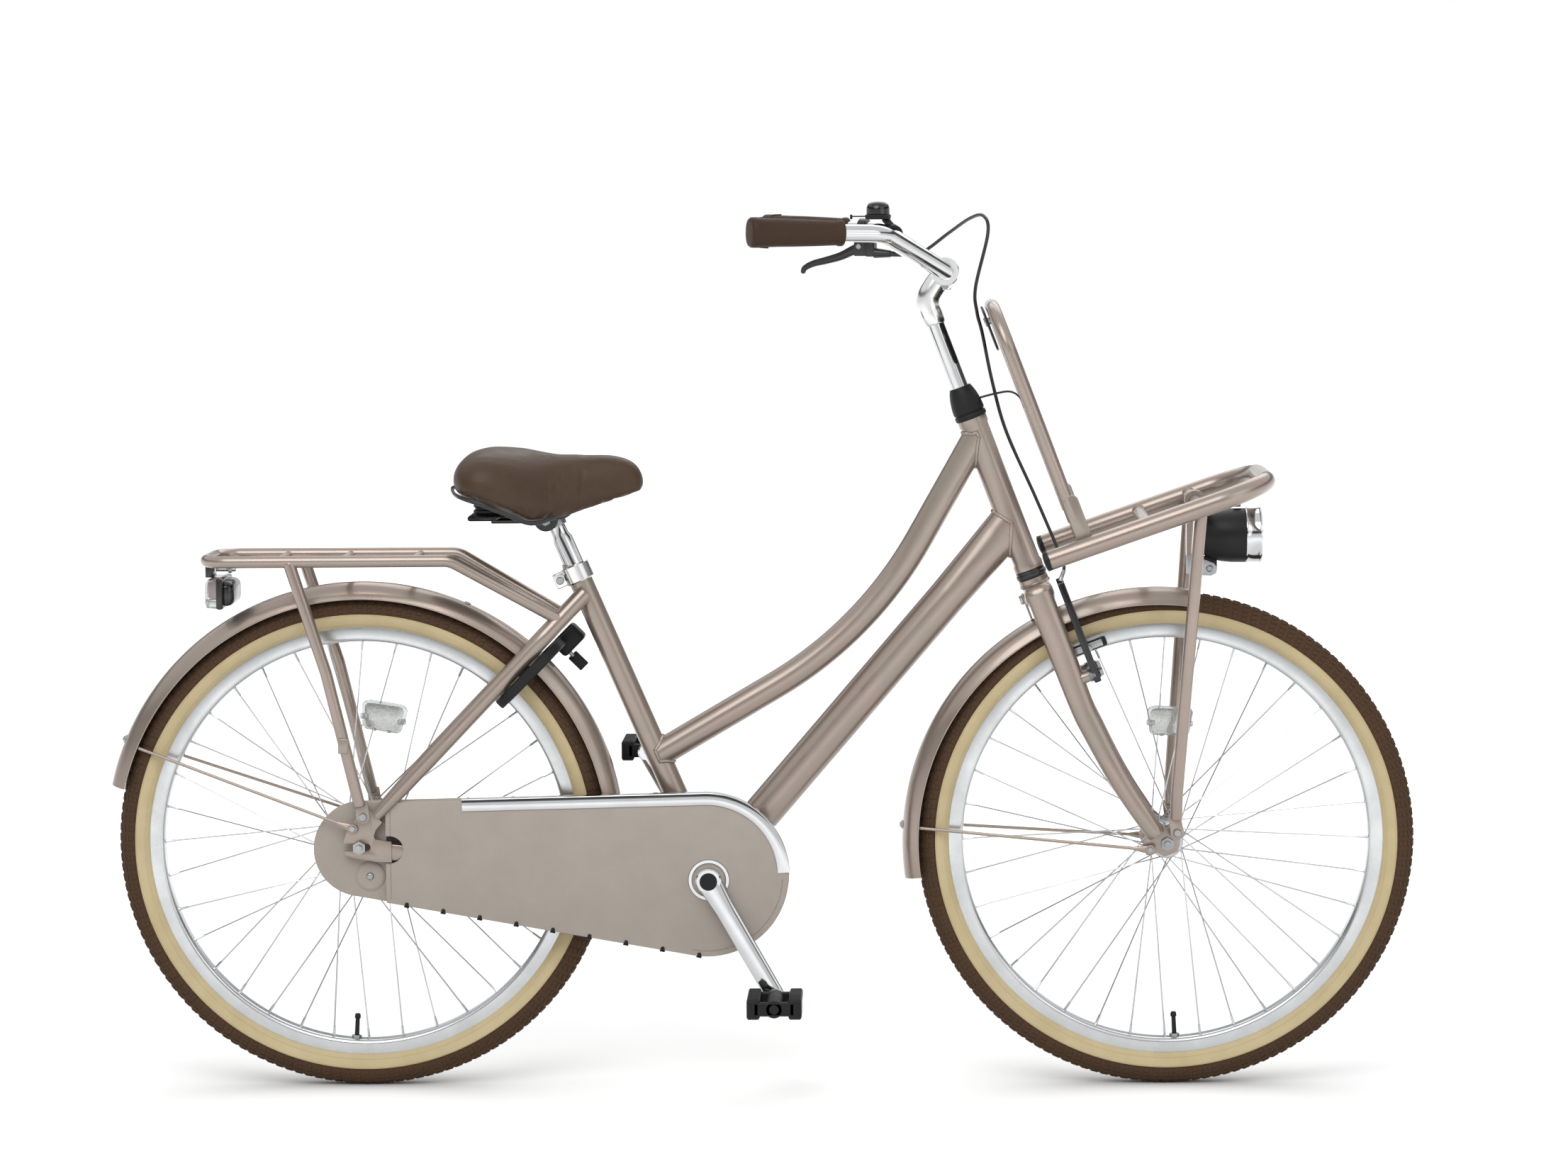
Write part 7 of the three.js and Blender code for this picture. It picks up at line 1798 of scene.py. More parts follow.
@dataclass
class Cockpit:
    """Stem, handlebar, grips, lever, bell and cable."""

    bar: float = 22.2

    def __post_init__(self) -> None:
        """Works out the bar's points."""
        self.middle = on_steering(800, 36)
        self.knee = v(690, 225, 1126)
        self.end = v(530, 279, 1129)

    def sided(self, p: Vector, side: int) -> Vector:
        """A point of the left half, on the asked side."""
        return v(p.x, p.y * side, p.z)

    def build(self) -> None:
        """Builds the cockpit's pieces."""
        self._stem()
        self._bar()
        for side in Side:
            self._grip(side)
        self._perch()
        self._lever()
        self._bell()

    def _stem(self) -> None:
        """The forged quill stem with its pinch bolt and expander bolt."""
        stock = Stock()
        stock.use(2).tube([on_steering(560), on_steering(742)], 22.2, 40)
        neck = [v(0, 0, 740), v(0, 0, 744), v(-1, 0, 762), v(3, 0, 775), v(12, 0, 784), v(34, 0, 799)]
        line = smooth_route(neck, 6)
        tall = [23.4 + 6 * min(1, k / 9) for k in range(len(line))]
        stock.use(0).tube(steered(line), tall, 40, 0.92, rounded=4)
        stock.lathe([(11.3, -19), (17.4, -19), (18.5, -17.6), (18.5, 17.6), (17.4, 19), (11.3, 19)], self.middle,
            v(0, 1, 0), 64, closed=True)
        lug = self.middle - v(0, 0, 17)
        stock.block(lug, v(16, 19, 14), 2.4)
        stock.use(1).cross(lug.x, lug.z - 1, -13, -8.5, 9.5, 24, 0.8)
        top = on_steering(786, 2)
        way = (on_steering(1) - on_steering(0)).normalized()
        stock.lathe([(0, 1.2), (3.2, 1.2), (3.2, 2.6), (6.2, 2.6), (7, 1.6), (7, -4)], top, way, 30)
        stock.fit("stem_forging", [Finishes.polished_alloy, Finishes.zinc_steel, Finishes.chrome_plate], 35, "steering",
            "alloy", "stem")

    def _bar(self) -> None:
        """The swept handlebar."""
        def half(side: int) -> list[Vector]:
            """The corners of one half of the bar."""
            return [self.sided(self.end, side), self.sided(self.knee, side), v(self.middle.x, side * 45, self.middle.z)]

        line = bent([*half(-1), *reversed(half(1))], 40, 4)
        Stock().tube(line, self.bar, 36).fit("handlebar_tube", [Finishes.chrome_plate], 35, "steering", "chrome",
            "handlebar")

    def _grip(self, side: Side) -> None:
        """A moulded rubber grip: a collar, a palm pad with a raised border, and a squared heel.

        Args:
            side: its side.
        """
        span = (self.end - self.knee).length
        start = self.knee.lerp(self.end, 1 - 118 / span)
        tip = self.knee.lerp(self.end, 1 + 4 / span)
        start, tip = self.sided(start, side), self.sided(tip, side)
        way = (tip - start).normalized()
        length = (tip - start).length
        outward = way.cross(v(0, 0, 1)).normalized() * side
        up = outward.cross(way) * side
        # Stations along the grip: share of its length, radius, and how square its section is
        stations = ((0, 12.6, 0), (0, 15.4, 0), (0.012, 16.4, 0), (0.05, 16.4, 0), (0.062, 15.4, 0), (0.1, 15.5, 0),
            (0.3, 16.6, 0.1), (0.5, 17.4, 0.2), (0.7, 17.9, 0.35), (0.86, 18.8, 0.6), (0.93, 19.6, 0.8),
            (0.975, 19.4, 0.85), (0.995, 17.6, 0.8), (1, 13, 0.7))
        rings = []
        for share, radius, square in stations:
            ring = []
            for k in range(48):
                t = FULL_TURN * k / 48
                bulge = 1 + 0.07 * square * (abs(sin(2 * t)) ** 1.5)
                ring.append(start + way * (length * share) + outward * (radius * bulge * cos(t)) + up
                    * (radius * bulge * sin(t) * (1 - 0.03 * square)))
            rings.append(ring)
        stock = Stock().loft(rings)
        # The raised border of the palm pad, above and below
        for way_up in (-1, 1):
            border = []
            for share, radius, turn in ((0.1, 15.6, 52), (0.2, 16.2, 34), (0.45, 17.5, 30), (0.7, 18.3, 34),
                    (0.84, 19.0, 46), (0.88, 19.3, 66), (0.8, 18.7, 88)):
                angle = radians(turn)
                border.append(start + way * (length * share) - outward * (radius * cos(angle)) + up
                    * (way_up * radius * sin(angle)))
            stock.tube(smooth_route(border, 5), 2.4, 10, rounded=1)
        name = f"{side.word}_grip"
        stock.fit(f"{name}_moulding", [Finishes.grip_rubber], 50, "steering", "brown_rubber", name)

    def _lever_point(self, x: float, y: float, z: float) -> Vector:
        """A point in the brake lever's own frame, x forward along the bar.

        Args:
            x, y, z: forward, to the left and up from the pivot.

        Returns:
            The point.
        """
        forward = v(self.knee.x - self.end.x, self.knee.y - self.end.y, 0).normalized()
        across = v(0, 0, 1).cross(forward).normalized()
        return v(658.5, 236, 1104) + forward * x + across * y + v(0, 0, z)

    def _perch(self) -> None:
        """The lever's clamp, its body and the barrel adjuster."""
        stock = Stock()
        def on_bar(share: float) -> Vector:
            """A point on the bar's grip end."""
            return self.knee.lerp(self.end, share)

        start, way = on_bar(0.13), (on_bar(0.2) - on_bar(0.13))
        length = way.length
        stock.lathe([(11.4, 0), (14.6, 0), (15.5, 0.9), (15.5, length - 0.9), (14.6, length), (11.4, length)], start,
            way, 44, closed=True)
        forward = v(self.knee.x - self.end.x, self.knee.y - self.end.y, 0).normalized()
        turn = Matrix.Rotation(atan2(forward.y, forward.x), 3, "Z")
        stock.block(self._lever_point(15.5, 0, -2), v(13, 15, 24), 2.2, turn)
        for side in Side:
            stock.block(self._lever_point(1.5, side * 6.0, -2), v(17, 3.0, 22), 1.2, turn)
            stock.use(1).rod(self._lever_point(0, side * 7.3, 0), self._lever_point(0, side * 8.8, 0), 8, 7, 20, 0.5)
            stock.use(0)
        a, b = self._lever_point(20, 0, -9), v(715, 216.3, 1093)
        stock.rod(a, a.lerp(b, 0.6), 14, 9.6, 18, 0.6).rod(a.lerp(b, 0.6), b, 7.8, 6.8, 16, 0.6)
        stock.fit("brake_lever_mount", [Finishes.black_enamel, Finishes.zinc_steel], 35, "steering", "black_metal",
            "brake_lever_perch")

    def _lever(self) -> None:
        """The lever's curved blade with its ball end."""
        knots = ((2, 0), (-13, -6.4), (-29, -13.4), (-50, -19), (-68, -23.2), (-80, -29), (-83, -34))
        line = smooth_route([self._lever_point(x, 0, z) for x, z in knots], 5)
        tall = [14.4 - 7.4 * (k / (len(line) - 1)) ** 0.8 for k in range(len(line))]
        share = [0.62 + 0.6 * k / (len(line) - 1) for k in range(len(line))]
        stock = Stock().tube(line, tall, 28, share, rounded=3)
        stock.rod(self._lever_point(0, -4, 0), self._lever_point(0, 4, 0), 12, 12, 28, 0.8)
        stock.fit("brake_lever_blade", [Finishes.black_enamel], 40, "brake_lever", "black_metal", "brake_lever")

    def _bell(self) -> None:
        """The bell's dome, base and clamp, and its thumb lever."""
        middle = v(683, 208, 1147)
        stock = Stock()
        dome = [(15.2, 0.2), (15.8, 1), (15.8, 7), (15.4, 10), (14.2, 13), (12, 15.4), (9, 16.8), (5, 17.5), (0, 17.8)]
        stock.use(1).lathe([(0, 0.2), *dome], middle, v(0, 0, 1), 64)
        stock.use(0).lathe([(0, -6.4), (15, -6.4), (17, -5.4), (17.5, -3), (17.4, -0.6), (16.6, 0.2), (0, 0.2)], middle,
            v(0, 0, 1), 48)
        before = (v(self.middle.x, 45, self.middle.z) - self.knee).normalized()
        spot = self.knee + before * 21
        stock.lathe([(11.4, 0), (14.6, 0), (15.5, 0.9), (15.5, 11.1), (14.6, 12), (11.4, 12)], spot, before, 44,
            closed=True)
        stock.rod(self.knee + before * 27 + v(0, 0, 12), middle + v(9, 0, -5), 10, 10, 24, 0.6)
        stock.fit("bell_body", [Finishes.moulded_black, Finishes.gloss_black, Finishes.zinc_steel], 35, "steering",
            "black_plastic", "bell")
        turn = radians(185)
        way, side = v(cos(turn), sin(turn), 0), v(-sin(turn), cos(turn), 0)
        floor = middle - v(0, 0, 3.0)
        outline = [floor + side * 4.4, floor + way * 30 + side * 4.4, floor + way * 36 + side * 3,
            floor + way * 36 - side * 3, floor + way * 30 - side * 4.4, floor - side * 4.4]
        lever = Stock().plate(outline, v(0, 0, 1.7), (), 0.4)
        lever.lathe([(4, 0), (6.6, 0), (6.6, 1.8), (4, 1.8)], floor, v(0, 0, 1), 28, closed=True)
        lever.block(floor + way * 36.4 + v(0, 0, 0.2), v(3.0, 9, 6.6), 1.2, Matrix.Rotation(turn, 3, "Z"))
        lever.fit("bell_thumb_lever", [Finishes.moulded_black], 35, "bell_lever", "black_plastic", "bell_lever")

    def cable(self) -> None:
        """The brake cable from the lever to the arms, with its ferrules."""
        points = [v(716, 216, 1093), v(744, 206, 1097), v(778, 160, 1122), v(806, 95, 1142), v(823, 50, 1145),
            v(828, 26, 1122), v(811.5, 18, 1052.2), v(813.2, 16, 1019.7), v(820, 15, 992.1), v(833, 14, 928),
            v(851, 13, 863), v(888, 4, 779), v(916, -8, 713), v(925, -24, 689), on_steering(369.8, 31.45, -39)]
        line = smooth_route(points, 10)
        stock = Stock().tube(line, 4.5, 16)
        stock.use(1).rod(line[0], line[5], 6.0, 5.6, 16, 0.5).rod(line[-1], line[-8], 6.0, 5.6, 16, 0.5)
        piece = stock.object("brake_cable_outer", [Finishes.cable_jacket, Finishes.zinc_steel], 50)
        place(piece, "steering", "black_plastic", "brake_cable")


@dataclass
class Headlamp:
    """The front light: a barrel with a clear lens over its bowl, on a sheet bracket."""

    height: float = 726

    def build(self) -> None:
        """Builds the lamp, its button and its bracket."""
        stock = Stock()
        axis, centre = v(1, 0, 0), v(0, 0, self.height)
        barrel = [(0, 1097.7), (8, 1098.2), (15, 1100.4), (22, 1105), (27.5, 1111.5), (31.5, 1120), (34, 1131),
            (35.2, 1144), (35.4, 1158), (35.4, 1162.4), (34.6, 1163)]
        stock.lathe(barrel, centre, axis, 80)
        # The bright band in front of the body, and its rolled edge
        stock.use(3).lathe([(34.4, 1162.6), (36.2, 1163), (36.4, 1164), (36.2, 1165), (35.6, 1166), (35.6, 1179),
            (36.3, 1180), (36.3, 1182), (35.4, 1183.6), (33.4, 1183.8), (32.8, 1181), (32.8, 1164)], centre, axis, 80)
        stock.use(1).lathe([(32.4, 1179), (32.4, 1164), (29, 1150), (22, 1138), (12, 1129), (4, 1126), (0, 1126)],
            centre, axis, 72)
        stock.rod(v(1127, 0, self.height), v(1150, 0, self.height), 9, 8, 20, 0.6)
        stock.use(2).lathe([(32.6, 1181), (32.9, 1182.4), (31, 1182.9), (20, 1183.4), (0, 1183.7), (0, 1181.2),
            (20, 1180.9), (30, 1180.4)], centre, axis, 72)
        for k in range(7):
            y = -24 + 8 * k
            tall = sqrt(max(30.5 ** 2 - y * y, 0))
            stock.block(v(1179.6, y, self.height), v(2.4, 5.4, 2 * tall), 1.0)
        stock.use(0).block(v(1116, 0, self.height - 37), v(20, 11.6, 20), 3.0)
        stock.fit("headlamp_barrel", [Finishes.moulded_black, Finishes.mirror_bowl, Finishes.clear_lens,
            Finishes.chrome_plate], 35, "headlamp", "black_plastic", "headlamp")
        button = Stock().lathe([(5.4, -3.0), (5.4, 2.4), (4.8, 3.3), (3.4, 3.7), (0, 3.8)], v(1152, 0, 766.5),
            v(0, 0, 1), 32)
        button.fit("headlamp_push_button", [Finishes.red_lens], 35, "headlamp_button", "black_plastic",
            "headlamp_button")
        self._bracket()

    def _bracket(self) -> None:
        """The sheet-metal arm from the carrier's bar to the lamp's pivot."""
        bar = on_steering(402.7, 234)
        stock = Stock()
        stock.lathe([(8.2, -8.6), (13.6, -8.6), (14, -8), (14, 8), (13.6, 8.6), (8.2, 8.6)], bar, v(0, 1, 0), 40,
            closed=True)
        stem = [v(bar.x - 9, 0, bar.z - 9), v(1087.4, 0, bar.z - 30), v(1087.4, 0, 700)]
        line = bent(stem, 14, 6)
        stock.loft([[p + v(a * 1.5, b * 9.2, 0) for a, b in ((-1, -1), (1, -1), (1, 1), (-1, 1))] for p in line])
        for side in Side:
            outline = [v(x, side * 6.2, z) for x, z in ((1086, 704), (1086, 676), (1108, 674), (1118, 673.5),
                (1125, 677), (1126, 684), (1122, 690), (1104, 697))]
            stock.use(1).plate(outline, v(0, side * 2.6, 0), (), 0.5)
            stock.rod(v(1116, side * 8.6, 683), v(1116, side * 11.4, 683), 9, 8, 6 if side > 0 else 24, 0.8).use(0)
        stock.fit("headlamp_arm", Finishes.painted, 35, "steering", "black_metal", "headlamp_bracket")


@dataclass
class BrakeArms:
    """The two arms of the front brake, with pads and return springs."""

    stud: float = 241
    face: float = 31.45

    def build(self) -> None:
        """Builds both arms."""
        for side in Side:
            self._arm(side)

    def _arm(self, side: Side) -> None:
        """One arm.

        Args:
            side: its side.
        """
        outline = [(34, 233), (38.5, 229.5), (45, 229.5), (49, 233), (50.5, 262), (51.6, 284), (51, 300), (49, 322),
            (47, 340), (44, 362), (42.5, 367.5), (36, 367.5), (35.4, 360), (38, 340), (40.6, 318), (41.5, 300),
            (39.6, 280), (36.5, 262)]
        stock = Stock().plate(steered([v(26.8, side * y, s) for y, s in outline]),
            on_steering(0, 36.2) - on_steering(0, 26.8), (), 1.6)
        stock.rod(*steered([v(24.8, side * 41, self.stud), v(37.8, side * 41, self.stud)]), 15, 14, 28, 0.8)
        def base(y: float) -> Vector:
            """A point on the pad's bolt."""
            return steered([v(35, side * y, 275)])[0]

        stock.use(1).rod(base(27.4), base(50), 7, 7, 20, 0.4)
        stock.rod(base(46), base(50.5), 11, 10, 6, 0.8)
        turn = leaned(SIZES.steering_lean)
        stock.use(2).block(base(21.8), v(51, 10.4, 12.4), 2.6, turn)
        stock.use(1).block(base(26.4), v(40, 2.0, 9), 0.8, turn)
        coil = []
        for k in range(6 * 14):
            t = FULL_TURN * k / 14
            coil.append(v(self.face - 9 + 1.5 * k / 14, side * 41 + 8.4 * cos(t), self.stud + 8.4 * sin(t)))
        stock.tube(steered(coil), 1.3, 6)
        stock.fit(f"{side.word}_brake_arm_forging", [Finishes.black_enamel, Finishes.zinc_steel,
            Finishes.moulded_black], 35, f"brake_arm_{side.word}", "black_metal", f"brake_arm_{side.word}")


@dataclass
class RingLock:
    """The ring lock round the rear wheel with its sliding bow and key."""

    lean: float = 45.1
    ring: float = 312

    def at(self, x: float, y: float, z: float) -> Vector:
        """A point in the lock's own frame."""
        c, s = cos(radians(self.lean)), sin(radians(self.lean))
        return SIZES.rear_axle + v(c * x - s * z, y, s * x + c * z)

    def build(self) -> None:
        """Builds the housing, the bow and the key."""
        stock = Stock()
        start, stop = radians(32), radians(328)
        rings = []
        for k in range(61):
            t = start + (stop - start) * k / 60
            ring = []
            for r, w in ((45.2, -5.6), (46.6, -7), (61, -7), (62.8, -5.2), (62.8, 5.2), (61, 7), (46.6, 7),
                    (45.2, 5.6)):
                ring.append(self.at(self.ring - r * cos(t), r * sin(t), w))
            rings.append(ring)
        stock.loft(rings)
        turn = leaned(self.lean)
        stock.block(self.at(377, 40, -6.3), v(39.6, 31.6, 26.6), 5.0, turn)
        stock.fit("lock_housing", [Finishes.moulded_black, Finishes.zinc_steel], 35, "frame", "black_plastic",
            "ring_lock_housing")
        arc = [radians(52 + 96 * k / 40) for k in range(41)]
        bow = Stock().tube([self.at(self.ring + 54 * cos(t), 54 * sin(t), 0) for t in arc], 7.8, 20)
        knob = radians(64)
        bow.use(1).rod(self.at(self.ring + 56 * cos(knob), 56 * sin(knob), 0),
            self.at(self.ring + 76.6 * cos(knob), 76.6 * sin(knob), 0), 9, 8.4, 20, 1.6)
        bow.fit("lock_sliding_bow", [Finishes.chrome_plate, Finishes.moulded_black], 35, "lock_bow", "chrome",
            "lock_bow")
        key = Stock().rod(self.at(366, 34, -10), self.at(366, 34, -26), 5.8, 5.8, 20)
        key.use(1).block(self.at(366, 34, -34.8), v(15, 3.4, 23.6), 1.6, turn)
        key.fit("lock_key_cut", [Finishes.zinc_steel, Finishes.moulded_black], 35, "lock_key", "steel", "lock_key")


@dataclass
class Stand:
    """The folded kickstand with its rubber foot."""

    pivot: Point = (384, 38, 263.8)
    foot: Point = (127, 61, 267.8)

    def build(self) -> None:
        """Builds the stand."""
        a, b = v(*self.pivot), v(*self.foot)
        stock = Stock().tube([a, a.lerp(b, 0.9)], 13.8, 24)
        stock.rod(v(a.x, 28.3, a.z), v(a.x, 47.7, a.z), 20, 20, 32, 1.0)
        stock.use(1).lathe([(7, 0), (8.4, 0), (9.4, 3), (9.9, 12), (9.6, 22), (7.4, 26), (0, 27)], a.lerp(b, 0.9),
            b - a, 28)
        stock.fit("kickstand_leg", [Finishes.black_enamel, Finishes.moulded_black], 35, "kickstand", "black_metal",
            "kickstand")


@dataclass
class Saddle:
    """The sprung saddle: post, tilting base with springs, and the padded cover."""

    stations: tuple[tuple[float, float, float, float], ...] = ((127, 52, 812, 798), (133, 78, 825, 792.5),
        (146, 97, 838, 788), (170, 105, 845, 780.5), (200, 100, 843, 768), (232, 80, 837, 754), (262, 57.5, 832, 760),
        (296, 40.5, 832, 771), (330, 30.5, 835, 781), (354, 25.5, 831, 786), (368, 18.5, 821, 789),
        (375, 9.5, 807, 793))
    crown: tuple[tuple[float, float], ...] = ((0.9, 0), (1, 0.06), (1.02, 0.2), (1.0, 0.42), (0.93, 0.64), (0.82, 0.79),
        (0.68, 0.89), (0.5, 0.95), (0.28, 0.985), (0, 1))

    def build(self) -> None:
        """Builds the seat post, the saddle's base and its cover."""
        self._post()
        self._base()
        self._cover()

    def _post(self) -> None:
        """The seat post with the clamp's ring."""
        stock = Stock()
        line = [on_seat_tube(s) for s in (252, 484, 490, 502, 512)]
        stock.tube(line, [27.1, 27.1, 22.4, 21.8, 21.8], 44)
        way = (on_seat_tube(1) - on_seat_tube(0)).normalized()
        stock.use(1).lathe([(11, 502.4), (14.0, 502.4), (14.5, 503), (14.5, 519.4), (14, 520), (0, 520)],
            on_seat_tube(0), way, 44)
        stock.cross(247, 752, -33.8, 33.8, 7.9, 24)
        for side in Side:
            stock.rod(v(247, side * 29.1, 752), v(247, side * 33.9, 752), 15, 14, 6, 1.0)
        stock.fit("seat_post_tube", [Finishes.chrome_plate, Finishes.zinc_steel], 35, "seatpost", "chrome", "seatpost")

    def _base(self) -> None:
        """The saddle's shell, rails, ears and coil springs."""
        stock = Stock()
        inner = [(x + (247 - x) * 0.14, half * 0.8) for x, half, _, _ in self.stations]
        rim = [v(x, half, 0) for x, half in inner] + [v(x, -half, 0) for x, half in reversed(inner)]
        rim = [p + v(0, 0, 790.4) for p in rim]
        stock.plate(rim, v(0, 0, 4.2), (), 1.0)
        for side in Side:
            rail = [v(306, side * 10, 784), v(296, side * 12, 778), v(272, side * 22, 758), v(224, side * 22, 752),
                v(176, side * 22, 752)]
            stock.use(1).tube(bent(rail, 16, 5), 7.4, 20, rounded=1)
            stock.lathe([(0, 6.6), (4.4, 6.6), (5, 6), (5, 4.4), (14.4, 4.4), (16, 3), (16, -6), (0, -6)],
                v(247, side * 24, 754), v(0, side, 0), 40)
            # The springing unit: stacked elastomer rings on a plate, under a cap
            rings = [(0, 0), (15, 0), (19, 1.4), (19.4, 3.6), (17, 5.6), (14.5, 6.6)]
            for level in (7, 14, 21):
                rings += [(15.5, level + 0.6), (18.4 - level * 0.06, level + 2.2), (18.4 - level * 0.06, level + 4.4),
                    (15.5, level + 6)]
            stock.use(0).lathe([*rings, (16, 30), (0, 30)], v(172, side * 45, 756.4), v(0, 0, 1), 40)
            edge = [v(x, side * half * 0.97, low - 1.6) for x, half, _, low in self.stations[:7]]
            edge = [v(127, 0, 796.4), v(127.5, side * 26, 796.4), *edge]
            stock.use(1).tube(smooth_route(edge, 5), 6.0, 14, 0.7, rounded=1)
            stock.use(0)
        stock.block(v(166, 0, 757.5), v(38, 116, 7), 3.2)
        stock.use(1).block(v(207, 0, 757), v(70, 22, 6), 2.4)
        stock.fit("saddle_chassis", [Finishes.moulded_black, Finishes.black_enamel], 35, "saddle", "black_metal",
            "saddle_base")

    def _rings(self) -> list[list[Vector]]:
        """The cover's cross sections, from the tail to the nose.

        Returns:
            The sections, each a ring of points.
        """
        rings = []
        for x, half, top, bottom in self.stations:
            right = [v(x, -half * a, bottom + (top - bottom) * b) for a, b in self.crown]
            left = [v(x, half * a, bottom + (top - bottom) * b) for a, b in reversed(self.crown[:-1])]
            rings.append(right + left + [v(x, half * 0.45, bottom + 1.5), v(x, -half * 0.45, bottom + 1.5)])
        fine = []
        for a in range(len(rings) - 1):
            four = (rings[max(a - 1, 0)], rings[a], rings[a + 1], rings[min(a + 2, len(rings) - 1)])
            fine += [[blend(*points, k / 3) for points in zip(*four)] for k in range(3)]
        return fine + [rings[-1]]

    def _cover(self) -> None:
        """The padded cover, blown up by simulation."""
        cover = Stock().loft(self._rings()).object("saddle_padded_cover", [Finishes.saddle_vinyl], 60)
        inflated(cover, cap=6.0)
        place(cover, "saddle", "brown_cover", "saddle_cushion")


def inflated(piece: Object, cap: float, frames: int = 20) -> None:
    """Blows a closed skin up like stuffed upholstery, and leaves plain mesh.

    Args:
        piece: the closed piece.
        cap: how far a point may move, in millimetres.
        frames: the simulation's length.
    """
    remesh = piece.modifiers.new("voxels", "REMESH")
    remesh.mode, remesh.voxel_size, remesh.use_smooth_shade = "VOXEL", 4.0 * MM, True
    baked(piece)
    start = [p.co.copy() for p in piece.data.vertices]
    cloth = piece.modifiers.new("stuffing", "CLOTH")
    cloth.settings.use_pressure, cloth.settings.uniform_pressure_force = True, 4.0
    cloth.settings.effector_weights.gravity = 0
    cloth.settings.tension_stiffness = cloth.settings.compression_stiffness = 30
    cloth.point_cache.frame_start, cloth.point_cache.frame_end = 1, frames
    for frame in range(1, frames + 1):
        bpy.context.scene.frame_set(frame)
    baked(piece)
    bpy.context.scene.frame_set(1)
    for point, was in zip(piece.data.vertices, start):
        moved = point.co - was
        if moved.length > cap * MM:
            point.co = was + moved * (cap * MM / moved.length)
    subdivided = piece.modifiers.new("smooth", "SUBSURF")
    subdivided.levels = subdivided.render_levels = 1
    baked(piece)
    piece.data.shade_smooth()


def baked(piece: Object) -> None:
    """Applies a piece's modifiers to its mesh.

    Args:
        piece: the piece.
    """
    bpy.context.view_layer.update()
    shape = piece.evaluated_get(bpy.context.evaluated_depsgraph_get())
    data = bpy.data.meshes.new_from_object(shape)
    piece.modifiers.clear()
    old, piece.data = piece.data, data
    bpy.data.meshes.remove(old)


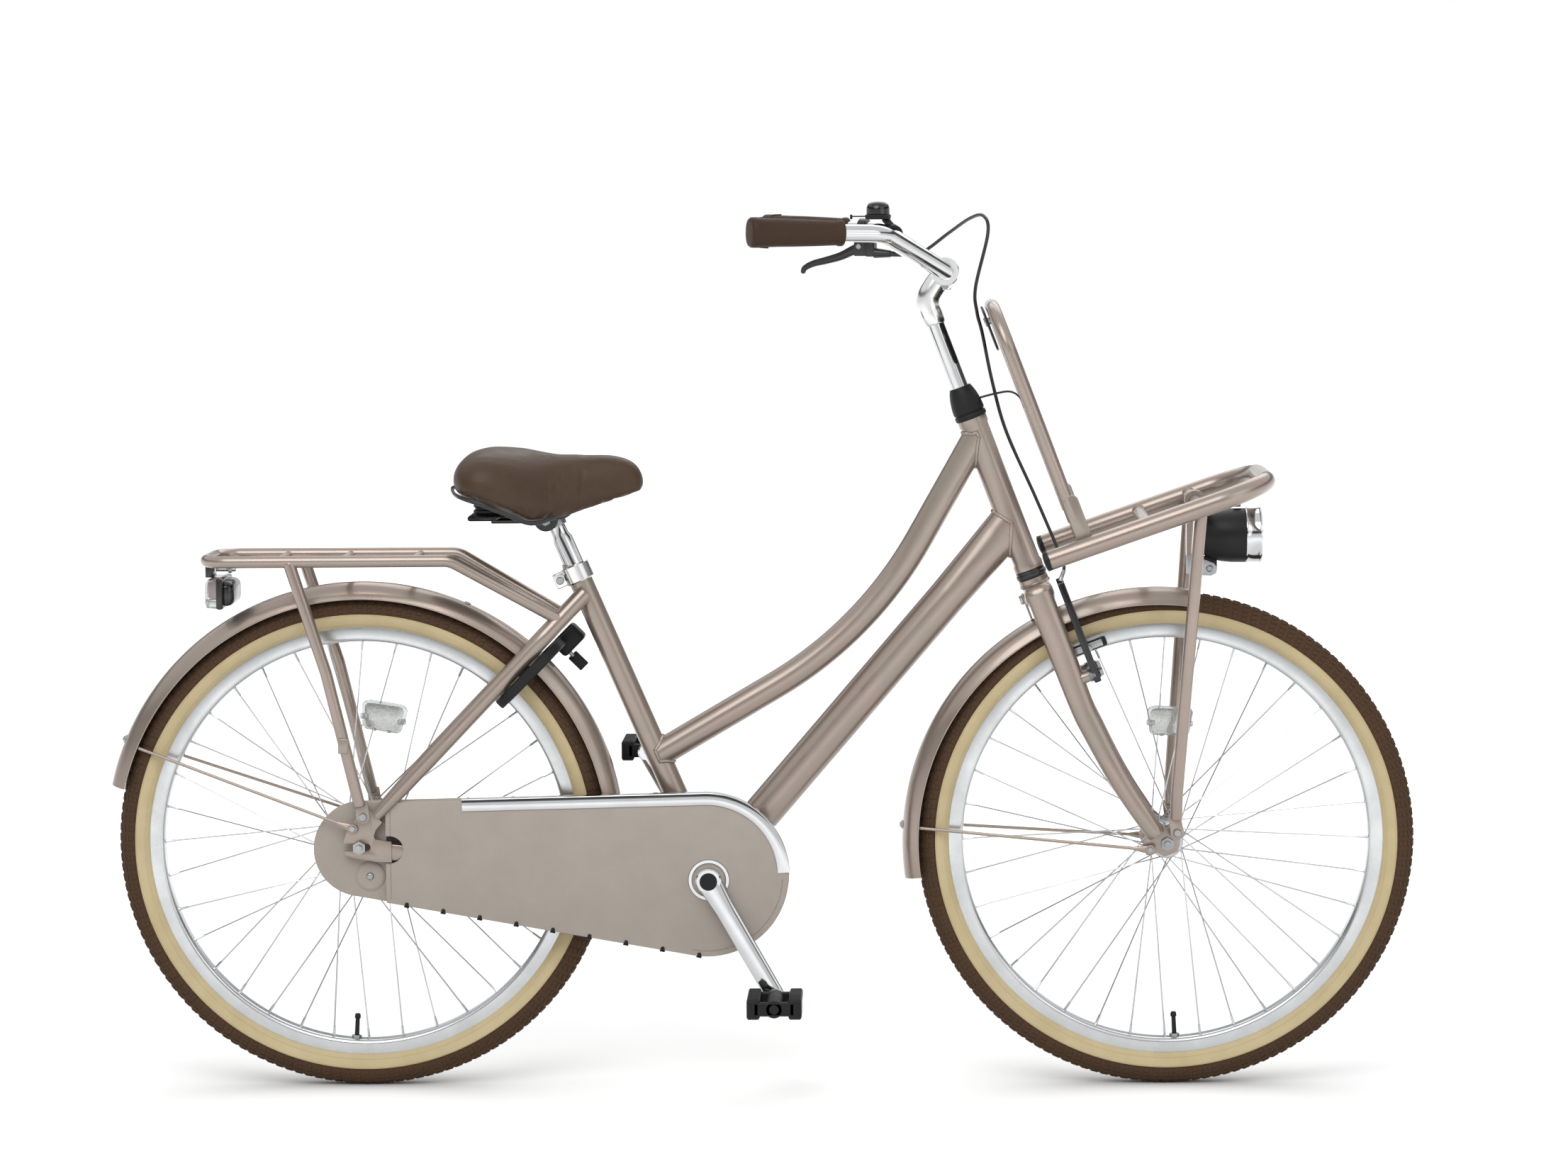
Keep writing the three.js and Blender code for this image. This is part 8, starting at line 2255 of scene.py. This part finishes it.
class Studio:
    """The camera at the photograph's place, soft lights and a pale floor."""

    eye: Point = (723.95, -5728.0, 1182.5)
    yaw: float = -0.029
    pitch: float = 0.091
    roll: float = -0.008
    focal_px: float = 6168
    width_px: float = 2212
    near_glow: float = 0.5
    band_height: float = 0.27
    band_level: float = 0.1

    def camera(self) -> None:
        """The camera, level with the photograph's."""
        sy, cy, sp, cp = (sin(self.yaw), cos(self.yaw), sin(self.pitch), cos(self.pitch))
        forward = v(sy * cp, cy * cp, -sp)
        right = v(cy, -sy, 0)
        up = right.cross(forward)
        cr, sr = cos(self.roll), sin(self.roll)
        right, up = right * cr + up * sr, up * cr - right * sr
        lens = bpy.data.cameras.new("camera")
        lens.sensor_width = 36
        lens.lens = self.focal_px / self.width_px * lens.sensor_width
        lens.clip_end = 100
        camera = linked("camera", lens)
        turn = Matrix((right, up, -forward)).transposed().to_4x4()
        camera.matrix_world = Matrix.Translation(to_frame(v(*self.eye))) @ turn
        bpy.context.scene.camera = camera

    def lights(self) -> None:
        """Three large soft lamps."""
        for name, where, size, power in (("key", (-0.9, -2.9, 3.4), 3.0, 67), ("fill", (2.6, -2.4, 1.9), 2.6, 18),
                ("back", (0.4, 2.6, 3.2), 3.4, 29)):
            data = bpy.data.lights.new(name, "AREA")
            data.shape, data.size, data.energy = "DISK", size, power
            lamp = linked(name, data)
            lamp.location = where
            lamp.rotation_euler = (v(0, 0, 0.5) - v(*where)).to_track_quat("-Z", "Y").to_euler()
        world = bpy.data.worlds.new("studio")
        world.use_nodes = True
        tree = world.node_tree
        tree.nodes.clear()
        soft = node(tree, "ShaderNodeBackground", Color=linear("#f4f5f7"), Strength=0.45)
        # White to above the horizon, then a dark band under a white ceiling, which gives bright metal its contrast
        ray = node(tree, "ShaderNodeTexCoord").outputs["Generated"]
        height = node(tree, "ShaderNodeSeparateXYZ", Vector=ray).outputs["Z"]
        away = node(tree, "ShaderNodeMath", {"operation": "SUBTRACT"}, i0=height, i1=self.band_height)
        off = node(tree, "ShaderNodeMath", {"operation": "ABSOLUTE"}, i0=away.outputs[0])
        level = node(tree, "ShaderNodeMapRange", Value=off.outputs[0], From_Min=0.07, From_Max=0.14,
            To_Min=self.band_level, To_Max=1.0)
        shown = node(tree, "ShaderNodeBackground", Color=linear("#ffffff"), Strength=level.outputs[0])
        mix = node(tree, "ShaderNodeMixShader", i0=self._seen(tree), i1=soft.outputs[0], i2=shown.outputs[0])
        node(tree, "ShaderNodeOutputWorld", Surface=mix.outputs[0])
        bpy.context.scene.world = world

    @staticmethod
    def _seen(tree: NodeTree) -> NodeSocket:
        """1 for the rays that show the background: the camera's, and those in metal and glass.

        Args:
            tree: the node tree.

        Returns:
            The socket.
        """
        rays = node(tree, "ShaderNodeLightPath")
        seen = rays.outputs["Is Camera Ray"]
        for kind in ("Is Glossy Ray", "Is Transmission Ray"):
            seen = node(tree, "ShaderNodeMath", {"operation": "MAXIMUM"}, i0=seen, i1=rays.outputs[kind]).outputs[0]
        return seen

    def floor(self) -> None:
        """The white floor: it keeps the real shadow near the bicycle, glows for camera and mirror rays with a painted
        contact shadow under the tyres, and runs into the background further out.
        """
        mesh = bmesh.new()
        bmesh.ops.create_grid(mesh, x_segments=1, y_segments=1, size=14)
        data = bpy.data.meshes.new("floor")
        mesh.to_mesh(data)
        mesh.free()
        finish = bpy.data.materials.new("pale_floor")
        finish.use_nodes = True
        tree = finish.node_tree
        tree.nodes.clear()
        where = node(tree, "ShaderNodeTexCoord")
        paint = node(tree, "ShaderNodeBsdfDiffuse", Color=linear("#efefee"))
        reach = node(tree, "ShaderNodeVectorMath", {"operation": "LENGTH"}, i0=where.outputs["Object"])
        glow = node(tree, "ShaderNodeMapRange", Value=reach.outputs["Value"], From_Min=0.9, From_Max=2.6,
            To_Min=self.near_glow, To_Max=1.0)
        # Painted contact shadow: the glow fades where something stands close over the floor, which darkens the floor
        # under the tyres
        open_share = node(tree, "ShaderNodeAmbientOcclusion", {"samples": 8}, Distance=0.22).outputs["AO"]
        # The occlusion, sharpened by a power, is the painted contact shadow that dims the glow
        closed = node(tree, "ShaderNodeMath", {"operation": "POWER"}, i0=open_share, i1=2.5)
        glow_with_painted_shadow = node(tree, "ShaderNodeMath", {"operation": "MULTIPLY"}, i0=closed.outputs[0], i1=glow.outputs[0])
        strength = node(tree, "ShaderNodeMath", {"operation": "MULTIPLY"}, i0=self._seen(tree), i1=glow_with_painted_shadow.outputs[0])
        light = node(tree, "ShaderNodeEmission", Color=linear("#ffffff"), Strength=strength.outputs[0])
        both = node(tree, "ShaderNodeAddShader", i0=paint.outputs[0], i1=light.outputs[0])
        node(tree, "ShaderNodeOutputMaterial", Surface=both.outputs[0])
        data.materials.append(finish)
        floor = linked("floor", data)


def kept_nodes() -> None:
    """Gives the CAD nodes whose own shape is right their steel."""
    for name in ("bottom_bracket_cartridge", "bottom_bracket_spindle", "front_axle", "rear_axle", "rear_sprocket",
            "chain", "coaster_brake_arm"):
        materials = FRAME["nodes"][name].data.materials
        materials.clear()
        materials.append(Finishes.zinc_steel.made())


def main() -> None:
    """Builds the bicycle over its frame."""
    logging.basicConfig(level=logging.INFO, format="%(name)s: %(message)s")
    scene = bpy.context.scene
    scene.view_settings.view_transform = "Standard"
    studio = Studio()
    studio.camera()
    cockpit = Cockpit()
    cockpit.cable()
    front = Wheel("front_wheel", SIZES.front_axle, 44, 33, 45, 157, 88, -87.3)
    rear = Wheel("rear_wheel", SIZES.rear_axle, 66, 27, 44, 169, 80.5, -93.5)
    builders = (Frame(), front, rear, ChainCase(), Crankset(), Pedal(Side.RIGHT), Pedal(Side.LEFT),
        Guard("rear_mudguard", "frame", v(0, 0, 326.5), 345, -9, 167, 156.6, v(-8.6, 0, 351.5), 66.8),
        Guard("front_mudguard", "steering", v(1047.2, 0, 323.1), 336, 82, 188.3, 176.2, on_steering(1.7, 16.5), 66),
        RearCarrier(), FrontCarrier(), Fork(), cockpit, Headlamp(), BrakeArms(), RingLock(), Stand(), Saddle())
    for builder in builders:
        before = len(bpy.data.objects)
        builder.build()
        LOG.info("%s: %d pieces", type(builder).__name__, len(bpy.data.objects) - before)
    kept_nodes()
    studio.lights()
    studio.floor()


if __name__ == "__main__":
    main()
